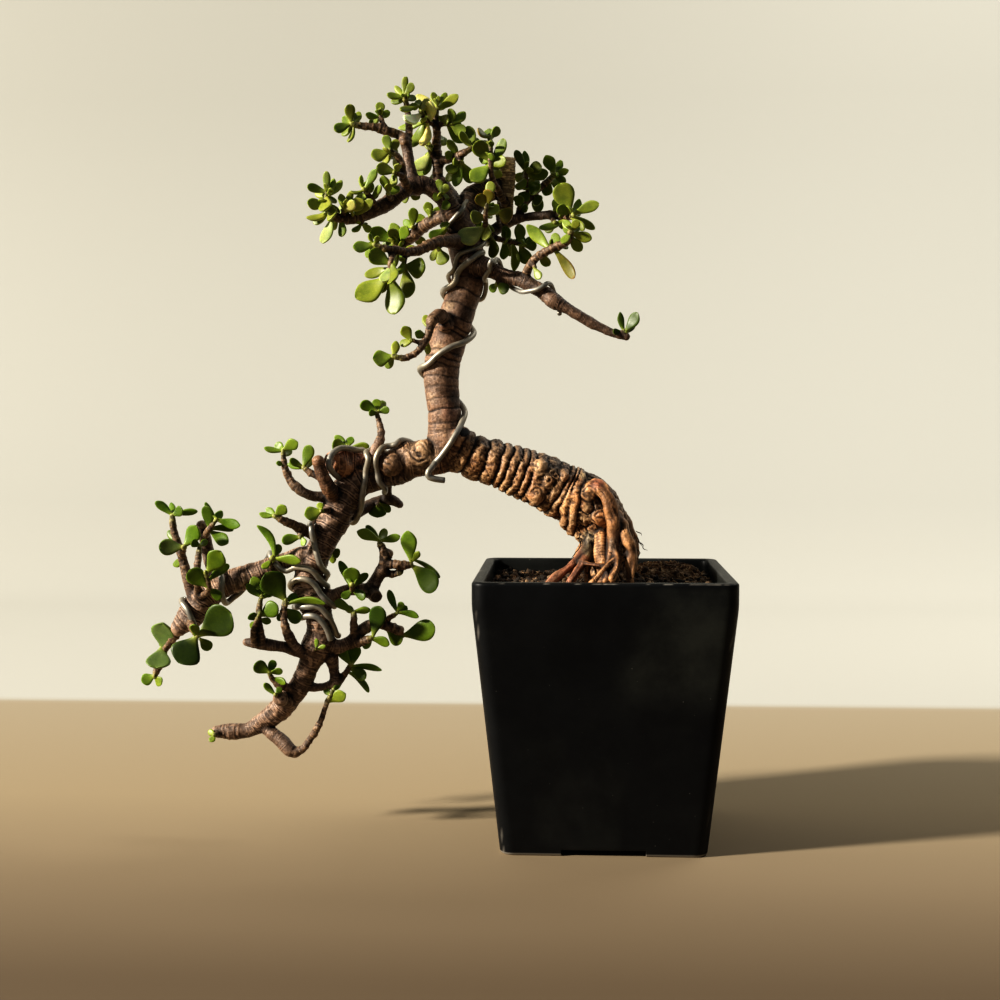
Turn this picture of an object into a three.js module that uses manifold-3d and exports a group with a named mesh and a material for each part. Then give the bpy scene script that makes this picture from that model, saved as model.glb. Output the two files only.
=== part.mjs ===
// A semi-cascade dwarf jade bonsai in a black square cascade pot.
// Millimetres, +Z up, the front of the pot towards -Y. The tree, soil, wires and pot are drawn round the
// pot's own axis, and the whole group is then moved so that its box is centred on X and Y, feet at zero.
import * as THREE from 'three';
import Module from 'manifold-3d';

const wasm = await Module();
wasm.setup();

// Pot
const POT_HEIGHT = 134.5;
const POT_TOP_SIDE = 127;
const POT_BASE_SIDE = 101;
const POT_BAND_HEIGHT = 12;
const POT_BAND_BREAK = 3;
const POT_WALL = 5.5;
const POT_FLOOR_TOP = 9;
const POT_CORNER_RADIUS = 7;
const CAVITY_CORNER_RADIUS = 4;
const POT_RIM_ROUND = 1.4;
const FOOT_HEIGHT = 3;
const FOOT_SIDE = 30;
const FOOT_BEVEL = 0.8;
const DRAIN_RADIUS = 7;
const DRAIN_SIDES = 16;

// Drain screen and soil
const SCREEN_SIDE = 24;
const SCREEN_THICKNESS = 1;
const SCREEN_HOLES = 3;
const SCREEN_HOLE_SIDE = 4.6;
const SOIL_TOP = 128.5;
const TOUCH_GAP = 0.3;
const LEAF_CLEAR = 0.95;
const SOIL_CLEAR = 1.3;
// Heaps on the soil: centre x, y, then half widths x, y and height above the soil top.
const SOIL_HEAPS = [
  [4, 2, 34, 30, 2.6],
  [33, 30, 19, 15, 7],
  [18, 40, 12, 9, 4],
];

// Wood
const STATION_SPACING = 9;
const RING_PITCH = 5.6;
const RING_DEPTH = 0.07;
const PLAIN_STEP = 4;
// The rings run between these two points of the trunk.
const RINGED_FROM = 5;
const RINGED_TO = 14;

// Leaves
const LEAF_THICKNESS = 2.2;
const LEAF_CUP = 0.1;
const LONG_LEAF = 10;
const SHORT_LEAF = 6;
// Stations along a blade: how far from base to tip, width and thickness as shares of their largest.
const LONG_BLADE = [[-0.06, 0.16, 0.8], [0.3, 0.66, 0.9], [0.66, 1, 1], [0.94, 0.62, 0.7]];
const MIDDLE_BLADE = [[-0.08, 0.18, 0.8], [0.56, 1, 1], [0.94, 0.62, 0.7]];
const SHORT_BLADE = [[-0.1, 0.24, 0.9], [0.6, 1, 1]];

// Wires
const WIRE_SIDES = 6;
const WIRE_STEP = 4.6;
const WIRE_SEAT_REACH = 3;
const WIRE_SEAT_GAP = 0.8;
const WIRE_SEAT_ROUNDS = 4;

// Mesh weight: how far, in all, a merged vertex may lie off its neighbours' planes, and checks on each merge.
const SIMPLIFY = 0.04;
const WOOD_MERGE = 0.7;
const SPRAY_MERGE = 1;
const CUT_MERGE = 0.35;
const WIRE_MERGE = 0.3;
const SLIVER_AREA = 0.02;
const LEAST_TURN = 0.3;

// Each branch is a list of points [x, y, z, radius] from its thick end to its thin end.
const WOOD = {
  trunk: [
    [2, 0, 123, 11.8], [2.5, 0, 131.5, 11.8], [2.5, 0, 145.5, 12], [1, 0, 153, 12.8],
    [-2.5, 0, 159.5, 14.6], [-7.5, 0, 166, 15.6], [-11, -1, 169, 15.3], [-18.5, -1, 173, 14.3],
    [-31.5, -3, 180, 13.5], [-40.5, -4, 183.5, 12.7], [-50, -5, 187.5, 11.9], [-58, -6, 190, 11.4],
    [-67.5, -7, 193, 11.2], [-75, -8, 197, 10.9], [-79.5, -8, 202.5, 9.9], [-80, -8, 207.5, 8.9],
    [-80.5, -8, 215, 8.4], [-81.5, -7, 223.5, 8.6], [-82, -6, 236, 9.1], [-79.5, -5, 249, 9.4],
    [-76, -4, 259, 9.1], [-72.5, -3.5, 270, 8.6], [-69, -2.5, 280, 8.4], [-68.5, -1.5, 291, 8.6],
    [-71, 0, 301, 8.6], [-73.5, 0, 309.5, 7.6], [-74, 1.5, 314.5, 6.1],
  ],
  junction_left: [
    [-76.5, -8, 195, 9.6], [-85.5, -8, 192.5, 9.4], [-94, -9, 191.5, 8.9], [-102, -10, 190.5, 8.1],
    [-106, -12.5, 189.5, 6.3], [-108.5, -14, 189, 4.3],
  ],
  cascade: [
    [-97, -8, 188.5, 6.6], [-105, -7.5, 185.5, 7.6], [-115.5, -7, 183.5, 8.1], [-125.5, -8.5, 179.5, 8.4],
    [-131, -10, 172.5, 8.4], [-135.5, -11.5, 162.5, 8.1], [-140.5, -13, 152, 7.1],
    [-144.5, -14.5, 143, 6.6], [-149, -14.5, 133, 7.1], [-149, -14.5, 123, 7.9], [-144, -16, 114, 6.8],
    [-143, -16, 104.5, 6.6], [-145, -16, 96.5, 7.6], [-149, -14.5, 87, 5.6], [-153.5, -13, 77.5, 5.4],
    [-159.5, -11.5, 69, 5.6], [-166, -10, 62, 5.4], [-174, -8.5, 56, 4.6], [-182.5, -7, 51, 3.9],
    [-191.5, -7, 50.5, 4.1], [-198.5, -7, 50, 3.1],
  ],
  stub_left: [
    [-120, -5.5, 183.5, 6.6], [-125.5, -7, 187.5, 6.9], [-130.5, -10, 189, 6.8], [-134.5, -13, 189.5, 6.6],
    [-138, -16, 189.5, 5.3],
  ],
  stub_spur: [
    [-135.5, -16, 172, 3.8], [-137.5, -21, 177, 3.8], [-140, -24, 183, 3.2], [-142, -25.5, 189.5, 2.7],
    [-142.5, -25.5, 191.5, 2.2],
  ],
  twig_b_base: [
    [-135, -13, 169.5, 3.5], [-140, -14.5, 172, 2.8], [-146, -16, 172.5, 2.5], [-150.5, -18, 174.5, 2.3],
    [-154.5, -18, 177.5, 2.3],
  ],
  twig_e: [
    [-132.5, -7, 164, 4.6], [-126, 1, 164, 3.3], [-121, 7, 166.5, 2.9], [-115.5, 10, 169, 2.6],
    [-110, 10, 169.5, 3.1], [-105.5, 9.5, 167, 2.1],
  ],
  twig_e_link: [
    [-110.5, -2, 183.5, 2.3], [-110.5, 3, 177, 1.8], [-111.5, 9.5, 169.5, 2.1],
  ],
  twig_a_base: [
    [-118, -13, 183.5, 2.5], [-116, -16, 191, 2.3], [-115, -16, 196, 2], [-112, -14, 201, 2],
  ],
  twig_d_base: [
    [-141, -16, 150.5, 2.8], [-147.5, -19.5, 154, 2.5], [-152, -21, 157, 2.5],
  ],
  left_branch: [
    [-146.5, -14.5, 142, 5.6], [-153.5, -14.5, 141, 5.6], [-160.5, -14.5, 139, 4.8],
    [-171, -13, 135.5, 5.1], [-181.5, -13, 131, 6.1], [-192, -13, 127.5, 6.4], [-201, -13, 122, 6.9],
    [-207, -13, 115, 6.6], [-211.5, -13, 109.5, 6.4], [-216, -13, 105, 4.3],
  ],
  twig_f_base: [
    [-207.5, -13, 119, 2.8], [-210.5, -13, 125.5, 2.8], [-212, -13, 132, 2.6],
  ],
  twig_g: [
    [-197.5, -11.5, 126, 3.1], [-200.5, -5.5, 134, 3.1], [-204, -2, 144.5, 3.1], [-205, -4, 152.5, 2.8],
    [-206.5, -4, 156.5, 2.3],
  ],
  branch_j: [
    [-145.5, -16, 92.5, 4.1], [-153, -19.5, 94, 3], [-160, -21, 96.5, 2.8], [-167, -21, 97.5, 2.8],
    [-174, -21, 98.5, 3], [-180, -21, 99, 2],
  ],
  twig_k_base: [
    [-151, -19.5, 93, 2.5], [-155.5, -22.5, 98, 2.5], [-157.5, -24, 103.5, 2.3],
  ],
  branch_m: [
    [-152, -13, 76.5, 2.3], [-147.5, -11.5, 74.5, 2.3], [-141.5, -11.5, 75, 2], [-136, -11.5, 77, 2.8],
    [-133.5, -10, 79, 1.8],
  ],
  branch_m2: [
    [-143.5, -14.5, 95.5, 5.1], [-138.5, -13, 90.5, 3.8], [-137, -11.5, 84, 2.8], [-136, -11.5, 77, 2.8],
  ],
  branch_r1: [
    [-143.5, -14.5, 120, 5.1], [-136, -14.5, 122, 3.3], [-130.5, -13, 124.5, 2.8],
    [-124.5, -11.5, 125, 3.1], [-119, -10, 124.5, 3.6], [-116, -8.5, 129, 3.3], [-113, -8.5, 134, 2.8],
  ],
  stub_r1: [
    [-118.5, -8.5, 124.5, 3.3], [-114.5, -16, 121.5, 3.3],
  ],
  branch_r3: [
    [-142, -16, 98.5, 5.1], [-134.5, -14.5, 96, 3.6], [-128.5, -13, 98.5, 3.1], [-124.5, -13, 102.5, 3.1],
    [-119, -13, 106.5, 2.8],
  ],
  branch_l: [
    [-175, -8.5, 54.5, 3.1], [-170.5, -10, 51, 3.3], [-164.5, -11.5, 47, 3.6], [-160, -13, 42.5, 3.6],
    [-157, -13, 41, 2.3],
  ],
  stub_n: [
    [-155.5, -13, 71.5, 2.6], [-160, -18, 75.5, 2.3], [-164, -21, 78, 2.3],
  ],
  knob_281: [
    [-159.5, -14.5, 67.5, 3.6], [-163, -24, 71, 2.8],
  ],
  limb_left: [
    [-73.5, -1.5, 309, 6.1], [-76.5, -5, 315.5, 5.3], [-80.5, -6.5, 322, 4.5], [-85.5, -8, 326.5, 4.3],
    [-91, -10, 329, 4], [-96, -11.5, 328, 4], [-102, -15, 324, 4], [-108.5, -18, 318, 3.7],
    [-116, -23, 313.5, 3.2],
  ],
  limb_up: [
    [-94.5, -10, 327, 3.8], [-97, -10, 335, 3], [-98.5, -8, 344, 2.8], [-100, -8, 352, 2.8],
  ],
  limb_centre: [
    [-73.5, 6.5, 309, 5.1], [-77, 8, 319, 5.6], [-80.5, 10, 327, 5.1], [-82.5, 10, 332, 3.6],
  ],
  limb_back_left: [
    [-74, 5, 306.5, 4.6], [-81, 20, 316.5, 3.6], [-87, 25, 317, 3.1],
  ],
  limb_front_left: [
    [-71.5, -6.5, 300.5, 4.5], [-77.5, -20, 299.5, 3], [-82, -26.5, 298.5, 2.7],
  ],
  limb_right_back: [
    [-72.5, 6.5, 310, 6.1], [-69.5, 13, 320.5, 7.2], [-64.5, 16.5, 326.5, 6.7], [-58, 18, 330, 5.7],
    [-52, 18, 331.5, 4.1],
  ],
  limb_right: [
    [-70, 0, 300, 5.1], [-62.5, 8, 304.5, 3.6], [-56.5, 13, 308.5, 3.1], [-50.5, 16.5, 312.5, 3.1],
    [-43, 16.5, 315, 2.3], [-35.5, 16.5, 316, 2.1], [-27.5, 15, 316.5, 2.1],
  ],
  stub_cut: [
    [-50.5, 18, 313, 3.6], [-51, 18, 321.5, 4.1], [-50, 18, 334, 4.4], [-49.5, 18, 346, 4.1],
  ],
  limb_main_right: [
    [-67.5, -6, 289.5, 6], [-58.5, -10.5, 287, 4.8], [-53.5, -13, 284.5, 4], [-48, -15.5, 282, 3.7],
    [-42, -18.5, 280.5, 3.7], [-35.5, -20.5, 277, 3.5], [-29.5, -22, 273.5, 3.7], [-25.5, -23.5, 270, 4.2],
    [-20.5, -24, 267, 3], [-14.5, -24, 263.5, 2.7], [-8, -23.5, 259.5, 2.5], [-2, -23.5, 256.5, 2.2],
    [3.5, -24, 254, 2.2], [10.5, -25, 252, 2],
  ],
  twig_t_base: [
    [-78, -8.5, 260, 3.3], [-82.5, -22.5, 262.5, 3.2], [-85.5, -25.5, 259.5, 2.7],
  ],
  root_arch: [
    [-7.5, -9, 173, 3.8], [-4, -13, 178, 4], [0.5, -16, 175, 4], [3.5, -17, 168, 4], [5, -17, 160, 3.7],
    [5, -17, 151, 3.3], [4, -19, 142.5, 2.7], [1.5, -22, 131.5, 2.2],
  ],
  root_right: [
    [4.5, -6, 164.5, 3.5], [9, -15, 158, 3.3], [12, -18, 151, 3.2], [14, -19, 144.5, 3],
    [13.5, -21, 136.5, 2.7], [12, -23, 126.5, 2.2],
  ],
  root_right_side: [
    [4, 2, 168, 4.6], [11, 3, 157.5, 4.1], [14.5, 3, 148.5, 3.8], [14, 4, 139, 3.6], [13.5, 5, 128.5, 2.8],
  ],
  root_centre: [
    [-1, -10, 156.5, 3.3], [-1, -15, 148.5, 3.5], [-1, -18, 140, 3.3], [-1.5, -20, 129, 2.5],
  ],
  root_centre_left: [
    [-6.5, -6, 158, 3.6], [-7.5, -9, 148, 3.3], [-8, -12, 139.5, 2.8], [-8.5, -16, 128.5, 2],
  ],
  root_left: [
    [-6.5, -8, 150.5, 2.5], [-11.5, -14, 142.5, 2.3], [-17.5, -19, 137.5, 2.2], [-25.5, -24, 131.5, 2],
    [-31.5, -28, 127, 1.2],
  ],
  root_left_low: [
    [-7.5, -10, 145.5, 2.3], [-10, -18, 140, 2], [-14.5, -24, 134, 2.2], [-18.5, -27, 128, 1.5],
  ],
  root_bar: [
    [-11.5, -18, 140, 1.3], [-7, -22, 139.5, 1], [1, -24, 138, 1.2], [4, -25, 134.5, 1.2],
  ],
  rootlet_cross: [
    [13, -18, 145, 1.5], [4, -24, 141, 1.2], [-0.5, -26, 137, 1.5], [-6, -29, 130.5, 1.5],
  ],
  root_knee: [
    [6, -18, 147, 2], [7, -23, 140.5, 2], [4, -28, 133, 2],
  ],
  root_back_left: [
    [-6.5, 8, 151.5, 3.6], [-11.5, 16, 140.5, 3.1], [-19, 24, 129, 2.1],
  ],
  root_back: [
    [1, 10, 154, 4.1], [2, 20, 141.5, 3.4], [3, 32, 126.5, 2.1],
  ],
  root_back_right: [
    [9, 8, 153, 3.6], [13.5, 18, 142, 3.1], [17, 26, 127.5, 2.4],
  ],
};

// Knots and burls that stand out of the bark: [x, y, z, radius].
const KNOTS = [
  [-32, -11, 187, 5.5], [-33.5, -11, 173, 5.5], [-20.5, -10.5, 182.5, 4.5], [-6.5, -11.5, 175, 6],
  [-2.5, -11, 162.5, 6], [-79, -13, 258.5, 4.5], [-142, -25.5, 190.5, 3.4], [-162, -23.5, 70.5, 4],
  [-107, -14, 189, 7], [-90, -13, 196, 6], [-206, -4, 156.5, 3.2], [-131, -14, 187, 6],
  [-72.5, -12.5, 201, 8],
];

// Each spray is a young leafy stem. Twig points are [x, y, z, radius]. A leaf is
// [base x, y, z, tip x, y, z, width, roll in degrees from facing the front].
const SPRAYS = {
  upper_left: {
    twigs: [
      [
        [-100, -9.5, 350, 2.3], [-102.5, -7.5, 353.5, 2.3], [-109.5, -10, 355.5, 2.3],
        [-114.5, -11.5, 357, 2], [-120.5, -13, 357.5, 1.7], [-126, -15, 358, 1.2],
      ],
      [
        [-110, -10, 357, 1.5], [-111.5, -10, 361, 1.3], [-112.5, -10, 364, 1],
      ],
      [
        [-98.5, -7, 351, 1.8], [-98.5, -2.5, 360, 1.8], [-99.5, 0, 367.5, 1.5], [-100.5, -3.5, 374, 1.3],
      ],
    ],
    leaves: [
      [-126, -15, 359, -126.5, -17, 367.5, 5.5, 20], [-126.5, -15, 358, -134, -19, 354.5, 5.5, 0],
      [-126, -15, 357.5, -131.5, -11, 353.5, 4, 30], [-125, -14.5, 357, -127.5, -16.5, 349, 4.5, 30],
      [-125, -14.5, 359, -123, -7.5, 365.5, 4.5, 10], [-112.5, -10, 363.5, -112, -11, 369.5, 5, 10],
      [-112.5, -10, 362.5, -119, -14, 363, 4, 10], [-112.5, -10, 361.5, -118.5, -5, 361, 3.5, 20],
      [-112, -10, 362.5, -108.5, -4, 366.5, 4, 20], [-101, -3.5, 374.5, -100, -3.5, 384, 3.5, 10],
      [-100.5, -3.5, 374.5, -96, -6.5, 379.5, 4.5, 10], [-101, -3, 373.5, -109.5, -5, 374.5, 4, 20],
      [-100.5, -2.5, 372.5, -108, 0.5, 372, 3.5, 20], [-101, -3.5, 374, -106, 1.5, 380, 3.5, 10],
      [-100, -2.5, 372.5, -95.5, 2.5, 374.5, 4, 10], [-99, -1, 369.5, -94, 0, 369, 4, 10],
    ],
  },
  lit_twig: {
    twigs: [
      [
        [-97.5, -15.5, 325.5, 2.2], [-99.5, -22, 330.5, 2], [-99.5, -25, 336, 1.7],
        [-102, -26.5, 340.5, 1.7], [-105.5, -28, 343, 1.2],
      ],
      [
        [-99.5, -25, 331, 1.5], [-103, -29.5, 332, 1],
      ],
    ],
    leaves: [
      [-105.5, -28, 342.5, -107.5, -29, 350, 5, 10], [-105.5, -28, 342, -114, -32, 339.5, 7.5, 0],
      [-104.5, -27.5, 342, -102, -25.5, 348.5, 4.5, 20], [-103, -26.5, 340.5, -102.5, -19.5, 334.5, 6, 10],
      [-105, -27.5, 341.5, -109.5, -22.5, 337.5, 4.5, 10], [-102.5, -29, 332, -111.5, -32, 334, 6.5, 0],
      [-102.5, -28, 331.5, -105, -29, 325, 6, 10],
    ],
  },
  limb_top: {
    twigs: [
      [
        [-112, -23, 314.5, 1.7], [-114.5, -29, 319.5, 1.5], [-117.5, -33, 323.5, 1.2],
      ],
    ],
    leaves: [
      [-117, -33, 323.5, -111, -36, 332.5, 4.5, 20], [-118, -33, 323.5, -119, -31, 330.5, 3, 60],
      [-117.5, -32.5, 323, -124, -34.5, 322, 3.5, 50], [-114.5, -28.5, 319, -109, -33.5, 325, 4, 10],
      [-116, -31, 321.5, -123, -24, 319.5, 5.5, 0],
    ],
  },
  far_left: {
    twigs: [
      [
        [-113, -21.5, 314.5, 2.7], [-119.5, -25, 311, 2.5], [-126, -28, 309.5, 2.5], [-131, -31.5, 310, 2],
        [-134, -33, 313, 1.5], [-135.5, -34.5, 318, 1.2], [-135.5, -34.5, 322, 1],
      ],
      [
        [-128, -29.5, 310, 1.5], [-127, -34.5, 313.5, 1],
      ],
      [
        [-120, -25, 310, 1.5], [-120, -25, 307.5, 1],
      ],
    ],
    leaves: [
      [-135.5, -34.5, 322, -135.5, -34.5, 332, 4, 20], [-134.5, -34.5, 321.5, -132.5, -30.5, 329, 4, 20],
      [-136, -34.5, 322, -144.5, -37.5, 324.5, 4.5, 10], [-134, -34.5, 320.5, -129, -27.5, 328.5, 4, 20],
      [-135.5, -34.5, 320, -136, -41.5, 312, 7.5, 0], [-134.5, -34, 316, -132.5, -41, 308, 7, 10],
      [-135.5, -34, 316, -144.5, -38, 316.5, 6, 0], [-135.5, -34.5, 319.5, -142, -29.5, 322, 4, 10],
      [-134.5, -33, 313.5, -142.5, -31, 307, 5, 20], [-134, -33, 312.5, -145.5, -35, 309.5, 4.5, 20],
      [-133, -32, 310.5, -137.5, -36, 297, 6.5, 10], [-131, -31.5, 310, -135, -26.5, 304.5, 5, 0],
      [-129.5, -30.5, 309.5, -128.5, -32.5, 300.5, 4.5, 10], [-127.5, -34, 313.5, -128.5, -35, 321, 4, 20],
      [-127, -34, 313.5, -123.5, -31, 323, 3.5, 30], [-127.5, -33, 312.5, -121, -41, 316.5, 5, 20],
      [-126.5, -33.5, 313, -117.5, -32.5, 318, 7, 10], [-124.5, -27.5, 310.5, -113, -34.5, 318, 5, 30],
      [-120, -25, 307.5, -124, -28, 303.5, 4, 20], [-119.5, -25, 307.5, -115.5, -23, 304, 4, 20],
      [-126, -28, 310.5, -131.5, -19, 317, 4.5, 0], [-122.5, -26, 311.5, -120.5, -17, 318, 4.5, 10],
    ],
  },
  limb_under: {
    twigs: [
      [
        [-98, -10, 326, 1.5], [-99.5, 3.5, 326, 1],
      ],
    ],
    leaves: [
      [-99, 0, 326, -103, 4, 323, 6, 0], [-98.5, 0, 326, -94, 5, 324, 5, 10],
    ],
  },
  low_left_front: {
    twigs: [
      [
        [-80.5, -25, 299, 2.7], [-85.5, -31.5, 296.5, 2.7], [-90, -36.5, 293.5, 2.4], [-95, -41, 292, 2.2],
        [-100.5, -46, 292.5, 1.9], [-105.5, -49.5, 293, 1.7], [-110.5, -51, 294.5, 1.2],
      ],
      [
        [-102, -46, 292.5, 1.7], [-102.5, -49.5, 286.5, 1.4], [-103.5, -49, 280, 1.2],
      ],
      [
        [-96.5, -41, 292, 1.4], [-97, -40.5, 287.5, 1.2], [-97, -40.5, 284.5, 1.2],
      ],
      [
        [-82.5, -26.5, 298, 1.2], [-81.5, -25, 294.5, 1],
      ],
    ],
    leaves: [
      [-110.5, -51, 294.5, -120, -54, 293, 6, 10], [-110.5, -51, 295, -112.5, -51, 300, 2.5, 40],
      [-109.5, -50.5, 294.5, -108, -52.5, 298.5, 3, 30], [-110, -51, 293.5, -115, -46, 289.5, 4.5, 0],
      [-104, -49, 279.5, -119, -52, 269, 13, 0], [-103, -49, 280, -100.5, -52, 261.5, 11.5, 0],
      [-102.5, -49.5, 285.5, -112.5, -52.5, 291, 8.5, 10],
      [-102.5, -49.5, 284.5, -105.5, -57.5, 276.5, 7, 0],
      [-102.5, -49.5, 286.5, -101.5, -60.5, 275.5, 6.5, 10], [-103.5, -49, 281, -109, -45, 272, 5.5, 10],
      [-103, -49.5, 283.5, -115.5, -46.5, 280.5, 5.5, 0], [-97, -40.5, 285.5, -86.5, -44.5, 284, 10.5, 0],
      [-97, -40.5, 284.5, -95.5, -41.5, 270, 9, 0], [-97, -40.5, 288, -100, -46.5, 281, 4.5, 10],
      [-97, -40.5, 289.5, -92.5, -36.5, 295.5, 5, 10], [-99.5, -45, 291.5, -105, -38, 285.5, 6.5, 10],
      [-81.5, -25, 295, -79, -26, 287.5, 7.5, 0], [-82, -25, 295, -86.5, -19, 291, 5, 10],
    ],
  },
  low_left_back: {
    twigs: [
      [
        [-85, 21.5, 316, 2.9], [-90.5, 26.5, 314.5, 3.1], [-96.5, 31.5, 311.5, 3.2],
        [-101.5, 34.5, 307.5, 2.9], [-106, 36.5, 304.5, 2.1], [-110.5, 33, 304.5, 1.3],
      ],
      [
        [-98, 31.5, 310.5, 1.6], [-100, 28, 312.5, 1.1],
      ],
      [
        [-90, 26.5, 315, 1.6], [-90, 21.5, 317.5, 1],
      ],
    ],
    leaves: [
      [-110.5, 33, 305, -123, 30, 311.5, 8, 0], [-109.5, 33.5, 305, -112, 37.5, 315.5, 7, 10],
      [-109, 34, 303.5, -111.5, 25, 311, 6, 10], [-107, 35.5, 304.5, -103.5, 30.5, 313, 7, 10],
      [-107.5, 35.5, 303.5, -104.5, 29.5, 296.5, 8, 10], [-110.5, 33, 304, -117.5, 37, 302.5, 6, 0],
      [-100, 28, 312.5, -99.5, 26, 322, 5.5, 20], [-100.5, 28.5, 312, -105.5, 34.5, 316.5, 4.5, 10],
      [-90.5, 22.5, 317, -92, 22.5, 324.5, 5.5, 10], [-90, 22.5, 317, -85, 28.5, 322.5, 5, 10],
      [-99.5, 33.5, 309, -95.5, 40.5, 303.5, 6.5, 10], [-105.5, 36.5, 303, -109.5, 44.5, 297.5, 6.5, 20],
      [-95.5, 30.5, 312, -98, 40.5, 320.5, 6, 20],
    ],
  },
  neck_left: {
    twigs: [
      [
        [-76.5, -5, 305.5, 1.5], [-79, -20, 305.5, 1],
      ],
    ],
    leaves: [
      [-79, -20, 305.5, -86.5, -24, 301, 5.5, 0], [-79, -18.5, 304.5, -90, -16.5, 297, 5, 10],
    ],
  },
  centre_stem: {
    twigs: [
      [
        [-82, 10, 326.5, 3.1], [-85, 10, 335, 2.8], [-85, 10, 344, 2.6], [-86, 11.5, 352, 2.3],
        [-85.5, 11.5, 358.5, 2.1], [-86.5, 11.5, 364, 1.8], [-85.5, 11.5, 370.5, 1.3],
      ],
      [
        [-86, 10, 342, 1.5], [-89, 8, 348.5, 1.3],
      ],
      [
        [-85, 10, 343.5, 2.1], [-77.5, 5, 344, 2], [-70.5, 1.5, 346.5, 1.8], [-66.5, 3.5, 349.5, 1.3],
      ],
      [
        [-86, 11.5, 361.5, 1.3], [-91.5, 3.5, 364, 1.3], [-93, 0, 367, 1],
      ],
      [
        [-85.5, 11.5, 362.5, 1.3], [-77.5, 5, 361.5, 1],
      ],
      [
        [-76, 5, 344.5, 1.5], [-72, 0, 341, 1.3],
      ],
    ],
    leaves: [
      [-94.5, 0, 369.5, -102.5, -7, 366.5, 4, 10], [-92.5, 1.5, 366, -99.5, -12.5, 360.5, 7.5, 0],
      [-92.5, 4, 362, -105.5, 11, 360.5, 4.5, 20], [-90, 6, 362.5, -92, -1, 349.5, 7.5, 0],
      [-91, 4.5, 363.5, -98, 2.5, 349.5, 6, 10], [-92.5, 0, 367, -90, 5, 374.5, 4.5, 10],
      [-85.5, 11.5, 370.5, -97.5, 22.5, 379.5, 5, 20], [-85.5, 11.5, 371.5, -88, 15.5, 379.5, 4.5, 40],
      [-85, 11.5, 370, -74.5, 10.5, 377, 5.5, 10], [-86.5, 11.5, 369, -95.5, 3.5, 372, 4.5, 0],
      [-89.5, 7.5, 362, -88, -1.5, 371.5, 7.5, 0], [-85.5, 11.5, 371.5, -81.5, 19.5, 380, 4, 20],
      [-84.5, 11.5, 366, -79, 3.5, 362.5, 6, 10], [-78.5, 6, 361.5, -77.5, 2, 368.5, 5.5, 0],
      [-77.5, 5, 361.5, -70.5, 6, 367.5, 6, 0], [-78, 5.5, 361, -70.5, 4.5, 357, 6.5, 10],
      [-80, 7, 361.5, -70.5, 12, 353.5, 7.5, 0], [-88.5, 8.5, 347.5, -97, 4.5, 338, 7.5, 0],
      [-88.5, 8.5, 347, -92, 7.5, 336, 5, 20], [-89, 8.5, 348, -96, 15.5, 336, 6, 0],
      [-89, 8, 348.5, -92, 12, 355, 4, 10], [-67.5, 3, 349.5, -73, -1, 356.5, 4.5, 20],
      [-66.5, 3.5, 349.5, -70, 7.5, 360.5, 6, 10], [-66.5, 3, 349, -61.5, 11, 347.5, 5.5, 0],
      [-74.5, 3.5, 345, -79, -0.5, 352.5, 4.5, 10], [-75.5, 4, 344, -80.5, 0, 346, 4.5, 0],
      [-73, 1, 341.5, -79.5, -2, 336.5, 6.5, 0], [-72.5, 0.5, 341, -75.5, -0.5, 329, 6, 10],
      [-72, 0, 341, -67, 4, 331.5, 6.5, 0], [-73.5, 1, 341, -80.5, 6, 333, 6, 10],
      [-85.5, 11.5, 354.5, -81, 19.5, 355.5, 5, 10], [-85.5, 10, 339, -90.5, 19, 333, 5.5, 10],
    ],
  },
  pale_pair: {
    twigs: [
      [
        [-50.5, 15, 321, 2.1], [-53.5, 8, 327.5, 1.8], [-56.5, 1.5, 332.5, 1.5], [-57.5, -1.5, 340, 1.3],
        [-57.5, 1.5, 347.5, 1.3], [-58, 3.5, 354.5, 1.3],
      ],
    ],
    leaves: [
      [-58, 3, 354, -64, 0, 358, 5.5, 60], [-57.5, 3, 354, -53, 6, 359, 5.5, 60],
      [-57.5, -1, 341.5, -64.5, -6, 350.5, 8.5, 0], [-57.5, -1, 341, -50.5, 1, 353, 6, 10],
      [-57.5, -1.5, 339.5, -67, -5.5, 331, 9.5, 0], [-57, -1, 339, -49.5, -5, 342, 6, 0],
      [-57.5, -0.5, 342, -63.5, 5.5, 344.5, 5.5, 0], [-56.5, 0, 336.5, -52, 7, 335.5, 5, 10],
      [-57, 2, 348.5, -62.5, 9, 353, 4.5, 10],
    ],
  },
  leaf_olive: {
    twigs: [
      [
        [-53.5, 13, 310.5, 1.3], [-54, 0, 315, 1],
      ],
    ],
    leaves: [
      [-54, 0, 316.5, -46.5, -2, 313, 9, 0],
    ],
  },
  sprout_centre: {
    twigs: [
      [
        [-78.5, -9.5, 317, 1.3], [-80.5, -21.5, 322, 0.7],
      ],
    ],
    leaves: [
      [-80.5, -21.5, 323, -82.5, -21.5, 329.5, 4, 0], [-80.5, -20.5, 321.5, -85, -21.5, 321, 4.5, 0],
      [-80, -21.5, 322.5, -77.5, -22.5, 327, 4, 10], [-79.5, -17.5, 320.5, -78, -20.5, 315, 5, 0],
    ],
  },
  front_shoot: {
    twigs: [
      [
        [-61, 6, 304, 2], [-59.5, -9, 307.5, 1.5], [-59, -15, 314.5, 1.2], [-58, -15, 321, 1],
      ],
    ],
    leaves: [
      [-58, -15, 321, -56.5, -14, 329.5, 5.5, 10], [-58.5, -15, 317.5, -57, -20, 324.5, 6.5, 0],
      [-58.5, -15, 316.5, -63, -18, 322.5, 6, 10], [-59, -13, 312, -66.5, -17, 312, 7.5, 0],
      [-59, -10, 309, -59.5, -13, 300.5, 6, 10], [-59.5, -9.5, 308, -72.5, -14.5, 301, 10.5, 0],
      [-59, -13.5, 313, -53, -9.5, 318.5, 5.5, 10],
    ],
  },
  right_top: {
    twigs: [
      [
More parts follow.
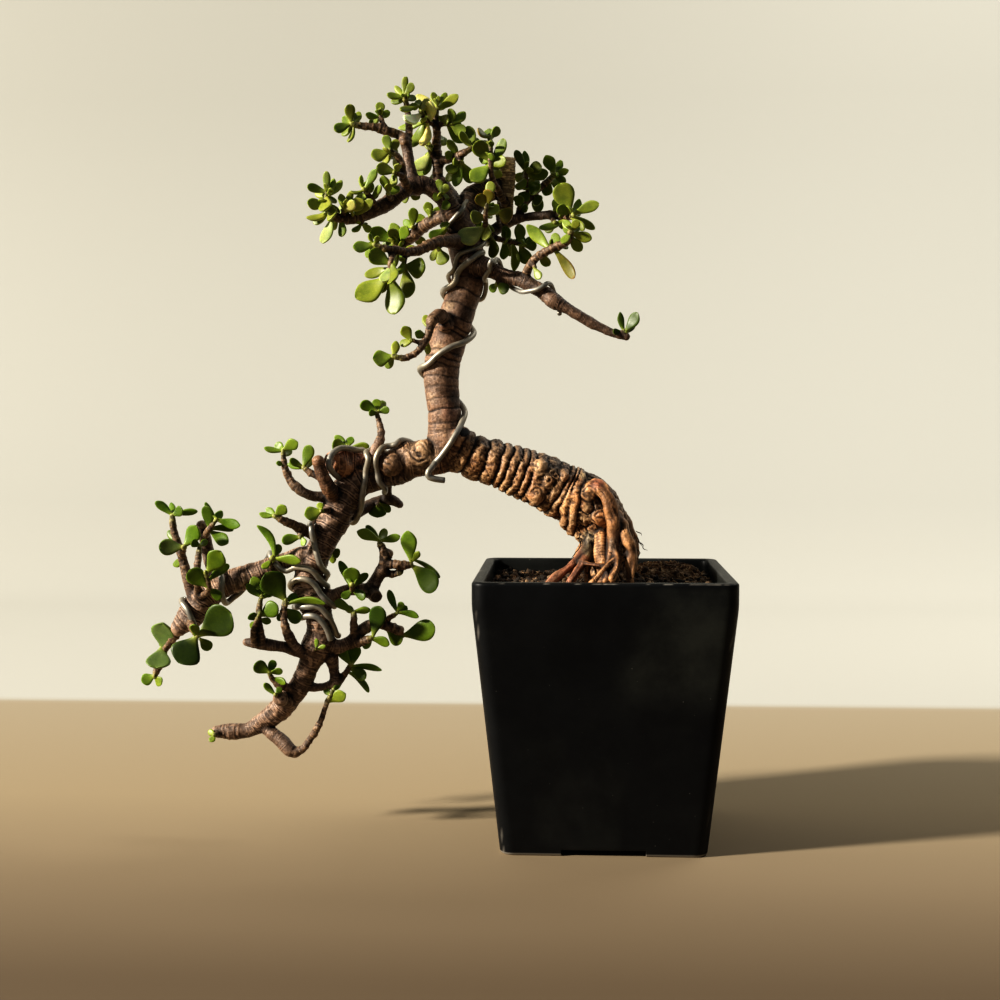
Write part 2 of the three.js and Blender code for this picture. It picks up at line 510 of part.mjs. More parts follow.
        [-44.5, 18, 314.5, 2.1], [-41.5, 21, 322, 2.1], [-37.5, 25, 327.5, 1.8], [-32.5, 28, 332.5, 1.6],
        [-29, 28, 335.5, 1.6], [-25.5, 26.5, 339, 1.3],
      ],
      [
        [-38.5, 25, 326.5, 1.6], [-39.5, 20, 333, 1.3], [-40.5, 18, 340, 1],
      ],
      [
        [-43.5, 21.5, 318, 1.3], [-43.5, 13, 321, 1],
      ],
    ],
    leaves: [
      [-40.5, 18.5, 339.5, -45.5, 17.5, 350, 4.5, 10], [-40.5, 18.5, 339.5, -41, 22.5, 350.5, 4.5, 20],
      [-40, 18.5, 338.5, -32, 14.5, 341.5, 7, 0], [-39.5, 19, 337, -28.5, 19, 338.5, 6.5, 0],
      [-40, 19, 336, -44.5, 15, 329.5, 6.5, 10], [-39, 19.5, 334, -33.5, 15.5, 328.5, 7.5, 10],
      [-39.5, 19.5, 335, -46, 25.5, 338.5, 6, 10], [-38.5, 22, 330, -43, 20, 325, 7, 0],
      [-37, 25, 328, -32.5, 22, 323.5, 6.5, 10], [-40, 20.5, 332, -34, 28.5, 336.5, 6.5, 10],
      [-25.5, 26.5, 339, -30, 24.5, 348.5, 7, 0], [-25.5, 26.5, 339, -18, 26.5, 341, 4, 20],
      [-26, 27, 338, -19.5, 24, 334.5, 4, 20], [-28.5, 28, 336, -30.5, 31, 328.5, 7, 0],
      [-26, 26.5, 339, -22, 32.5, 347, 4.5, 10], [-27.5, 27.5, 337, -21.5, 35.5, 333, 5, 0],
      [-43.5, 14, 320.5, -43.5, 11, 326, 6, 10], [-43, 17.5, 319.5, -39, 13.5, 320, 5, 0],
      [-35.5, 26, 330, -34, 32, 320, 6.5, 0],
    ],
  },
  right_end: {
    twigs: [
      [
        [-27, 15, 316.5, 2.1], [-22.5, 13, 315.5, 1.8], [-19.5, 10, 314.5, 1.8], [-15.5, 5, 315, 1.3],
      ],
      [
        [-26.5, 15, 315.5, 1.3], [-25, 8, 311.5, 1],
      ],
    ],
    leaves: [
      [-17, 6.5, 316, -22, 3.5, 331, 11.5, 0], [-15.5, 5, 315.5, -2.5, 2, 320.5, 6, 20],
      [-17.5, 7.5, 315.5, -23.5, 2.5, 319, 6, 0], [-23.5, 13.5, 316, -25.5, 11.5, 324, 4, 20],
      [-15, 5, 314.5, -4.5, 10, 308.5, 4.5, 20], [-16, 6, 313.5, -10, 3, 307, 4.5, 10],
      [-19.5, 10, 313.5, -33, 5, 308.5, 4.5, 20], [-15.5, 5, 316, -12.5, 12, 324, 4.5, 10],
      [-25, 9, 312, -30, 14, 308, 5, 10], [-22.5, 13, 315, -19.5, 21, 310, 5.5, 0],
    ],
  },
  right_twig: {
    twigs: [
      [
        [-39, -18.5, 281, 2.2], [-38, -21, 285, 2.2], [-35, -23.5, 289.5, 2], [-29, -26, 293.5, 2],
        [-23, -28, 296, 2], [-18.5, -29.5, 298, 1.9], [-16.5, -31.5, 303, 1.5],
      ],
      [
        [-35.5, -23.5, 288.5, 1.2], [-34, -25.5, 285.5, 1],
      ],
    ],
    leaves: [
      [-16.5, -31, 302.5, -21, -34, 296.5, 4.5, 10], [-16.5, -31, 302, -6.5, -31, 299, 5.5, 10],
      [-17, -30.5, 300.5, -11.5, -27.5, 293.5, 5.5, 0], [-16.5, -31.5, 303, -13, -34.5, 307.5, 4.5, 10],
      [-16.5, -31.5, 303, -20.5, -26.5, 308.5, 4.5, 10], [-25, -27.5, 294.5, -15, -30.5, 280, 6, 20],
      [-27, -27, 294.5, -38.5, -22, 307, 6.5, 0], [-34.5, -25.5, 285.5, -31.5, -28.5, 280, 4.5, 10],
      [-31.5, -25, 292.5, -28, -19, 287, 5.5, 10], [-22, -28.5, 296.5, -25.5, -21.5, 302.5, 5, 10],
    ],
  },
  right_low: {
    twigs: [
      [
        [-58, 8, 305, 1.8], [-53, 5, 303, 1.5], [-47, 3.5, 301.5, 1.3], [-40, 0, 299, 1],
      ],
      [
        [-57.5, 9.5, 306.5, 1.3], [-56.5, 0, 302.5, 1],
      ],
    ],
    leaves: [
      [-43, 1.5, 300, -43, 3.5, 310.5, 6, 10], [-51, 4.5, 302, -51, 2.5, 292.5, 6, 10],
      [-46.5, 3, 301, -45.5, 2, 286.5, 6, 10], [-42.5, 1, 299.5, -38.5, 4, 290.5, 7, 0],
      [-48.5, 4, 302, -51, 8, 310, 5, 10], [-40, 0, 299, -34, -2, 299, 5, 10],
      [-40.5, 0, 299, -37, 5, 304, 4.5, 10], [-50, 4, 302, -48, 11, 295, 5, 10],
      [-57, 1.5, 303.5, -56, -0.5, 293, 7.5, 20],
    ],
  },
  leaf_under_right: {
    twigs: [
      [
        [-53, -16, 282.5, 1.2], [-53, -16.5, 278.5, 1],
      ],
    ],
    leaves: [
      [-53.5, -16.5, 279, -48, -18.5, 274.5, 6, 0], [-53.5, -16.5, 278.5, -57, -13.5, 275.5, 4.5, 0],
    ],
  },
  right_tip: {
    twigs: [
      [
        [8, -25, 253, 1.5], [9.5, -26, 255, 1],
      ],
    ],
    leaves: [
      [9.5, -26, 254.5, 7.5, -25, 264, 3.5, 30], [10, -26, 254.5, 16, -28, 263.5, 6.5, 0],
      [9, -25.5, 254, 4, -28.5, 254.5, 3.5, 10], [10.5, -26, 254, 14.5, -20, 259.5, 4, 10],
    ],
  },
  trunk_twig: {
    twigs: [
      [
        [-85, -26, 260.5, 2.2], [-86, -26, 256, 2], [-87.5, -27, 251.5, 2], [-89.5, -28, 247.5, 1.7],
        [-93.5, -29, 243.5, 1.7], [-98.5, -30, 241.5, 1.5], [-104, -31, 242.5, 1.2],
      ],
      [
        [-89.5, -28, 248.5, 1.2], [-95, -30, 250.5, 1],
      ],
    ],
    leaves: [
      [-104, -31, 242.5, -113.5, -33, 241, 8.5, 0], [-103.5, -31, 242.5, -102.5, -28, 250, 4.5, 20],
      [-104, -31, 242, -108, -26, 237, 4.5, 0], [-95, -30, 250, -98.5, -32, 257, 6, 0],
      [-94.5, -30, 250, -101, -25, 249, 4.5, 10], [-87.5, -27, 252, -93, -30, 254, 4.5, 10],
      [-86, -26, 256, -89, -21, 263, 4.5, 20], [-88, -27, 250.5, -87.5, -22, 243.5, 4.5, 20],
    ],
  },
  twig_a: {
    twigs: [
      [
        [-113, -14.5, 199.5, 2], [-112, -13, 205, 1.8], [-113.5, -11, 210.5, 1.5], [-114.5, -11, 215.5, 1],
      ],
    ],
    leaves: [
      [-114.5, -11, 215.5, -122.5, -13, 219.5, 6, 0], [-114, -11, 215.5, -115.5, -7, 221.5, 5.5, 10],
      [-113.5, -11, 215, -108, -12, 216.5, 4, 10], [-114.5, -11, 214, -118, -14, 215, 3.5, 10],
      [-113.5, -11, 215.5, -111.5, -4, 220.5, 4.5, 10],
    ],
  },
  stub_leaves: {
    twigs: [
      [
        [-129, -4, 191.5, 1.5], [-132.5, 8.5, 197, 1],
      ],
    ],
    leaves: [
      [-132.5, 8.5, 197, -140, 6.5, 198.5, 7.5, 0], [-132.5, 8.5, 197.5, -139.5, 11.5, 202.5, 4, 10],
      [-132, 8.5, 197.5, -130.5, 12.5, 202, 4.5, 10], [-131, 6, 196, -120.5, 5, 197.5, 4.5, 20],
      [-133.5, 7, 196, -138, 14, 192, 5, 0],
    ],
  },
  twig_b: {
    twigs: [
      [
        [-153.5, -18, 176.5, 2.3], [-157, -18, 180, 2], [-159.5, -18, 185.5, 1.8], [-160.5, -18, 190, 1.5],
        [-161, -18, 196, 1],
      ],
    ],
    leaves: [
      [-161, -18, 196, -153, -21, 200, 6.5, 10], [-161, -18, 195.5, -170.5, -19, 197, 3.5, 40],
      [-161, -18, 196, -165.5, -14, 199, 5, 10], [-160.5, -18, 193, -158, -12, 196, 4, 10],
      [-160, -18, 189, -164, -21, 189.5, 3, 30],
    ],
  },
  twig_c: {
    twigs: [
      [
        [-140.5, -22.5, 182, 1.7], [-146, -22.5, 184.5, 1.8], [-150, -22.5, 187.5, 1.3],
      ],
    ],
    leaves: [
      [-150, -22.5, 187.5, -146, -24.5, 198.5, 6.5, 0], [-150, -22.5, 187.5, -156.5, -24.5, 191.5, 4, 20],
      [-150, -22.5, 187, -158.5, -19.5, 189, 3.5, 20], [-149, -22.5, 187, -147, -16.5, 191.5, 4.5, 10],
    ],
  },
  twig_d: {
    twigs: [
      [
        [-151, -21, 156, 2.3], [-155.5, -24, 159, 2.3], [-159.5, -27, 161, 2], [-163.5, -28.5, 163.5, 1.2],
      ],
      [
        [-151, -21, 156, 2.3], [-151.5, -24, 152.5, 1.3],
      ],
    ],
    leaves: [
      [-163.5, -28.5, 163.5, -157.5, -30.5, 168.5, 6, 10],
      [-163.5, -28.5, 163.5, -171.5, -27.5, 164.5, 3.5, 40],
      [-163, -28.5, 163.5, -168.5, -24.5, 167, 4, 10], [-151.5, -24, 152.5, -160.5, -26, 150.5, 5.5, 0],
      [-151, -24, 152.5, -149, -27, 148.5, 4, 20],
    ],
  },
  limb_leaf_left: {
    twigs: [
      [
        [-137.5, -17.5, 165.5, 1.5], [-140, -30, 166, 1],
      ],
    ],
    leaves: [
      [-139.5, -29, 166, -148, -32, 164, 7.5, 0], [-140, -28.5, 166.5, -141.5, -26.5, 170, 4, 10],
    ],
  },
  long_curved: {
    twigs: [
      [
        [-167.5, -17.5, 136, 1.8], [-166, -24, 142, 1.3],
      ],
    ],
    leaves: [
      [-165, -23.5, 141.5, -173, -25.5, 158.5, 4.5, 10], [-165.5, -24, 142.5, -162.5, -21, 148.5, 4.5, 0],
      [-165, -23.5, 141.5, -150.5, -28.5, 141, 6, 30], [-166.5, -22.5, 141, -170.5, -26.5, 137, 4, 10],
    ],
  },
  limb_leaf_right: {
    twigs: [
      [
        [-142, -8.5, 145.5, 1.5], [-139.5, -4, 143.5, 1],
      ],
    ],
    leaves: [
      [-139.5, -4.5, 144, -134.5, -6.5, 142, 5.5, 0], [-140, -4.5, 143.5, -139, 0.5, 137, 4.5, 10],
    ],
  },
  leaf_under_e: {
    twigs: [
      [
        [-116.5, 8.5, 169.5, 1.3], [-116, 4.5, 166.5, 1],
      ],
    ],
    leaves: [
      [-116, 6, 167.5, -116.5, 4, 160.5, 9.5, 0], [-115.5, 6, 167.5, -110.5, 11, 163, 5, 10],
    ],
  },
  twig_f: {
    twigs: [
      [
        [-211.5, -13, 130, 2.6], [-213.5, -13, 138, 2.3], [-216, -13, 147, 2], [-218.5, -13, 155, 1.8],
        [-219, -13, 162.5, 1.3],
      ],
      [
        [-214, -14.5, 142.5, 1.8], [-211, -21, 147.5, 1.3],
      ],
    ],
    leaves: [
      [-219, -13, 162.5, -227.5, -14, 169.5, 4.5, 20], [-219, -13, 162.5, -213, -17, 166, 5.5, 0],
      [-218.5, -13, 163, -206.5, -11, 164.5, 4, 40], [-219, -13, 162.5, -221.5, -6, 168.5, 4, 10],
      [-211.5, -20, 147, -223.5, -23, 147, 8.5, 0], [-211.5, -20, 147, -204.5, -22, 158, 9, 0],
      [-216.5, -13, 149, -223, -7, 154, 4.5, 10], [-214, -13, 139.5, -220.5, -7, 136.5, 4.5, 10],
    ],
  },
  twig_g_leaves: {
    twigs: [
      [
        [-204.5, -5, 151, 1.8], [-200.5, -12.5, 155, 1.5], [-196, -14.5, 160.5, 1],
      ],
    ],
    leaves: [
      [-200, -12.5, 155, -201.5, -14.5, 167.5, 6.5, 0],
      [-196, -14.5, 160.5, -183.5, -16.5, 157.5, 5.5, 10], [-196, -14.5, 161, -202.5, -11.5, 169, 3, 40],
      [-199.5, -13, 155.5, -188.5, -9, 155, 4.5, 40], [-200, -12, 154.5, -190, -15, 148.5, 7, 0],
      [-197, -14, 159, -195, -7, 164.5, 4.5, 10],
    ],
  },
  twig_h: {
    twigs: [
      [
        [-204.5, -18, 121, 1.8], [-203.5, -26, 130, 1.8], [-203, -27, 138, 1.8], [-202.5, -25.5, 145, 1.5],
        [-202, -25.5, 148.5, 1],
      ],
      [
        [-204.5, -18, 121, 1.8], [-196, -31.5, 127.5, 1.2], [-197, -35, 136, 1],
      ],
    ],
    leaves: [
      [-196.5, -34.5, 135.5, -189, -36.5, 146.5, 10.5, 0], [-196.5, -32, 128, -205.5, -35, 136.5, 9.5, 0],
      [-196, -33, 131.5, -186.5, -29, 139, 5, 20], [-196.5, -31, 127, -191, -29, 121.5, 5.5, 10],
      [-202, -25.5, 148, -205.5, -28.5, 150.5, 4.5, 10], [-202, -25.5, 148, -199.5, -20.5, 150.5, 3.5, 10],
    ],
  },
  big_pair: {
    twigs: [
      [
        [-209.5, -18, 108.5, 2.3], [-204.5, -28.5, 106, 2], [-201.5, -35, 104, 1.5],
      ],
    ],
    leaves: [
      [-200.5, -35, 104.5, -184, -39, 116.5, 17, 0], [-200, -35, 102.5, -196, -32, 96.5, 6.5, 0],
      [-202, -35, 103.5, -210, -39, 91, 16.5, 0], [-202, -35, 103, -202, -41, 110.5, 5, 0],
    ],
  },
  left_end: {
    twigs: [
      [
        [-215.5, -13, 105, 2.6], [-222, -8.5, 97, 2.1], [-227, -5.5, 90.5, 1.8], [-229, -5.5, 84.5, 2.3],
        [-231, -7, 78.5, 1.3],
      ],
    ],
    leaves: [
      [-225.5, -6, 91, -224.5, -15, 107.5, 14.5, 0], [-227, -6.5, 94, -228, -15.5, 84.5, 13, 0],
      [-231, -7, 79, -237.5, -8, 76, 6.5, 10], [-231, -7, 78.5, -227, -9, 74.5, 6, 10],
      [-229.5, -5.5, 85, -236.5, 0.5, 85, 5, 10], [-224, -7.5, 95, -229.5, -1.5, 96, 5.5, 10],
    ],
  },
  twig_i: {
    twigs: [
      [
        [-170.5, -22.5, 98, 1.8], [-172, -24, 104.5, 1.8], [-172.5, -25.5, 112, 1.5],
        [-172, -25.5, 118.5, 1.5], [-171, -25.5, 123, 1],
      ],
      [
        [-175, -22.5, 98.5, 1.8], [-175, -26.5, 105, 1.5], [-173.5, -27, 110, 1.3], [-172, -27, 114, 1.3],
      ],
    ],
    leaves: [
      [-171, -25.5, 122.5, -178.5, -26.5, 129, 4, 20], [-171, -25.5, 122.5, -176.5, -20.5, 132, 7, 0],
      [-171, -25.5, 122.5, -165.5, -23.5, 124, 3.5, 20], [-171, -25.5, 122, -169.5, -17.5, 125.5, 5, 0],
      [-172, -25.5, 113, -162.5, -27.5, 118.5, 9, 0], [-173.5, -27, 111, -176.5, -29, 114, 5, 10],
      [-172, -25.5, 111, -167, -22.5, 109.5, 4, 10], [-173.5, -27, 110, -177.5, -23, 107, 4, 10],
    ],
  },
  twig_k: {
    twigs: [
      [
        [-157.5, -24, 101.5, 2.3], [-159, -25.5, 107.5, 2], [-160, -25.5, 114, 1.8],
        [-159, -25.5, 121, 1.3],
      ],
    ],
    leaves: [
      [-159, -25.5, 121, -168, -29.5, 135, 14, 0], [-158.5, -25.5, 119, -138, -30.5, 120, 4.5, 30],
      [-158.5, -25.5, 121, -153.5, -22.5, 123, 4.5, 0], [-159.5, -25.5, 116.5, -152, -23.5, 110, 7, 0],
      [-160, -25.5, 115, -164, -21.5, 110.5, 4, 20],
    ],
  },
  r_top: {
    twigs: [
      [
        [-113.5, -8.5, 133, 2.8], [-111.5, -8.5, 137, 2.8], [-111, -8.5, 142.5, 2.3],
        [-113.5, -8.5, 148.5, 1.5],
      ],
      [
        [-111.5, -8.5, 137.5, 2.3], [-106.5, -9, 137.5, 2.3], [-101.5, -9, 137, 2.3],
        [-97.5, -9, 137.5, 1.5],
      ],
      [
        [-111.5, -8.5, 141.5, 2], [-109, -7.5, 143, 2.3],
      ],
      [
        [-112.5, -8.5, 133, 1.8], [-107.5, -7.5, 132.5, 1.8], [-103, -8, 133.5, 1.5],
      ],
    ],
    leaves: [
      [-113.5, -8.5, 149.5, -125, -10.5, 154.5, 6, 0], [-113.5, -8.5, 149.5, -121, -4.5, 157, 4, 20],
      [-113, -8.5, 149.5, -103, -9.5, 152, 4.5, 20], [-113.5, -8.5, 149.5, -111.5, -0.5, 155, 4.5, 10],
      [-97.5, -9, 139, -99, -11, 155, 9, 0], [-97, -9, 137, -85, -12, 124.5, 11.5, 0],
      [-96.5, -9, 140, -83, -6, 130.5, 3.5, 40], [-97, -9, 139, -93, -13, 144.5, 3.5, 10],
    ],
  },
  r_mid: {
    twigs: [
      [
        [-126.5, -14, 124, 1.5], [-125.5, -25.5, 129, 1.2],
      ],
    ],
    leaves: [
      [-126.5, -19, 126, -126, -21, 137, 9, 0], [-126, -22, 127.5, -133, -17, 140, 4.5, 20],
      [-125.5, -22, 127.5, -118.5, -17, 133.5, 4.5, 30],
      [-126.5, -17.5, 125.5, -119.5, -21.5, 121.5, 5, 10],
      [-126.5, -17.5, 125.5, -131.5, -19.5, 121.5, 4.5, 10],
    ],
  },
  r_low: {
    twigs: [
      [
        [-120, -13, 105.5, 2.5], [-115, -13, 108, 2.3], [-110, -12.5, 106.5, 2.5],
        [-103.5, -12.5, 104.5, 2.3],
      ],
      [
        [-114, -13, 107.5, 1.5], [-108.5, -14, 110.5, 1.5], [-104, -14.5, 113.5, 1],
      ],
      [
        [-104.5, -12.5, 104.5, 1.5], [-102, -12, 101.5, 1.3],
      ],
    ],
    leaves: [
      [-109.5, -12.5, 104.5, -102.5, -13.5, 97.5, 7.5, 0], [-102, -12, 101.5, -85, -14, 106.5, 11, 0],
      [-104, -14.5, 113.5, -93, -15.5, 111.5, 4, 30], [-104, -14.5, 114, -108.5, -13.5, 125, 4, 30],
      [-104, -14.5, 114.5, -101, -16.5, 119, 4, 0], [-104, -14.5, 113.5, -99.5, -8.5, 115.5, 4, 10],
    ],
  },
  l_end: {
    twigs: [
      [
        [-157.5, -13, 41, 2.3], [-153, -14.5, 43, 2], [-149.5, -14.5, 47.5, 1.8], [-145.5, -16, 53.5, 1.8],
        [-143, -16, 58.5, 1.5], [-141, -16, 64.5, 1.3], [-139, -16, 69.5, 1.3], [-136.5, -16, 74.5, 1],
      ],
    ],
    leaves: [
      [-139, -16, 68, -130, -18, 72.5, 7, 0], [-137, -16, 73.5, -133.5, -13, 76.5, 3, 20],
      [-138, -16, 71.5, -142, -12, 74, 3.5, 20],
    ],
  },
  m_end: {
    twigs: [
      [
        [-134, -10, 78.5, 1.8], [-131, -10, 82, 1.5], [-128.5, -10, 86, 1.3],
      ],
    ],
    leaves: [
      [-128.5, -10, 86, -135, -12, 96.5, 5.5, 10], [-128, -10, 86, -126.5, -6, 96.5, 7.5, 0],
      [-129, -10, 85, -112.5, -11, 83.5, 4, 40], [-129, -10, 84.5, -120.5, -13, 79.5, 6, 0],
      [-130.5, -10, 82.5, -119.5, -8, 71.5, 4, 40], [-129, -10, 87, -134, -2, 97.5, 4.5, 10],
    ],
  },
  n_end: {
    twigs: [
      [
        [-163, -21, 77.5, 2], [-166, -22.5, 80, 1.5], [-168, -24, 84, 1],
      ],
    ],
    leaves: [
      [-167.5, -24, 84, -175, -26, 88.5, 7, 0], [-167.5, -24, 84, -161, -24, 85, 4, 20],
      [-166.5, -23, 81, -159, -26, 79, 4, 10], [-168, -24, 84.5, -166.5, -19, 89.5, 4.5, 10],
    ],
  },
  knob_leaf: {
    twigs: [
      [
        [-162, -22.5, 70.5, 1.3], [-164, -28.5, 74, 1],
      ],
    ],
    leaves: [
      [-164, -28, 73.5, -169.5, -29, 79.5, 3.5, 20], [-163.5, -28, 74, -161.5, -26, 77, 3.5, 10],
    ],
  },
  limb_sprout: {
    twigs: [
      [
        [-146, -22, 94.5, 1], [-142, -35, 98.5, 0.7],
      ],
    ],
    leaves: [
      [-142.5, -33, 97.5, -142, -34, 103, 2.5, 0], [-142.5, -33, 97.5, -137.5, -34, 99.5, 2.5, 0],
    ],
  },
  tip_sprout: {
    twigs: [
      [
        [-197.5, -8.5, 50, 1.5], [-198.5, -14.5, 50, 1],
      ],
    ],
    leaves: [
      [-198.5, -13, 50, -200.5, -15, 46.5, 3.5, 0], [-198.5, -13, 50, -202.5, -10, 51, 3.5, 0],
    ],
  },
  limb_pair: {
    twigs: [
      [
        [-105.5, -19.5, 320, 1.7], [-106, -29.5, 322, 1.2],
      ],
    ],
    leaves: [
      [-106, -29.5, 322, -108, -35.5, 329.5, 5.5, 0], [-106, -28.5, 321.5, -101, -25.5, 325.5, 4.5, 20],
    ],
  },
  r_stem: {
    twigs: [
      [
        [-125.5, -14.5, 100.5, 2], [-126, -16, 107, 2], [-126, -16, 113.5, 1.3],
      ],
    ],
    leaves: [
      [-126, -16, 113.5, -138, -17, 121, 5, 10], [-126, -16, 114, -117.5, -15, 115, 4.5, 30],
      [-126, -16, 113.5, -131, -10, 115.5, 4, 10],
    ],
  },
  r_under: {
    twigs: [
      [
        [-128.5, -13, 97, 2.3], [-122, -16, 99, 2.3], [-117, -17.5, 101, 1.5],
      ],
    ],
    leaves: [
      [-116, -17.5, 102, -112, -20.5, 117.5, 9.5, 0], [-117, -17.5, 100.5, -107.5, -19.5, 98, 5.5, 10],
      [-117, -17.5, 101, -121.5, -12.5, 95, 4.5, 10],
    ],
  },
};

// Training wires: radius and the points that each one passes on its way round the wood.
const WIRES = {
  wire_trunk: {
    radius: 1.7,
    points: [
      [-79.5, -21, 181], [-83, -22, 181.5], [-86.5, -23, 182.5], [-88, -23, 184], [-85.5, -23, 187],
      [-82, -19, 192], [-77, -20.5, 198.5], [-73.5, -18.5, 204.5], [-70.5, -15, 209.5], [-69.5, -9, 214],
      [-71, -3, 217.5], [-73.5, 0, 220], [-79.5, 3.5, 224.5], [-85.5, 3.5, 229.5], [-90, 1, 232.5],
      [-92, -5, 236], [-88, -15, 239], [-83, -16.5, 243.5], [-76.5, -16, 247.5], [-70, -12, 250],
      [-66.5, -5, 254], [-67.5, 3.5, 258], [-72.5, 7, 263], [-77.5, 6, 268.5], [-78.5, 1.5, 272.5],
      [-77, -8, 276.5], [-74.5, -11.5, 280], [-73.5, -11.5, 284.5], [-69, -14, 289], [-64.5, -14, 292],
      [-60.5, -10, 295],
    ],
  },
  wire_crown: {
    radius: 1.3,
    points: [
      [-21, -23.5, 265.5], [-23.5, -18, 270.5], [-25.5, -19, 275.5], [-28, -23, 277.5],
      [-31.5, -26.5, 275.5], [-36.5, -25, 274.5], [-42, -19.5, 274.5], [-45.5, -14.5, 276],
      [-48.5, -10, 281], [-51.5, -8, 286.5], [-54, -12.5, 290], [-56, -26.5, 288.5], [-57.5, -17.5, 285],
      [-59.5, -5.5, 280.5], [-62, -2.5, 274.5], [-68.5, 6.5, 272.5], [-75.5, 5.5, 276.5], [-77, 0, 282],
      [-76, -10.5, 286.5], [-74.5, -10, 290.5], [-72, -10.5, 294], [-66.5, -10.5, 296], [-62, -6.5, 298.5],
      [-63.5, 13.5, 306.5], [-71, 14.5, 308], [-79, 13.5, 306], [-81.5, -3.5, 306.5], [-78, -9, 309],
      [-74, -11, 313], [-71, -8.5, 317], [-69.5, 3.5, 323],
    ],
  },
  wire_limb_a: {
    radius: 1.7,
    points: [
      [-88, 0, 185], [-93, 2, 192.5], [-97.5, -2, 199], [-101.5, -8, 200.5], [-104.5, -15, 199],
      [-109, -15, 198.5], [-112, -18.5, 196], [-114, -19.5, 191], [-113.5, -17, 185], [-112.5, -16, 179.5],
      [-110, -15.5, 174.5], [-110.5, -7.5, 171],
    ],
  },
  wire_limb_b: {
    radius: 1.7,
    points: [
      [-105.5, 2, 185], [-109, -0.5, 191.5], [-113, -12, 196], [-116.5, -8.5, 196.5], [-117.5, -20, 192],
      [-119, -18, 186], [-120, -18, 179], [-121.5, -16, 172], [-126, -7, 164], [-132.5, 2, 162.5],
      [-139, -2, 163.5], [-145, -8.5, 164], [-148.5, -13, 160.5], [-146, -23.5, 156], [-145, -22, 150],
      [-143.5, -23, 144], [-142, -22, 138.5], [-142, -13, 133], [-143.5, -6.5, 127], [-151, -5, 123.5],
      [-156.5, -8.5, 124], [-158, -16, 127.5], [-150.5, -23.5, 131.5], [-145, -23, 129],
      [-141.5, -21.5, 123.5], [-140, -13, 118.5], [-141.5, -7.5, 112.5], [-148.5, -9, 111],
      [-151.5, -16, 111], [-147.5, -24, 113], [-143, -24.5, 112], [-139, -23.5, 107], [-137, -21.5, 100.5],
    ],
  },
  wire_limb_c: {
    radius: 1.7,
    points: [
      [-133, -16.5, 182], [-135.5, -21, 185], [-137, -24.5, 189], [-136, -21.5, 193.5],
      [-133, -17.5, 196.5], [-128.5, -13.5, 197], [-124, -11, 196], [-121, -0.5, 193.5],
      [-116.5, 0.5, 190], [-114, 3, 183.5],
    ],
  },
  wire_limb_d: {
    radius: 1.7,
    points: [
      [-206.5, -18, 105], [-207.5, -21, 110], [-209.5, -21, 115], [-212, -7, 118.5], [-207.5, -7.5, 124.5],
      [-203, -3, 130.5], [-195.5, -13, 133.5], [-192, -21, 130.5], [-192.5, -21, 125], [-192, -13, 119],
      [-187.5, -9.5, 121], [-181, -5.5, 129], [-174.5, -6, 136], [-168, -13, 140], [-163.5, -21, 137.5],
      [-160.5, -20, 135], [-153.5, -21.5, 137], [-146.5, -23, 136], [-142, -20.5, 130.5],
      [-140.5, -13, 124.5], [-140.5, -8.5, 119], [-148, -6.5, 116.5], [-153, -16, 118], [-149, -24, 117.5],
      [-143, -24, 117.5], [-138, -22.5, 112.5], [-135, -19, 105], [-133, -14.5, 99],
    ],
  },
};

const MATERIALS = {
  glaze: new THREE.MeshStandardMaterial({ color: 0x0d0d0e, roughness: 0.32, metalness: 0 }),
  mesh: new THREE.MeshStandardMaterial({ color: 0x1b3b2a, roughness: 0.6, metalness: 0 }),
  soil: new THREE.MeshStandardMaterial({ color: 0x2c2419, roughness: 0.95, metalness: 0 }),
  bark: new THREE.MeshStandardMaterial({ color: 0x7a5237, roughness: 0.85, metalness: 0 }),
  leaf: new THREE.MeshStandardMaterial({ color: 0x5f8c1f, roughness: 0.4, metalness: 0 }),
  wire: new THREE.MeshStandardMaterial({ color: 0x8b8a80, roughness: 0.45, metalness: 1 }),
};

const vec = (x, y, z) => new THREE.Vector3(x, y, z);

// ---- Solids -------------------------------------------------------------------------------------

function solidFrom(points, triangles) {
  const vertProperties = new Float32Array(points.flatMap((p) => [p.x, p.y, p.z]));
  const triVerts = new Uint32Array(triangles.flat());
  return new wasm.Manifold(new wasm.Mesh({ numProp: 3, vertProperties, triVerts }));
}

function solidOf(geometry) {
  const bare = geometry.index ? geometry.toNonIndexed() : geometry;
  const place = bare.getAttribute('position');
  const points = [];
  const known = new Map();
  const corner = (i) => {
    const p = vec(place.getX(i), place.getY(i), place.getZ(i));
    const key = p.toArray().map((v) => Math.round(v * 1e4)).join();
    if (!known.has(key)) {
      known.set(key, points.length);
      points.push(p);
    }
    return known.get(key);
  };
  const triangles = [];
  for (let i = 0; i < place.count; i += 3) {
    const face = [corner(i), corner(i + 1), corner(i + 2)];
    if (new Set(face).size === 3) triangles.push(face);
  }
  return solidFrom(points, triangles);
}

// Skins a row of rings of points, each with the same number of points, and closes both ends.
function loft(rings) {
  const n = rings[0].length;
  const triangles = [];
  for (let k = 0; k + 1 < rings.length; k += 1) {
    for (let i = 0; i < n; i += 1) {
      const j = (i + 1) % n;
      const low = k * n;
      const high = low + n;
      triangles.push([low + i, low + j, high + j], [low + i, high + j, high + i]);
    }
  }
  const last = (rings.length - 1) * n;
  for (let i = 1; i + 1 < n; i += 1) {
    triangles.push([0, i + 1, i], [last, last + i, last + i + 1]);
  }
  return solidFrom(rings.flat(), triangles);
}

const union = (solids) => wasm.Manifold.union(solids);

function largestBody(solid) {
  const bodies = solid.decompose();
  return bodies.reduce((best, body) => (body.volume() > best.volume() ? body : best));
}

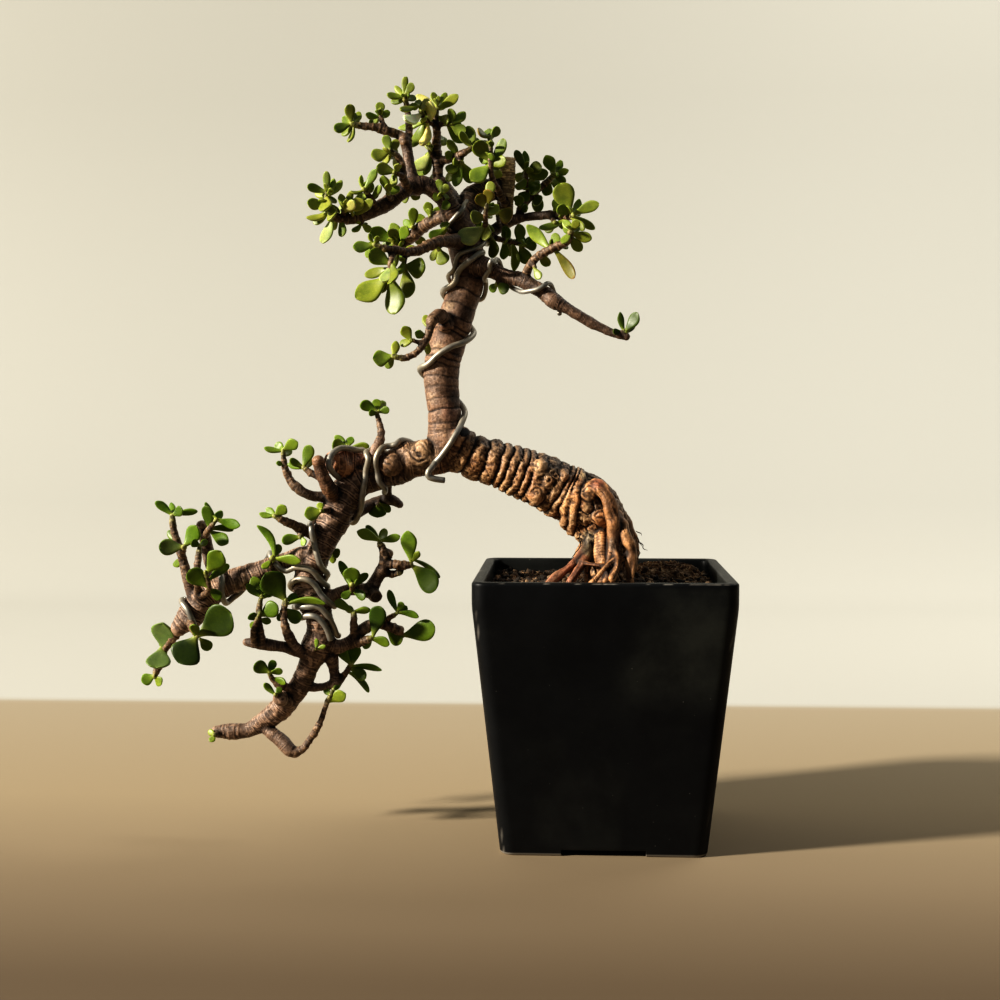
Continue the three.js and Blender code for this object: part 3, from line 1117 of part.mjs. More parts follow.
function box(sizeX, sizeY, sizeZ, x, y, z) {
  return solidOf(new THREE.BoxGeometry(sizeX, sizeY, sizeZ).translate(x, y, z));
}

// ---- Tubes along branches -----------------------------------------------------------------------

function curveOf(points) {
  const curve = new THREE.CatmullRomCurve3(points.map((p) => vec(p[0], p[1], p[2])), false, 'centripetal');
  return curve;
}

// Stations along a branch: centre, direction, radius and distance from its start.
function stationsOf(points, spacing) {
  const curve = curveOf(points);
  const spans = points.length - 1;
  const stations = [];
  let travelled = 0;
  let before = null;
  for (let k = 0; k < spans; k += 1) {
    const length = vec(...points[k].slice(0, 3)).distanceTo(vec(...points[k + 1].slice(0, 3)));
    const parts = Math.max(1, Math.round(length / spacing));
    const stop = k === spans - 1 ? parts : parts - 1;
    for (let i = 0; i <= stop; i += 1) {
      const t = (k + i / parts) / spans;
      const centre = curve.getPoint(t);
      travelled += before ? centre.distanceTo(before) : 0;
      before = centre;
      const radius = THREE.MathUtils.lerp(points[k][3], points[k + 1][3], i / parts);
      stations.push({ centre, direction: curve.getTangent(t), radius, travelled });
    }
  }
  return stations;
}

function ringAround(station, side, sides, scale) {
  const across = side.clone().projectOnPlane(station.direction).normalize();
  const over = station.direction.clone().cross(across);
  const ring = [];
  for (let i = 0; i < sides; i += 1) {
    const angle = (i / sides) * Math.PI * 2;
    const out = across.clone().multiplyScalar(Math.cos(angle)).addScaledVector(over, Math.sin(angle));
    ring.push(station.centre.clone().addScaledVector(out, station.radius * scale));
  }
  return { ring, across };
}

function tube(stations, sides, grow = 0, scaleAt = () => 1) {
  const start = stations[0].direction;
  let side = Math.abs(start.y) < 0.8 ? vec(0, -1, 0) : vec(0, 0, 1);
  const rings = stations.map((station) => {
    const fat = { ...station, radius: station.radius + grow };
    const { ring, across } = ringAround(fat, side, sides, scaleAt(station));
    side = across;
    return ring;
  });
  return loft(rings);
}

function sidesFor(radius) {
  if (radius > 9) return 10;
  if (radius > 5) return 8;
  return radius > 2.6 ? 6 : 5;
}

function branch(points, grow = 0) {
  const widest = Math.max(...points.map((p) => p[3]));
  const spacing = Math.min(STATION_SPACING, Math.max(4, widest * 1.8));
  return tube(stationsOf(points, spacing), sidesFor(widest), grow);
}

// ---- Wood ---------------------------------------------------------------------------------------

// The leaning trunk wears raised rings: a narrow groove between every two of them.
function ringedTrunk(grow) {
  const points = WOOD.trunk;
  const stations = stationsOf(points, RING_PITCH / 3);
  const reach = (last) => stationsOf(points.slice(0, last + 1), STATION_SPACING).at(-1).travelled;
  const from = reach(RINGED_FROM);
  const to = reach(RINGED_TO);
  const isRinged = (s) => s.travelled > from && s.travelled < to;
  const kept = stations.filter((s, i) => isRinged(s) || i % PLAIN_STEP === 0 || i === stations.length - 1);
  const scale = (s) => {
    if (!isRinged(s)) return 1;
    const phase = (s.travelled / RING_PITCH) % 1;
    return phase < 1 / 3 ? 1 - RING_DEPTH : 1 + RING_DEPTH / 3;
  };
  return tube(kept, sidesFor(12), grow, scale);
}

function wood(grow = 0) {
  const parts = Object.entries(WOOD).map(([name, points]) => (
    name === 'trunk' ? ringedTrunk(grow) : branch(points, grow)));
  const knots = KNOTS.map(([x, y, z, r]) => (
    solidOf(new THREE.IcosahedronGeometry(r + grow).translate(x, y, z))));
  return union([...parts, ...knots]);
}

// ---- Leaves and sprays --------------------------------------------------------------------------

function leaf(row) {
  const base = vec(row[0], row[1], row[2]);
  const tip = vec(row[3], row[4], row[5]);
  const width = row[6];
  const along = tip.clone().sub(base);
  const length = along.length();
  along.normalize();
  const ahead = Math.abs(along.y) < 0.9 ? vec(0, -1, 0) : vec(0, 0, 1);
  const face = ahead.projectOnPlane(along).normalize().applyAxisAngle(along, THREE.MathUtils.degToRad(row[7]));
  const across = along.clone().cross(face);
  const blade = length > LONG_LEAF ? LONG_BLADE : (length > SHORT_LEAF ? MIDDLE_BLADE : SHORT_BLADE);
  const rings = blade.map(([t, wide, thick]) => {
    const lift = LEAF_CUP * length * 4 * t * (t - 1);
    const middle = base.clone().addScaledVector(along, t * length).addScaledVector(face, lift);
    const halfWidth = Math.max(0.6, (wide * width) / 2);
    const halfThick = (thick * LEAF_THICKNESS) / 2;
    return [
      middle.clone().addScaledVector(across, halfWidth),
      middle.clone().addScaledVector(face, -halfThick),
      middle.clone().addScaledVector(across, -halfWidth),
      middle.clone().addScaledVector(face, halfThick),
    ];
  });
  if (blade === SHORT_BLADE) {
    const shrink = rings.at(-1).map((p) => p.clone().lerp(tip, 0.75).addScaledVector(along, length * 0.1));
    rings.push(shrink);
  }
  return loft(rings);
}

function spray({ twigs, leaves }) {
  return union([...twigs.map((points) => branch(points)), ...leaves.map(leaf)]);
}

// ---- Wires --------------------------------------------------------------------------------------

// Cones between neighbouring wood points, used to tell how far a point is from the bark.
const LIMBS = Object.values(WOOD).flatMap((points) => points.slice(1).map((to, i) => ({
  from: vec(...points[i].slice(0, 3)),
  span: vec(...to.slice(0, 3)).sub(vec(...points[i].slice(0, 3))),
  radius: points[i][3],
  taper: to[3] - points[i][3],
})));

function nearestBark(point) {
  let best = { distance: Infinity, out: null };
  for (const limb of LIMBS) {
    const t = THREE.MathUtils.clamp(point.clone().sub(limb.from).dot(limb.span) / limb.span.lengthSq(), 0, 1);
    const out = point.clone().sub(limb.from).addScaledVector(limb.span, -t);
    const distance = out.length() - (limb.radius + limb.taper * t);
    if (distance < best.distance) best = { distance, out: out.normalize() };
  }
  return best;
}

// Pulls a wire's route down on to the bark, or out of it, and leaves free loops alone. The pull on each
// point is shared with its neighbours, so that the wire bends evenly.
function seated(points, radius) {
  const curve = new THREE.CatmullRomCurve3(points.map((p) => vec(...p)), false, 'centripetal');
  const count = Math.round(curve.getLength() / WIRE_STEP);
  const route = curve.getSpacedPoints(count);
  for (let round = 0; round < WIRE_SEAT_ROUNDS; round += 1) {
    const pulls = route.map((point) => {
      const { distance, out } = nearestBark(point);
      const lift = radius + WIRE_SEAT_GAP - distance;
      return lift > -WIRE_SEAT_REACH ? out.multiplyScalar(lift) : vec(0, 0, 0);
    });
    route.forEach((point, i) => {
      const before = pulls[Math.max(0, i - 1)];
      const after = pulls[Math.min(count, i + 1)];
      point.addScaledVector(pulls[i], 0.5).addScaledVector(before, 0.25).addScaledVector(after, 0.25);
    });
  }
  return route;
}

function wire({ radius, points }, grow = 0) {
  const route = seated(points, radius);
  const section = new THREE.Shape();
  for (let i = 0; i < WIRE_SIDES; i += 1) {
    const angle = (i / WIRE_SIDES) * Math.PI * 2;
    const place = [Math.cos(angle) * (radius + grow), Math.sin(angle) * (radius + grow)];
    if (i === 0) section.moveTo(...place);
    else section.lineTo(...place);
  }
  const extrudePath = new THREE.CatmullRomCurve3(route, false, 'centripetal');
  return solidOf(new THREE.ExtrudeGeometry(section, { steps: route.length - 1, extrudePath }));
}

// ---- Pot, screen and soil -----------------------------------------------------------------------

function roundedSquare(side, radius, z, perCorner = 4) {
  const ring = [];
  for (let corner = 0; corner < 4; corner += 1) {
    for (let i = 0; i <= perCorner; i += 1) {
      const angle = (corner + i / perCorner) * (Math.PI / 2);
      const middle = (corner + 0.5) * (Math.PI / 2);
      const reach = (side / 2 - radius) * Math.SQRT2;
      ring.push(vec(
        Math.cos(middle) * reach + Math.cos(angle) * radius,
        Math.sin(middle) * reach + Math.sin(angle) * radius,
        z,
      ));
    }
  }
  return ring;
}

// The sides lean out as they rise, and stand upright in the band under the rim.
const POT_BAND_FOOT = POT_HEIGHT - POT_BAND_HEIGHT;
const potSideAt = (z) => THREE.MathUtils.lerp(POT_BASE_SIDE, POT_TOP_SIDE, Math.min(1, z / POT_BAND_FOOT));
const cavitySideAt = (z) => potSideAt(z) - 2 * POT_WALL;

function pot() {
  const rimStart = POT_HEIGHT - POT_RIM_ROUND;
  const bandStart = POT_BAND_FOOT - POT_BAND_BREAK;
  const shoulder = POT_HEIGHT - 0.3 * POT_RIM_ROUND;
  const outer = loft([
    roundedSquare(potSideAt(0) - 2 * FOOT_BEVEL, POT_CORNER_RADIUS, 0),
    roundedSquare(potSideAt(FOOT_BEVEL), POT_CORNER_RADIUS, FOOT_BEVEL),
    roundedSquare(potSideAt(bandStart), POT_CORNER_RADIUS, bandStart),
    roundedSquare(POT_TOP_SIDE, POT_CORNER_RADIUS, POT_BAND_FOOT + POT_BAND_BREAK),
    roundedSquare(POT_TOP_SIDE, POT_CORNER_RADIUS, rimStart),
    roundedSquare(POT_TOP_SIDE - 0.7 * POT_RIM_ROUND, POT_CORNER_RADIUS - 0.4, shoulder),
    roundedSquare(POT_TOP_SIDE - 2 * POT_RIM_ROUND, POT_CORNER_RADIUS - 1, POT_HEIGHT),
  ]);
  const mouth = cavitySideAt(POT_HEIGHT) + 1.6 * POT_RIM_ROUND;
  const cavity = loft([
    roundedSquare(cavitySideAt(POT_FLOOR_TOP), CAVITY_CORNER_RADIUS, POT_FLOOR_TOP),
    roundedSquare(cavitySideAt(POT_BAND_FOOT), CAVITY_CORNER_RADIUS, POT_BAND_FOOT),
    roundedSquare(cavitySideAt(rimStart), CAVITY_CORNER_RADIUS, rimStart),
    roundedSquare(mouth, CAVITY_CORNER_RADIUS + 1, POT_HEIGHT),
    roundedSquare(mouth, CAVITY_CORNER_RADIUS + 1, POT_HEIGHT + POT_WALL),
  ]);
  const between = POT_BASE_SIDE - 2 * FOOT_SIDE;
  const notch = 2 * FOOT_HEIGHT;
  const reach = POT_BASE_SIDE * 1.2;
  const drain = new THREE.CylinderGeometry(DRAIN_RADIUS, DRAIN_RADIUS, 3 * POT_FLOOR_TOP, DRAIN_SIDES);
  return outer
    .subtract(cavity)
    .subtract(box(reach, between, notch, 0, 0, 0))
    .subtract(box(between, reach, notch, 0, 0, 0))
    .subtract(solidOf(drain.rotateX(Math.PI / 2)));
}

function drainScreen() {
  const bottom = POT_FLOOR_TOP + TOUCH_GAP;
  const middle = bottom + SCREEN_THICKNESS / 2;
  const pitch = SCREEN_SIDE / (SCREEN_HOLES + 0.5);
  const holes = [];
  for (let i = 0; i < SCREEN_HOLES; i += 1) {
    for (let j = 0; j < SCREEN_HOLES; j += 1) {
      const x = (i - (SCREEN_HOLES - 1) / 2) * pitch;
      const y = (j - (SCREEN_HOLES - 1) / 2) * pitch;
      holes.push(box(SCREEN_HOLE_SIDE, SCREEN_HOLE_SIDE, 4 * SCREEN_THICKNESS, x, y, middle));
    }
  }
  return box(SCREEN_SIDE, SCREEN_SIDE, SCREEN_THICKNESS, 0, 0, middle).subtract(union(holes));
}

function soil(fatWood) {
  const bottom = POT_FLOOR_TOP + TOUCH_GAP;
  const clear = 2 * TOUCH_GAP;
  const bed = loft([
    roundedSquare(cavitySideAt(bottom) - clear, CAVITY_CORNER_RADIUS, bottom, 2),
    roundedSquare(cavitySideAt(POT_BAND_FOOT) - clear, CAVITY_CORNER_RADIUS, POT_BAND_FOOT, 2),
    roundedSquare(cavitySideAt(SOIL_TOP) - clear, CAVITY_CORNER_RADIUS, SOIL_TOP, 2),
  ]);
  const heaps = SOIL_HEAPS.map(([x, y, halfX, halfY, height]) => {
    const ball = new THREE.SphereGeometry(1, 10, 4).rotateX(Math.PI / 2);
    return solidOf(ball.scale(halfX, halfY, height).translate(x, y, SOIL_TOP - 0.4));
  });
  const spare = SCREEN_SIDE + 2 * TOUCH_GAP;
  const seat = box(spare, spare, 2 * (SCREEN_THICKNESS + TOUCH_GAP), 0, 0, bottom);
  return union([bed, ...heaps]).subtract(seat).subtract(fatWood);
}

// ---- Lighter meshes -----------------------------------------------------------------------------

// The squared distances from a point to the planes of some faces, summed.
const offPlanes = (point, planes) => planes.reduce((sum, plane) => sum + plane.distanceToPoint(point) ** 2, 0);

// One pass over a closed mesh: a vertex that lies almost in its neighbours' planes is merged into one of them.
function mergePass(points, faces, allowed) {
  const around = points.map(() => []);
  faces.forEach((face, f) => face.forEach((v) => around[v].push(f)));
  const planeOf = (face) => new THREE.Plane().setFromCoplanarPoints(...face.map((v) => points[v]));
  const planes = faces.map(planeOf);
  const neighbours = (v) => new Set(around[v].flatMap((f) => faces[f]).filter((u) => u !== v));
  const moves = [];
  points.forEach((_, from) => {
    for (const to of neighbours(from)) {
      const cost = offPlanes(points[to], around[from].map((f) => planes[f]));
      if (cost < allowed ** 2) moves.push({ from, to, cost });
    }
  });
  moves.sort((a, b) => a.cost - b.cost || a.from - b.from || a.to - b.to);
  const touched = new Set();
  const goesTo = new Map();
  for (const { from, to } of moves) {
    const near = neighbours(from);
    if (touched.has(from) || touched.has(to) || [...near].some((v) => touched.has(v))) continue;
    const shared = [...neighbours(to)].filter((v) => near.has(v));
    const turned = around[from].map((f) => faces[f]).filter((face) => !face.includes(to));
    const keepsFacing = turned.every((face) => {
      const moved = new THREE.Triangle(...face.map((v) => points[v === from ? to : v]));
      const before = planeOf(face).normal;
      return moved.getArea() > SLIVER_AREA && moved.getNormal(vec(0, 0, 0)).dot(before) > LEAST_TURN;
    });
    if (shared.length !== 2 || !keepsFacing) continue;
    near.forEach((v) => touched.add(v));
    touched.add(from);
    goesTo.set(from, to);
  }
  const kept = faces
    .map((face) => face.map((v) => (goesTo.has(v) ? goesTo.get(v) : v)))
    .filter((face) => new Set(face).size === 3);
  return { faces: kept, merged: goesTo.size };
}

function lighter(solid, allowed) {
  const { vertProperties, triVerts } = solid.getMesh();
  const points = [];
  for (let i = 0; i < vertProperties.length; i += 3) points.push(vec(...vertProperties.slice(i, i + 3)));
  let faces = [];
  for (let i = 0; i < triVerts.length; i += 3) faces.push([...triVerts.slice(i, i + 3)]);
  for (let merged = Infinity; merged > 0;) {
    const pass = mergePass(points, faces, allowed);
    faces = pass.faces;
    merged = pass.merged;
  }
  const used = [...new Set(faces.flat())].sort((a, b) => a - b);
  const place = new Map(used.map((v, i) => [v, i]));
  return solidFrom(used.map((v) => points[v]), faces.map((face) => face.map((v) => place.get(v))));
}

// ---- Assembly -----------------------------------------------------------------------------------

function meshOf(name, solid, material) {
  const { vertProperties, triVerts } = largestBody(largestBody(solid).simplify(SIMPLIFY)).getMesh();
  const geometry = new THREE.BufferGeometry();
  geometry.setAttribute('position', new THREE.BufferAttribute(vertProperties, 3));
  geometry.setIndex(new THREE.BufferAttribute(triVerts, 1));
  geometry.computeVertexNormals();
  const mesh = new THREE.Mesh(geometry, material);
  mesh.name = name;
  return mesh;
}

const fatWires = union(Object.values(WIRES).map((row) => wire(row, TOUCH_GAP)));
const fatWood = lighter(wood(LEAF_CLEAR), WOOD_MERGE);
const clearance = union([fatWood, fatWires]);

const group = new THREE.Group();
group.add(meshOf('pot', pot(), MATERIALS.glaze));
group.add(meshOf('drain_screen', drainScreen(), MATERIALS.mesh));
const soilWood = lighter(wood(SOIL_CLEAR), WOOD_MERGE);
group.add(meshOf('soil', soil(soilWood), MATERIALS.soil));
group.add(meshOf('tree_wood', lighter(wood(), WOOD_MERGE).subtract(fatWires), MATERIALS.bark));
for (const [name, row] of Object.entries(WIRES)) {
  group.add(meshOf(name, lighter(wire(row), WIRE_MERGE), MATERIALS.wire));
}
for (const [name, row] of Object.entries(SPRAYS)) {
  const whole = lighter(spray(row).simplify(SIMPLIFY), SPRAY_MERGE);
  const cut = largestBody(whole.subtract(clearance)).simplify(SIMPLIFY);
  group.add(meshOf(`spray_${name}`, lighter(cut, CUT_MERGE), MATERIALS.leaf));
}

const extent = new THREE.Box3().setFromObject(group);
group.position.set(-(extent.min.x + extent.max.x) / 2, -(extent.min.y + extent.max.y) / 2, -extent.min.z);

export default group;
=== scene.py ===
"""Looks of the semi-cascade dwarf jade bonsai in its black square cascade pot.

The tables are in millimetres round the pot's own axis, z from the ground, front of the pot towards -Y.
"""
import math
from itertools import product

import bpy
import numpy as np
import openvdb
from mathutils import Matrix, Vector


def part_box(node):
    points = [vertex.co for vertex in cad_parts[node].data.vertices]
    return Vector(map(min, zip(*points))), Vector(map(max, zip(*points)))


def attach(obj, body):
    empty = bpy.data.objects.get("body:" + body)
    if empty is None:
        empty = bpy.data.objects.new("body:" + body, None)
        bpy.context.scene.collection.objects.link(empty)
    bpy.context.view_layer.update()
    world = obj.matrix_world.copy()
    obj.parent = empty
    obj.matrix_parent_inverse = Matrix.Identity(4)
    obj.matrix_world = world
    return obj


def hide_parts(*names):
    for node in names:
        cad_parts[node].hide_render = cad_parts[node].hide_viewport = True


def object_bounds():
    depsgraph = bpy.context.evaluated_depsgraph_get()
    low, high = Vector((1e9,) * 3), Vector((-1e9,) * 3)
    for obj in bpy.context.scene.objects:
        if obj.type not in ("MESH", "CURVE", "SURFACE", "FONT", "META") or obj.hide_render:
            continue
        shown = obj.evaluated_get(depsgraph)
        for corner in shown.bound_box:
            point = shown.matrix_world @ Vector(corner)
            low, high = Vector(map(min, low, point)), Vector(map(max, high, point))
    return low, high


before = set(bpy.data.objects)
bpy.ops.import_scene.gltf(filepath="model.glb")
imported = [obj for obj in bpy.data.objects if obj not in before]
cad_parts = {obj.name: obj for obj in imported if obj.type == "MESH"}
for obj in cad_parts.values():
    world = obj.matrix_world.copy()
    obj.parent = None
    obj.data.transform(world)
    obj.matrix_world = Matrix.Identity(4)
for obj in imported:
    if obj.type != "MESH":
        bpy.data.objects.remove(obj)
cad_low, cad_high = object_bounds()

MM = 0.001
pot_low, pot_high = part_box("pot")
AXIS = np.array([(pot_low.x + pot_high.x) / 2, (pot_low.y + pot_high.y) / 2, pot_low.z])
BOX_LOW, BOX_HIGH = (np.array(corner) / MM - AXIS / MM for corner in (cad_low, cad_high))

# ---- Tables. A line that ends in a comma goes on in the next. ---------------------------------------

# Each row is one length of wood: a name, then x y z radius at each of its points.
WOOD_ROWS = """
trunk 2 0 123 11.8, 2.5 0 131.5 11.8, 2.5 0 145.5 12, 1 0 153 12.8, -2.5 0 159.5 14.6, -7.5 0 166 15.6,
-11 -1 169 15.3, -18.5 -1 173 14.3, -31.5 -3 180 13.5, -40.5 -4 183.5 12.7, -50 -5 187.5 11.9,
-58 -6 190 11.4, -67.5 -7 193 11.2, -75 -8 197 10.9, -79.5 -8 202.5 9.9, -80 -8 207.5 8.9,
-80.5 -8 215 8.4, -81.5 -7 223.5 8.6, -82 -6 236 9.1, -79.5 -5 249 9.4, -76 -4 259 9.1,
-72.5 -3.5 270 8.6, -69 -2.5 280 8.4, -68.5 -1.5 291 8.6, -71 0 301 8.6, -73.5 0 309.5 7.6,
-74 1.5 314.5 6.1
junction_left -76.5 -8 195 9.6, -85.5 -8 192.5 9.4, -94 -9 191.5 8.9, -102 -10 190.5 8.1,
-106 -12.5 189.5 6.3, -108.5 -14 189 4.3
cascade -97 -8 188.5 6.6, -105 -7.5 185.5 7.6, -115.5 -7 183.5 8.1, -125.5 -8.5 179.5 8.4,
-131 -10 172.5 8.4, -135.5 -11.5 162.5 8.1, -140.5 -13 152 7.1, -144.5 -14.5 143 6.6, -149 -14.5 133 7.1,
-149 -14.5 123 7.9, -144 -16 114 6.8, -143 -16 104.5 6.6, -145 -16 96.5 7.6, -149 -14.5 87 5.6,
-153.5 -13 77.5 5.4, -159.5 -11.5 69 5.6, -166 -10 62 5.4, -174 -8.5 56 4.6, -182.5 -7 51 3.9,
-191.5 -7 50.5 4.1, -198.5 -7 50 3.1
stub_left -120 -5.5 183.5 6.6, -125.5 -7 187.5 6.9, -130.5 -10 189 6.8, -134.5 -13 189.5 6.6,
-138 -16 189.5 5.3
stub_spur -135.5 -16 172 3.8, -137.5 -21 177 3.8, -140 -24 183 3.2, -142 -25.5 189.5 2.7,
-142.5 -25.5 191.5 2.2
twig_b_base -135 -13 169.5 3.5, -140 -14.5 172 2.8, -146 -16 172.5 2.5, -150.5 -18 174.5 2.3,
-154.5 -18 177.5 2.3
twig_e -132.5 -7 164 4.6, -126 1 164 3.3, -121 7 166.5 2.9, -115.5 10 169 2.6, -110 10 169.5 3.1,
-105.5 9.5 167 2.1
twig_e_link -110.5 -2 183.5 2.3, -110.5 3 177 1.8, -111.5 9.5 169.5 2.1
twig_a_base -118 -13 183.5 2.5, -116 -16 191 2.3, -115 -16 196 2, -112 -14 201 2
twig_d_base -141 -16 150.5 2.8, -147.5 -19.5 154 2.5, -152 -21 157 2.5
left_branch -146.5 -14.5 142 5.6, -153.5 -14.5 141 5.6, -160.5 -14.5 139 4.8, -171 -13 135.5 5.1,
-181.5 -13 131 6.1, -192 -13 127.5 6.4, -201 -13 122 6.9, -207 -13 115 6.6, -211.5 -13 109.5 6.4,
-216 -13 105 4.3
twig_f_base -207.5 -13 119 2.8, -210.5 -13 125.5 2.8, -212 -13 132 2.6
twig_g -197.5 -11.5 126 3.1, -200.5 -5.5 134 3.1, -204 -2 144.5 3.1, -205 -4 152.5 2.8,
-206.5 -4 156.5 2.3
branch_j -145.5 -16 92.5 4.1, -153 -19.5 94 3, -160 -21 96.5 2.8, -167 -21 97.5 2.8, -174 -21 98.5 3,
-180 -21 99 2
twig_k_base -151 -19.5 93 2.5, -155.5 -22.5 98 2.5, -157.5 -24 103.5 2.3
branch_m -152 -13 76.5 2.3, -147.5 -11.5 74.5 2.3, -141.5 -11.5 75 2, -136 -11.5 77 2.8,
-133.5 -10 79 1.8
branch_m2 -143.5 -14.5 95.5 5.1, -138.5 -13 90.5 3.8, -137 -11.5 84 2.8, -136 -11.5 77 2.8
branch_r1 -143.5 -14.5 120 5.1, -136 -14.5 122 3.3, -130.5 -13 124.5 2.8, -124.5 -11.5 125 3.1,
-119 -10 124.5 3.6, -116 -8.5 129 3.3, -113 -8.5 134 2.8
stub_r1 -118.5 -8.5 124.5 3.3, -114.5 -16 121.5 3.3
branch_r3 -142 -16 98.5 5.1, -134.5 -14.5 96 3.6, -128.5 -13 98.5 3.1, -124.5 -13 102.5 3.1,
-119 -13 106.5 2.8
branch_l -175 -8.5 54.5 3.1, -170.5 -10 51 3.3, -164.5 -11.5 47 3.6, -160 -13 42.5 3.6, -157 -13 41 2.3
stub_n -155.5 -13 71.5 2.6, -160 -18 75.5 2.3, -164 -21 78 2.3
knob_281 -159.5 -14.5 67.5 3.6, -163 -24 71 2.8
limb_left -73.5 -1.5 309 6.1, -76.5 -5 315.5 5.3, -80.5 -6.5 322 4.5, -85.5 -8 326.5 4.3, -91 -10 329 4,
-96 -11.5 328 4, -102 -15 324 4, -108.5 -18 318 3.7, -116 -23 313.5 3.2
limb_up -94.5 -10 327 3.8, -97 -10 335 3, -98.5 -8 344 2.8, -100 -8 352 2.8
limb_centre -73.5 6.5 309 5.1, -77 8 319 5.6, -80.5 10 327 5.1, -82.5 10 332 3.6
limb_back_left -74 5 306.5 4.6, -81 20 316.5 3.6, -87 25 317 3.1
limb_front_left -71.5 -6.5 300.5 4.5, -77.5 -20 299.5 3, -82 -26.5 298.5 2.7
limb_right_back -72.5 6.5 310 6.1, -69.5 13 320.5 7.2, -64.5 16.5 326.5 6.7, -58 18 330 5.7,
-52 18 331.5 4.1
limb_right -70 0 300 5.1, -62.5 8 304.5 3.6, -56.5 13 308.5 3.1, -50.5 16.5 312.5 3.1, -43 16.5 315 2.3,
-35.5 16.5 316 2.1, -27.5 15 316.5 2.1
stub_cut -50.5 18 313 3.6, -51 18 321.5 4.1, -50 18 334 4.4, -49.5 18 346 4.1
limb_main_right -67.5 -6 289.5 6, -58.5 -10.5 287 4.8, -53.5 -13 284.5 4, -48 -15.5 282 3.7,
-42 -18.5 280.5 3.7, -35.5 -20.5 277 3.5, -29.5 -22 273.5 3.7, -25.5 -23.5 270 4.2, -20.5 -24 267 3,
-14.5 -24 263.5 2.7, -8 -23.5 259.5 2.5, -2 -23.5 256.5 2.2, 3.5 -24 254 2.2, 10.5 -25 252 2
twig_t_base -78 -8.5 260 3.3, -82.5 -22.5 262.5 3.2, -85.5 -25.5 259.5 2.7
root_arch -7.5 -9 173 3.8, -4 -13 178 4, 0.5 -16 175 4, 3.5 -17 168 4, 5 -17 160 3.7, 5 -17 151 3.3,
4 -19 142.5 2.7, 1.5 -22 131.5 2.2
root_right 4.5 -6 164.5 3.5, 9 -15 158 3.3, 12 -18 151 3.2, 14 -19 144.5 3, 13.5 -21 136.5 2.7,
12 -23 126.5 2.2
root_right_side 4 2 168 4.6, 11 3 157.5 4.1, 14.5 3 148.5 3.8, 14 4 139 3.6, 13.5 5 128.5 2.8
root_centre -1 -10 156.5 3.3, -1 -15 148.5 3.5, -1 -18 140 3.3, -1.5 -20 129 2.5
root_centre_left -6.5 -6 158 3.6, -7.5 -9 148 3.3, -8 -12 139.5 2.8, -8.5 -16 128.5 2
root_left -6.5 -8 150.5 2.5, -11.5 -14 142.5 2.3, -17.5 -19 137.5 2.2, -25.5 -24 131.5 2,
-31.5 -28 127 1.2
root_left_low -7.5 -10 145.5 2.3, -10 -18 140 2, -14.5 -24 134 2.2, -18.5 -27 128 1.5
root_bar -11.5 -18 140 1.3, -7 -22 139.5 1, 1 -24 138 1.2, 4 -25 134.5 1.2
rootlet_cross 13 -18 145 1.5, 4 -24 141 1.2, -0.5 -26 137 1.5, -6 -29 130.5 1.5
root_knee 6 -18 147 2, 7 -23 140.5 2, 4 -28 133 2
root_back_left -6.5 8 151.5 3.6, -11.5 16 140.5 3.1, -19 24 129 2.1
root_back 1 10 154 4.1, 2 20 141.5 3.4, 3 32 126.5 2.1
root_back_right 9 8 153 3.6, 13.5 18 142 3.1, 17 26 127.5 2.4
"""

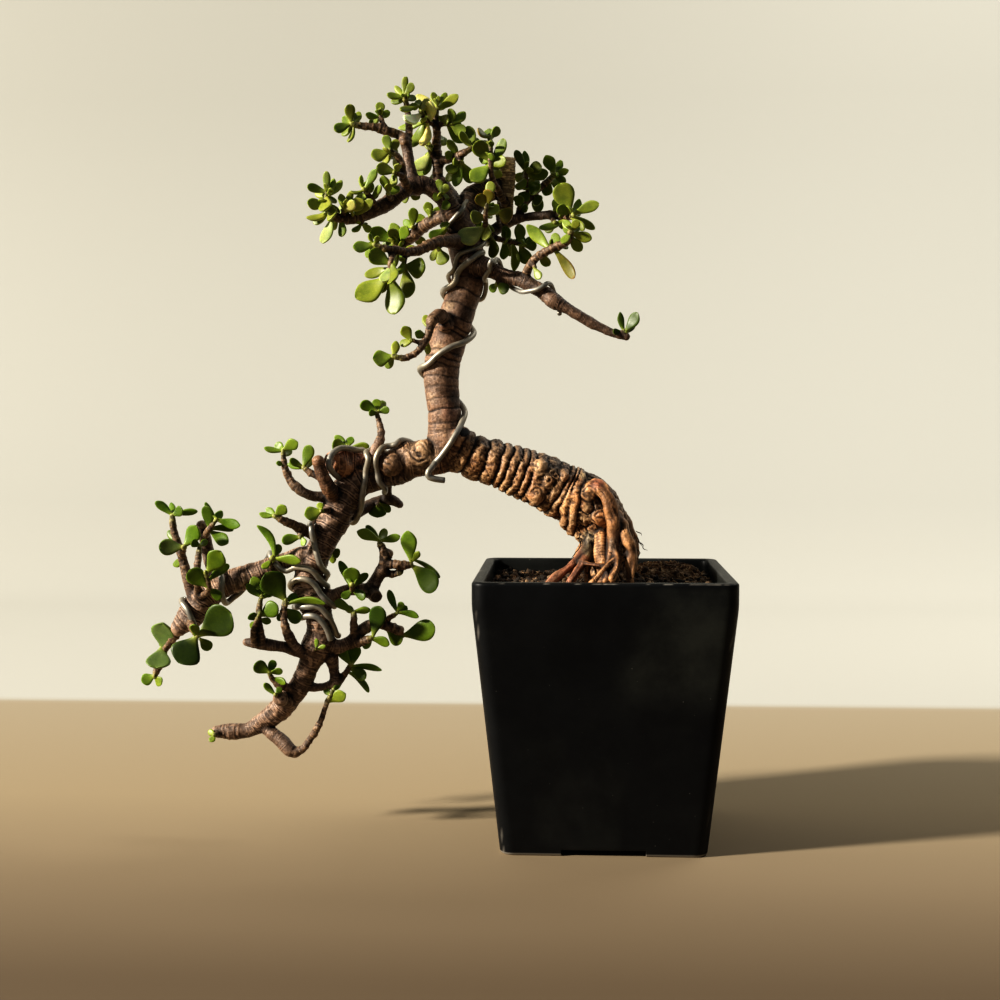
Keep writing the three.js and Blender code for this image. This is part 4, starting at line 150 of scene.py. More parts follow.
# A row that starts a spray is its name; then its twigs, and its leaves as
# base x y z, tip x y z, width, roll in degrees, tone (see LEAF_TONES).
SPRAY_ROWS = """
spray upper_left
twig -100 -9.5 350 2.3, -102.5 -7.5 353.5 2.3, -109.5 -10 355.5 2.3, -114.5 -11.5 357 2,
-120.5 -13 357.5 1.7, -126 -15 358 1.2
twig -110 -10 357 1.5, -111.5 -10 361 1.3, -112.5 -10 364 1
twig -98.5 -7 351 1.8, -98.5 -2.5 360 1.8, -99.5 0 367.5 1.5, -100.5 -3.5 374 1.3
leaf -126 -15 359 -126.5 -17 367.5 5.5 20 2, -126.5 -15 358 -134 -19 354.5 5.5 0 2,
-126 -15 357.5 -131.5 -11 353.5 4 30 2, -125 -14.5 357 -127.5 -16.5 349 4.5 30 2,
-125 -14.5 359 -123 -7.5 365.5 4.5 10 2, -112.5 -10 363.5 -112 -11 369.5 5 10 2,
-112.5 -10 362.5 -119 -14 363 4 10 2, -112.5 -10 361.5 -118.5 -5 361 3.5 20 2,
-112 -10 362.5 -108.5 -4 366.5 4 20 2, -101 -3.5 374.5 -100 -3.5 384 3.5 10 2,
-100.5 -3.5 374.5 -96 -6.5 379.5 4.5 10 2, -101 -3 373.5 -109.5 -5 374.5 4 20 2,
-100.5 -2.5 372.5 -108 0.5 372 3.5 20 2, -101 -3.5 374 -106 1.5 380 3.5 10 2,
-100 -2.5 372.5 -95.5 2.5 374.5 4 10 2, -99 -1 369.5 -94 0 369 4 10 2
spray lit_twig
twig -97.5 -15.5 325.5 2.2, -99.5 -22 330.5 2, -99.5 -25 336 1.7, -102 -26.5 340.5 1.7,
-105.5 -28 343 1.2
twig -99.5 -25 331 1.5, -103 -29.5 332 1
leaf -105.5 -28 342.5 -107.5 -29 350 5 10 3, -105.5 -28 342 -114 -32 339.5 7.5 0 3,
-104.5 -27.5 342 -102 -25.5 348.5 4.5 20 3, -103 -26.5 340.5 -102.5 -19.5 334.5 6 10 3,
-105 -27.5 341.5 -109.5 -22.5 337.5 4.5 10 3, -102.5 -29 332 -111.5 -32 334 6.5 0 3,
-102.5 -28 331.5 -105 -29 325 6 10 3
spray limb_top
twig -112 -23 314.5 1.7, -114.5 -29 319.5 1.5, -117.5 -33 323.5 1.2
leaf -117 -33 323.5 -111 -36 332.5 4.5 20 2, -118 -33 323.5 -119 -31 330.5 3 60 2,
-117.5 -32.5 323 -124 -34.5 322 3.5 50 2, -114.5 -28.5 319 -109 -33.5 325 4 10 2,
-116 -31 321.5 -123 -24 319.5 5.5 0 2
spray far_left
twig -113 -21.5 314.5 2.7, -119.5 -25 311 2.5, -126 -28 309.5 2.5, -131 -31.5 310 2, -134 -33 313 1.5,
-135.5 -34.5 318 1.2, -135.5 -34.5 322 1
twig -128 -29.5 310 1.5, -127 -34.5 313.5 1
twig -120 -25 310 1.5, -120 -25 307.5 1
leaf -135.5 -34.5 322 -135.5 -34.5 332 4 20 3, -134.5 -34.5 321.5 -132.5 -30.5 329 4 20 3,
-136 -34.5 322 -144.5 -37.5 324.5 4.5 10 3, -134 -34.5 320.5 -129 -27.5 328.5 4 20 3,
-135.5 -34.5 320 -136 -41.5 312 7.5 0 3, -134.5 -34 316 -132.5 -41 308 7 10 3,
-135.5 -34 316 -144.5 -38 316.5 6 0 3, -135.5 -34.5 319.5 -142 -29.5 322 4 10 3,
-134.5 -33 313.5 -142.5 -31 307 5 20 3, -134 -33 312.5 -145.5 -35 309.5 4.5 20 3,
-133 -32 310.5 -137.5 -36 297 6.5 10 4, -131 -31.5 310 -135 -26.5 304.5 5 0 3,
-129.5 -30.5 309.5 -128.5 -32.5 300.5 4.5 10 3, -127.5 -34 313.5 -128.5 -35 321 4 20 3,
-127 -34 313.5 -123.5 -31 323 3.5 30 3, -127.5 -33 312.5 -121 -41 316.5 5 20 4,
-126.5 -33.5 313 -117.5 -32.5 318 7 10 3, -124.5 -27.5 310.5 -113 -34.5 318 5 30 3,
-120 -25 307.5 -124 -28 303.5 4 20 3, -119.5 -25 307.5 -115.5 -23 304 4 20 3,
-126 -28 310.5 -131.5 -19 317 4.5 0 4, -122.5 -26 311.5 -120.5 -17 318 4.5 10 3
spray limb_under
twig -98 -10 326 1.5, -99.5 3.5 326 1
leaf -99 0 326 -103 4 323 6 0 1, -98.5 0 326 -94 5 324 5 10 1
spray low_left_front
twig -80.5 -25 299 2.7, -85.5 -31.5 296.5 2.7, -90 -36.5 293.5 2.4, -95 -41 292 2.2, -100.5 -46 292.5 1.9,
-105.5 -49.5 293 1.7, -110.5 -51 294.5 1.2
twig -102 -46 292.5 1.7, -102.5 -49.5 286.5 1.4, -103.5 -49 280 1.2
twig -96.5 -41 292 1.4, -97 -40.5 287.5 1.2, -97 -40.5 284.5 1.2
twig -82.5 -26.5 298 1.2, -81.5 -25 294.5 1
leaf -110.5 -51 294.5 -120 -54 293 6 10 2, -110.5 -51 295 -112.5 -51 300 2.5 40 2,
-109.5 -50.5 294.5 -108 -52.5 298.5 3 30 2, -110 -51 293.5 -115 -46 289.5 4.5 0 2,
-104 -49 279.5 -119 -52 269 13 0 2, -103 -49 280 -100.5 -52 261.5 11.5 0 1,
-102.5 -49.5 285.5 -112.5 -52.5 291 8.5 10 2, -102.5 -49.5 284.5 -105.5 -57.5 276.5 7 0 4,
-102.5 -49.5 286.5 -101.5 -60.5 275.5 6.5 10 2, -103.5 -49 281 -109 -45 272 5.5 10 2,
-103 -49.5 283.5 -115.5 -46.5 280.5 5.5 0 2, -97 -40.5 285.5 -86.5 -44.5 284 10.5 0 1,
-97 -40.5 284.5 -95.5 -41.5 270 9 0 2, -97 -40.5 288 -100 -46.5 281 4.5 10 2,
-97 -40.5 289.5 -92.5 -36.5 295.5 5 10 2, -99.5 -45 291.5 -105 -38 285.5 6.5 10 2,
-81.5 -25 295 -79 -26 287.5 7.5 0 2, -82 -25 295 -86.5 -19 291 5 10 2
spray low_left_back
twig -85 21.5 316 2.9, -90.5 26.5 314.5 3.1, -96.5 31.5 311.5 3.2, -101.5 34.5 307.5 2.9,
-106 36.5 304.5 2.1, -110.5 33 304.5 1.3
twig -98 31.5 310.5 1.6, -100 28 312.5 1.1
twig -90 26.5 315 1.6, -90 21.5 317.5 1
leaf -110.5 33 305 -123 30 311.5 8 0 1, -109.5 33.5 305 -112 37.5 315.5 7 10 1,
-109 34 303.5 -111.5 25 311 6 10 1, -107 35.5 304.5 -103.5 30.5 313 7 10 1,
-107.5 35.5 303.5 -104.5 29.5 296.5 8 10 1, -110.5 33 304 -117.5 37 302.5 6 0 1,
-100 28 312.5 -99.5 26 322 5.5 20 1, -100.5 28.5 312 -105.5 34.5 316.5 4.5 10 1,
-90.5 22.5 317 -92 22.5 324.5 5.5 10 1, -90 22.5 317 -85 28.5 322.5 5 10 1,
-99.5 33.5 309 -95.5 40.5 303.5 6.5 10 1, -105.5 36.5 303 -109.5 44.5 297.5 6.5 20 1,
-95.5 30.5 312 -98 40.5 320.5 6 20 1
spray neck_left
twig -76.5 -5 305.5 1.5, -79 -20 305.5 1
leaf -79 -20 305.5 -86.5 -24 301 5.5 0 1, -79 -18.5 304.5 -90 -16.5 297 5 10 1
spray centre_stem
twig -82 10 326.5 3.1, -85 10 335 2.8, -85 10 344 2.6, -86 11.5 352 2.3, -85.5 11.5 358.5 2.1,
-86.5 11.5 364 1.8, -85.5 11.5 370.5 1.3
twig -86 10 342 1.5, -89 8 348.5 1.3
twig -85 10 343.5 2.1, -77.5 5 344 2, -70.5 1.5 346.5 1.8, -66.5 3.5 349.5 1.3
twig -86 11.5 361.5 1.3, -91.5 3.5 364 1.3, -93 0 367 1
twig -85.5 11.5 362.5 1.3, -77.5 5 361.5 1
twig -76 5 344.5 1.5, -72 0 341 1.3
leaf -94.5 0 369.5 -102.5 -7 366.5 4 10 2, -92.5 1.5 366 -99.5 -12.5 360.5 7.5 0 8,
-92.5 4 362 -105.5 11 360.5 4.5 20 2, -90 6 362.5 -92 -1 349.5 7.5 0 9,
-91 4.5 363.5 -98 2.5 349.5 6 10 2, -92.5 0 367 -90 5 374.5 4.5 10 7,
-85.5 11.5 370.5 -97.5 22.5 379.5 5 20 7, -85.5 11.5 371.5 -88 15.5 379.5 4.5 40 2,
-85 11.5 370 -74.5 10.5 377 5.5 10 2, -86.5 11.5 369 -95.5 3.5 372 4.5 0 2,
-89.5 7.5 362 -88 -1.5 371.5 7.5 0 9, -85.5 11.5 371.5 -81.5 19.5 380 4 20 2,
-84.5 11.5 366 -79 3.5 362.5 6 10 2, -78.5 6 361.5 -77.5 2 368.5 5.5 0 2,
-77.5 5 361.5 -70.5 6 367.5 6 0 2, -78 5.5 361 -70.5 4.5 357 6.5 10 2, -80 7 361.5 -70.5 12 353.5 7.5 0 2,
-88.5 8.5 347.5 -97 4.5 338 7.5 0 4, -88.5 8.5 347 -92 7.5 336 5 20 2, -89 8.5 348 -96 15.5 336 6 0 2,
-89 8 348.5 -92 12 355 4 10 2, -67.5 3 349.5 -73 -1 356.5 4.5 20 2, -66.5 3.5 349.5 -70 7.5 360.5 6 10 2,
-66.5 3 349 -61.5 11 347.5 5.5 0 2, -74.5 3.5 345 -79 -0.5 352.5 4.5 10 2,
-75.5 4 344 -80.5 0 346 4.5 0 2, -73 1 341.5 -79.5 -2 336.5 6.5 0 2, -72.5 0.5 341 -75.5 -0.5 329 6 10 2,
-72 0 341 -67 4 331.5 6.5 0 2, -73.5 1 341 -80.5 6 333 6 10 2, -85.5 11.5 354.5 -81 19.5 355.5 5 10 2,
-85.5 10 339 -90.5 19 333 5.5 10 2
spray pale_pair
twig -50.5 15 321 2.1, -53.5 8 327.5 1.8, -56.5 1.5 332.5 1.5, -57.5 -1.5 340 1.3, -57.5 1.5 347.5 1.3,
-58 3.5 354.5 1.3
leaf -58 3 354 -64 0 358 5.5 60 5, -57.5 3 354 -53 6 359 5.5 60 2, -57.5 -1 341.5 -64.5 -6 350.5 8.5 0 2,
-57.5 -1 341 -50.5 1 353 6 10 2, -57.5 -1.5 339.5 -67 -5.5 331 9.5 0 2, -57 -1 339 -49.5 -5 342 6 0 2,
-57.5 -0.5 342 -63.5 5.5 344.5 5.5 0 2, -56.5 0 336.5 -52 7 335.5 5 10 2,
-57 2 348.5 -62.5 9 353 4.5 10 2
spray leaf_olive
twig -53.5 13 310.5 1.3, -54 0 315 1
leaf -54 0 316.5 -46.5 -2 313 9 0 5
spray sprout_centre
twig -78.5 -9.5 317 1.3, -80.5 -21.5 322 0.7
leaf -80.5 -21.5 323 -82.5 -21.5 329.5 4 0 2, -80.5 -20.5 321.5 -85 -21.5 321 4.5 0 2,
-80 -21.5 322.5 -77.5 -22.5 327 4 10 2, -79.5 -17.5 320.5 -78 -20.5 315 5 0 2
spray front_shoot
twig -61 6 304 2, -59.5 -9 307.5 1.5, -59 -15 314.5 1.2, -58 -15 321 1
leaf -58 -15 321 -56.5 -14 329.5 5.5 10 3, -58.5 -15 317.5 -57 -20 324.5 6.5 0 5,
-58.5 -15 316.5 -63 -18 322.5 6 10 5, -59 -13 312 -66.5 -17 312 7.5 0 3,
-59 -10 309 -59.5 -13 300.5 6 10 3, -59.5 -9.5 308 -72.5 -14.5 301 10.5 0 4,
-59 -13.5 313 -53 -9.5 318.5 5.5 10 3
spray right_top
twig -44.5 18 314.5 2.1, -41.5 21 322 2.1, -37.5 25 327.5 1.8, -32.5 28 332.5 1.6, -29 28 335.5 1.6,
-25.5 26.5 339 1.3
twig -38.5 25 326.5 1.6, -39.5 20 333 1.3, -40.5 18 340 1
twig -43.5 21.5 318 1.3, -43.5 13 321 1
leaf -40.5 18.5 339.5 -45.5 17.5 350 4.5 10 1, -40.5 18.5 339.5 -41 22.5 350.5 4.5 20 1,
-40 18.5 338.5 -32 14.5 341.5 7 0 1, -39.5 19 337 -28.5 19 338.5 6.5 0 1,
-40 19 336 -44.5 15 329.5 6.5 10 1, -39 19.5 334 -33.5 15.5 328.5 7.5 10 1,
-39.5 19.5 335 -46 25.5 338.5 6 10 1, -38.5 22 330 -43 20 325 7 0 1, -37 25 328 -32.5 22 323.5 6.5 10 1,
-40 20.5 332 -34 28.5 336.5 6.5 10 1, -25.5 26.5 339 -30 24.5 348.5 7 0 1,
-25.5 26.5 339 -18 26.5 341 4 20 1, -26 27 338 -19.5 24 334.5 4 20 1, -28.5 28 336 -30.5 31 328.5 7 0 1,
-26 26.5 339 -22 32.5 347 4.5 10 1, -27.5 27.5 337 -21.5 35.5 333 5 0 1,
-43.5 14 320.5 -43.5 11 326 6 10 1, -43 17.5 319.5 -39 13.5 320 5 0 1, -35.5 26 330 -34 32 320 6.5 0 1
spray right_end
twig -27 15 316.5 2.1, -22.5 13 315.5 1.8, -19.5 10 314.5 1.8, -15.5 5 315 1.3
twig -26.5 15 315.5 1.3, -25 8 311.5 1
leaf -17 6.5 316 -22 3.5 331 11.5 0 2, -15.5 5 315.5 -2.5 2 320.5 6 20 2,
-17.5 7.5 315.5 -23.5 2.5 319 6 0 2, -23.5 13.5 316 -25.5 11.5 324 4 20 2,
-15 5 314.5 -4.5 10 308.5 4.5 20 2, -16 6 313.5 -10 3 307 4.5 10 2, -19.5 10 313.5 -33 5 308.5 4.5 20 2,
-15.5 5 316 -12.5 12 324 4.5 10 2, -25 9 312 -30 14 308 5 10 2, -22.5 13 315 -19.5 21 310 5.5 0 2
spray right_twig
twig -39 -18.5 281 2.2, -38 -21 285 2.2, -35 -23.5 289.5 2, -29 -26 293.5 2, -23 -28 296 2,
-18.5 -29.5 298 1.9, -16.5 -31.5 303 1.5
twig -35.5 -23.5 288.5 1.2, -34 -25.5 285.5 1
leaf -16.5 -31 302.5 -21 -34 296.5 4.5 10 2, -16.5 -31 302 -6.5 -31 299 5.5 10 2,
-17 -30.5 300.5 -11.5 -27.5 293.5 5.5 0 2, -16.5 -31.5 303 -13 -34.5 307.5 4.5 10 2,
-16.5 -31.5 303 -20.5 -26.5 308.5 4.5 10 2, -25 -27.5 294.5 -15 -30.5 280 6 20 5,
-27 -27 294.5 -38.5 -22 307 6.5 0 2, -34.5 -25.5 285.5 -31.5 -28.5 280 4.5 10 2,
-31.5 -25 292.5 -28 -19 287 5.5 10 2, -22 -28.5 296.5 -25.5 -21.5 302.5 5 10 2
spray right_low
twig -58 8 305 1.8, -53 5 303 1.5, -47 3.5 301.5 1.3, -40 0 299 1
twig -57.5 9.5 306.5 1.3, -56.5 0 302.5 1
leaf -43 1.5 300 -43 3.5 310.5 6 10 1, -51 4.5 302 -51 2.5 292.5 6 10 1, -46.5 3 301 -45.5 2 286.5 6 10 1,
-42.5 1 299.5 -38.5 4 290.5 7 0 1, -48.5 4 302 -51 8 310 5 10 1, -40 0 299 -34 -2 299 5 10 1,
-40.5 0 299 -37 5 304 4.5 10 1, -50 4 302 -48 11 295 5 10 1, -57 1.5 303.5 -56 -0.5 293 7.5 20 1
spray leaf_under_right
twig -53 -16 282.5 1.2, -53 -16.5 278.5 1
leaf -53.5 -16.5 279 -48 -18.5 274.5 6 0 1, -53.5 -16.5 278.5 -57 -13.5 275.5 4.5 0 1
spray right_tip
twig 8 -25 253 1.5, 9.5 -26 255 1
leaf 9.5 -26 254.5 7.5 -25 264 3.5 30 0, 10 -26 254.5 16 -28 263.5 6.5 0 0,
9 -25.5 254 4 -28.5 254.5 3.5 10 0, 10.5 -26 254 14.5 -20 259.5 4 10 0
spray trunk_twig
twig -85 -26 260.5 2.2, -86 -26 256 2, -87.5 -27 251.5 2, -89.5 -28 247.5 1.7, -93.5 -29 243.5 1.7,
-98.5 -30 241.5 1.5, -104 -31 242.5 1.2
twig -89.5 -28 248.5 1.2, -95 -30 250.5 1
leaf -104 -31 242.5 -113.5 -33 241 8.5 0 2, -103.5 -31 242.5 -102.5 -28 250 4.5 20 2,
-104 -31 242 -108 -26 237 4.5 0 2, -95 -30 250 -98.5 -32 257 6 0 2, -94.5 -30 250 -101 -25 249 4.5 10 2,
-87.5 -27 252 -93 -30 254 4.5 10 2, -86 -26 256 -89 -21 263 4.5 20 2,
-88 -27 250.5 -87.5 -22 243.5 4.5 20 2
spray twig_a
twig -113 -14.5 199.5 2, -112 -13 205 1.8, -113.5 -11 210.5 1.5, -114.5 -11 215.5 1
leaf -114.5 -11 215.5 -122.5 -13 219.5 6 0 2, -114 -11 215.5 -115.5 -7 221.5 5.5 10 2,
-113.5 -11 215 -108 -12 216.5 4 10 2, -114.5 -11 214 -118 -14 215 3.5 10 2,
-113.5 -11 215.5 -111.5 -4 220.5 4.5 10 2
spray stub_leaves
twig -129 -4 191.5 1.5, -132.5 8.5 197 1
leaf -132.5 8.5 197 -140 6.5 198.5 7.5 0 2, -132.5 8.5 197.5 -139.5 11.5 202.5 4 10 2,
-132 8.5 197.5 -130.5 12.5 202 4.5 10 2, -131 6 196 -120.5 5 197.5 4.5 20 2,
-133.5 7 196 -138 14 192 5 0 2
spray twig_b
twig -153.5 -18 176.5 2.3, -157 -18 180 2, -159.5 -18 185.5 1.8, -160.5 -18 190 1.5, -161 -18 196 1
leaf -161 -18 196 -153 -21 200 6.5 10 2, -161 -18 195.5 -170.5 -19 197 3.5 40 2,
-161 -18 196 -165.5 -14 199 5 10 2, -160.5 -18 193 -158 -12 196 4 10 2,
-160 -18 189 -164 -21 189.5 3 30 2
spray twig_c
twig -140.5 -22.5 182 1.7, -146 -22.5 184.5 1.8, -150 -22.5 187.5 1.3
leaf -150 -22.5 187.5 -146 -24.5 198.5 6.5 0 2, -150 -22.5 187.5 -156.5 -24.5 191.5 4 20 2,
-150 -22.5 187 -158.5 -19.5 189 3.5 20 2, -149 -22.5 187 -147 -16.5 191.5 4.5 10 2
spray twig_d
twig -151 -21 156 2.3, -155.5 -24 159 2.3, -159.5 -27 161 2, -163.5 -28.5 163.5 1.2
twig -151 -21 156 2.3, -151.5 -24 152.5 1.3
leaf -163.5 -28.5 163.5 -157.5 -30.5 168.5 6 10 2, -163.5 -28.5 163.5 -171.5 -27.5 164.5 3.5 40 2,
-163 -28.5 163.5 -168.5 -24.5 167 4 10 2, -151.5 -24 152.5 -160.5 -26 150.5 5.5 0 2,
-151 -24 152.5 -149 -27 148.5 4 20 2
spray limb_leaf_left
twig -137.5 -17.5 165.5 1.5, -140 -30 166 1
leaf -139.5 -29 166 -148 -32 164 7.5 0 3, -140 -28.5 166.5 -141.5 -26.5 170 4 10 3
spray long_curved
twig -167.5 -17.5 136 1.8, -166 -24 142 1.3
leaf -165 -23.5 141.5 -173 -25.5 158.5 4.5 10 2, -165.5 -24 142.5 -162.5 -21 148.5 4.5 0 2,
-165 -23.5 141.5 -150.5 -28.5 141 6 30 2, -166.5 -22.5 141 -170.5 -26.5 137 4 10 2
spray limb_leaf_right
twig -142 -8.5 145.5 1.5, -139.5 -4 143.5 1
leaf -139.5 -4.5 144 -134.5 -6.5 142 5.5 0 2, -140 -4.5 143.5 -139 0.5 137 4.5 10 2
spray leaf_under_e
twig -116.5 8.5 169.5 1.3, -116 4.5 166.5 1
leaf -116 6 167.5 -116.5 4 160.5 9.5 0 1, -115.5 6 167.5 -110.5 11 163 5 10 1
spray twig_f
twig -211.5 -13 130 2.6, -213.5 -13 138 2.3, -216 -13 147 2, -218.5 -13 155 1.8, -219 -13 162.5 1.3
twig -214 -14.5 142.5 1.8, -211 -21 147.5 1.3
leaf -219 -13 162.5 -227.5 -14 169.5 4.5 20 1, -219 -13 162.5 -213 -17 166 5.5 0 1,
-218.5 -13 163 -206.5 -11 164.5 4 40 1, -219 -13 162.5 -221.5 -6 168.5 4 10 1,
-211.5 -20 147 -223.5 -23 147 8.5 0 6, -211.5 -20 147 -204.5 -22 158 9 0 1,
-216.5 -13 149 -223 -7 154 4.5 10 1, -214 -13 139.5 -220.5 -7 136.5 4.5 10 1
spray twig_g_leaves
twig -204.5 -5 151 1.8, -200.5 -12.5 155 1.5, -196 -14.5 160.5 1
leaf -200 -12.5 155 -201.5 -14.5 167.5 6.5 0 1, -196 -14.5 160.5 -183.5 -16.5 157.5 5.5 10 1,
-196 -14.5 161 -202.5 -11.5 169 3 40 1, -199.5 -13 155.5 -188.5 -9 155 4.5 40 1,
-200 -12 154.5 -190 -15 148.5 7 0 1, -197 -14 159 -195 -7 164.5 4.5 10 1
spray twig_h
twig -204.5 -18 121 1.8, -203.5 -26 130 1.8, -203 -27 138 1.8, -202.5 -25.5 145 1.5, -202 -25.5 148.5 1
twig -204.5 -18 121 1.8, -196 -31.5 127.5 1.2, -197 -35 136 1
leaf -196.5 -34.5 135.5 -189 -36.5 146.5 10.5 0 1, -196.5 -32 128 -205.5 -35 136.5 9.5 0 1,
-196 -33 131.5 -186.5 -29 139 5 20 1, -196.5 -31 127 -191 -29 121.5 5.5 10 1,
-202 -25.5 148 -205.5 -28.5 150.5 4.5 10 1, -202 -25.5 148 -199.5 -20.5 150.5 3.5 10 1
spray big_pair
twig -209.5 -18 108.5 2.3, -204.5 -28.5 106 2, -201.5 -35 104 1.5
leaf -200.5 -35 104.5 -184 -39 116.5 17 0 0, -200 -35 102.5 -196 -32 96.5 6.5 0 1,
-202 -35 103.5 -210 -39 91 16.5 0 10, -202 -35 103 -202 -41 110.5 5 0 3
spray left_end
twig -215.5 -13 105 2.6, -222 -8.5 97 2.1, -227 -5.5 90.5 1.8, -229 -5.5 84.5 2.3, -231 -7 78.5 1.3
leaf -225.5 -6 91 -224.5 -15 107.5 14.5 0 6, -227 -6.5 94 -228 -15.5 84.5 13 0 6,
-231 -7 79 -237.5 -8 76 6.5 10 2, -231 -7 78.5 -227 -9 74.5 6 10 2, -229.5 -5.5 85 -236.5 0.5 85 5 10 6,
-224 -7.5 95 -229.5 -1.5 96 5.5 10 6
spray twig_i
twig -170.5 -22.5 98 1.8, -172 -24 104.5 1.8, -172.5 -25.5 112 1.5, -172 -25.5 118.5 1.5,
-171 -25.5 123 1
twig -175 -22.5 98.5 1.8, -175 -26.5 105 1.5, -173.5 -27 110 1.3, -172 -27 114 1.3
leaf -171 -25.5 122.5 -178.5 -26.5 129 4 20 1, -171 -25.5 122.5 -176.5 -20.5 132 7 0 1,
-171 -25.5 122.5 -165.5 -23.5 124 3.5 20 1, -171 -25.5 122 -169.5 -17.5 125.5 5 0 1,
-172 -25.5 113 -162.5 -27.5 118.5 9 0 1, -173.5 -27 111 -176.5 -29 114 5 10 1,
-172 -25.5 111 -167 -22.5 109.5 4 10 1, -173.5 -27 110 -177.5 -23 107 4 10 1
spray twig_k
twig -157.5 -24 101.5 2.3, -159 -25.5 107.5 2, -160 -25.5 114 1.8, -159 -25.5 121 1.3
leaf -159 -25.5 121 -168 -29.5 135 14 0 0, -158.5 -25.5 119 -138 -30.5 120 4.5 30 1,
-158.5 -25.5 121 -153.5 -22.5 123 4.5 0 1, -159.5 -25.5 116.5 -152 -23.5 110 7 0 1,
-160 -25.5 115 -164 -21.5 110.5 4 20 1
spray r_top
twig -113.5 -8.5 133 2.8, -111.5 -8.5 137 2.8, -111 -8.5 142.5 2.3, -113.5 -8.5 148.5 1.5
twig -111.5 -8.5 137.5 2.3, -106.5 -9 137.5 2.3, -101.5 -9 137 2.3, -97.5 -9 137.5 1.5
twig -111.5 -8.5 141.5 2, -109 -7.5 143 2.3
twig -112.5 -8.5 133 1.8, -107.5 -7.5 132.5 1.8, -103 -8 133.5 1.5
leaf -113.5 -8.5 149.5 -125 -10.5 154.5 6 0 2, -113.5 -8.5 149.5 -121 -4.5 157 4 20 2,
-113 -8.5 149.5 -103 -9.5 152 4.5 20 2, -113.5 -8.5 149.5 -111.5 -0.5 155 4.5 10 2,
-97.5 -9 139 -99 -11 155 9 0 2, -97 -9 137 -85 -12 124.5 11.5 0 0, -96.5 -9 140 -83 -6 130.5 3.5 40 1,
-97 -9 139 -93 -13 144.5 3.5 10 3
spray r_mid
twig -126.5 -14 124 1.5, -125.5 -25.5 129 1.2
leaf -126.5 -19 126 -126 -21 137 9 0 1, -126 -22 127.5 -133 -17 140 4.5 20 1,
-125.5 -22 127.5 -118.5 -17 133.5 4.5 30 1, -126.5 -17.5 125.5 -119.5 -21.5 121.5 5 10 1,
-126.5 -17.5 125.5 -131.5 -19.5 121.5 4.5 10 1
spray r_low
twig -120 -13 105.5 2.5, -115 -13 108 2.3, -110 -12.5 106.5 2.5, -103.5 -12.5 104.5 2.3
twig -114 -13 107.5 1.5, -108.5 -14 110.5 1.5, -104 -14.5 113.5 1
twig -104.5 -12.5 104.5 1.5, -102 -12 101.5 1.3
leaf -109.5 -12.5 104.5 -102.5 -13.5 97.5 7.5 0 1, -102 -12 101.5 -85 -14 106.5 11 0 1,
-104 -14.5 113.5 -93 -15.5 111.5 4 30 1, -104 -14.5 114 -108.5 -13.5 125 4 30 1,
-104 -14.5 114.5 -101 -16.5 119 4 0 1, -104 -14.5 113.5 -99.5 -8.5 115.5 4 10 1
spray l_end
twig -157.5 -13 41 2.3, -153 -14.5 43 2, -149.5 -14.5 47.5 1.8, -145.5 -16 53.5 1.8, -143 -16 58.5 1.5,
-141 -16 64.5 1.3, -139 -16 69.5 1.3, -136.5 -16 74.5 1
leaf -139 -16 68 -130 -18 72.5 7 0 3, -137 -16 73.5 -133.5 -13 76.5 3 20 3,
-138 -16 71.5 -142 -12 74 3.5 20 3
spray m_end
twig -134 -10 78.5 1.8, -131 -10 82 1.5, -128.5 -10 86 1.3
leaf -128.5 -10 86 -135 -12 96.5 5.5 10 1, -128 -10 86 -126.5 -6 96.5 7.5 0 1,
-129 -10 85 -112.5 -11 83.5 4 40 1, -129 -10 84.5 -120.5 -13 79.5 6 0 1,
-130.5 -10 82.5 -119.5 -8 71.5 4 40 1, -129 -10 87 -134 -2 97.5 4.5 10 1
spray n_end
twig -163 -21 77.5 2, -166 -22.5 80 1.5, -168 -24 84 1
leaf -167.5 -24 84 -175 -26 88.5 7 0 1, -167.5 -24 84 -161 -24 85 4 20 1,
-166.5 -23 81 -159 -26 79 4 10 1, -168 -24 84.5 -166.5 -19 89.5 4.5 10 1
spray knob_leaf
twig -162 -22.5 70.5 1.3, -164 -28.5 74 1
leaf -164 -28 73.5 -169.5 -29 79.5 3.5 20 2, -163.5 -28 74 -161.5 -26 77 3.5 10 2
spray limb_sprout
twig -146 -22 94.5 1, -142 -35 98.5 0.7
leaf -142.5 -33 97.5 -142 -34 103 2.5 0 3, -142.5 -33 97.5 -137.5 -34 99.5 2.5 0 3
spray tip_sprout
twig -197.5 -8.5 50 1.5, -198.5 -14.5 50 1
leaf -198.5 -13 50 -200.5 -15 46.5 3.5 0 3, -198.5 -13 50 -202.5 -10 51 3.5 0 3
spray limb_pair
twig -105.5 -19.5 320 1.7, -106 -29.5 322 1.2
leaf -106 -29.5 322 -108 -35.5 329.5 5.5 0 2, -106 -28.5 321.5 -101 -25.5 325.5 4.5 20 2
spray r_stem
twig -125.5 -14.5 100.5 2, -126 -16 107 2, -126 -16 113.5 1.3
leaf -126 -16 113.5 -138 -17 121 5 10 2, -126 -16 114 -117.5 -15 115 4.5 30 2,
-126 -16 113.5 -131 -10 115.5 4 10 2
spray r_under
twig -128.5 -13 97 2.3, -122 -16 99 2.3, -117 -17.5 101 1.5
leaf -116 -17.5 102 -112 -20.5 117.5 9.5 0 0, -117 -17.5 100.5 -107.5 -19.5 98 5.5 10 1,
-117 -17.5 101 -121.5 -12.5 95 4.5 10 1
"""

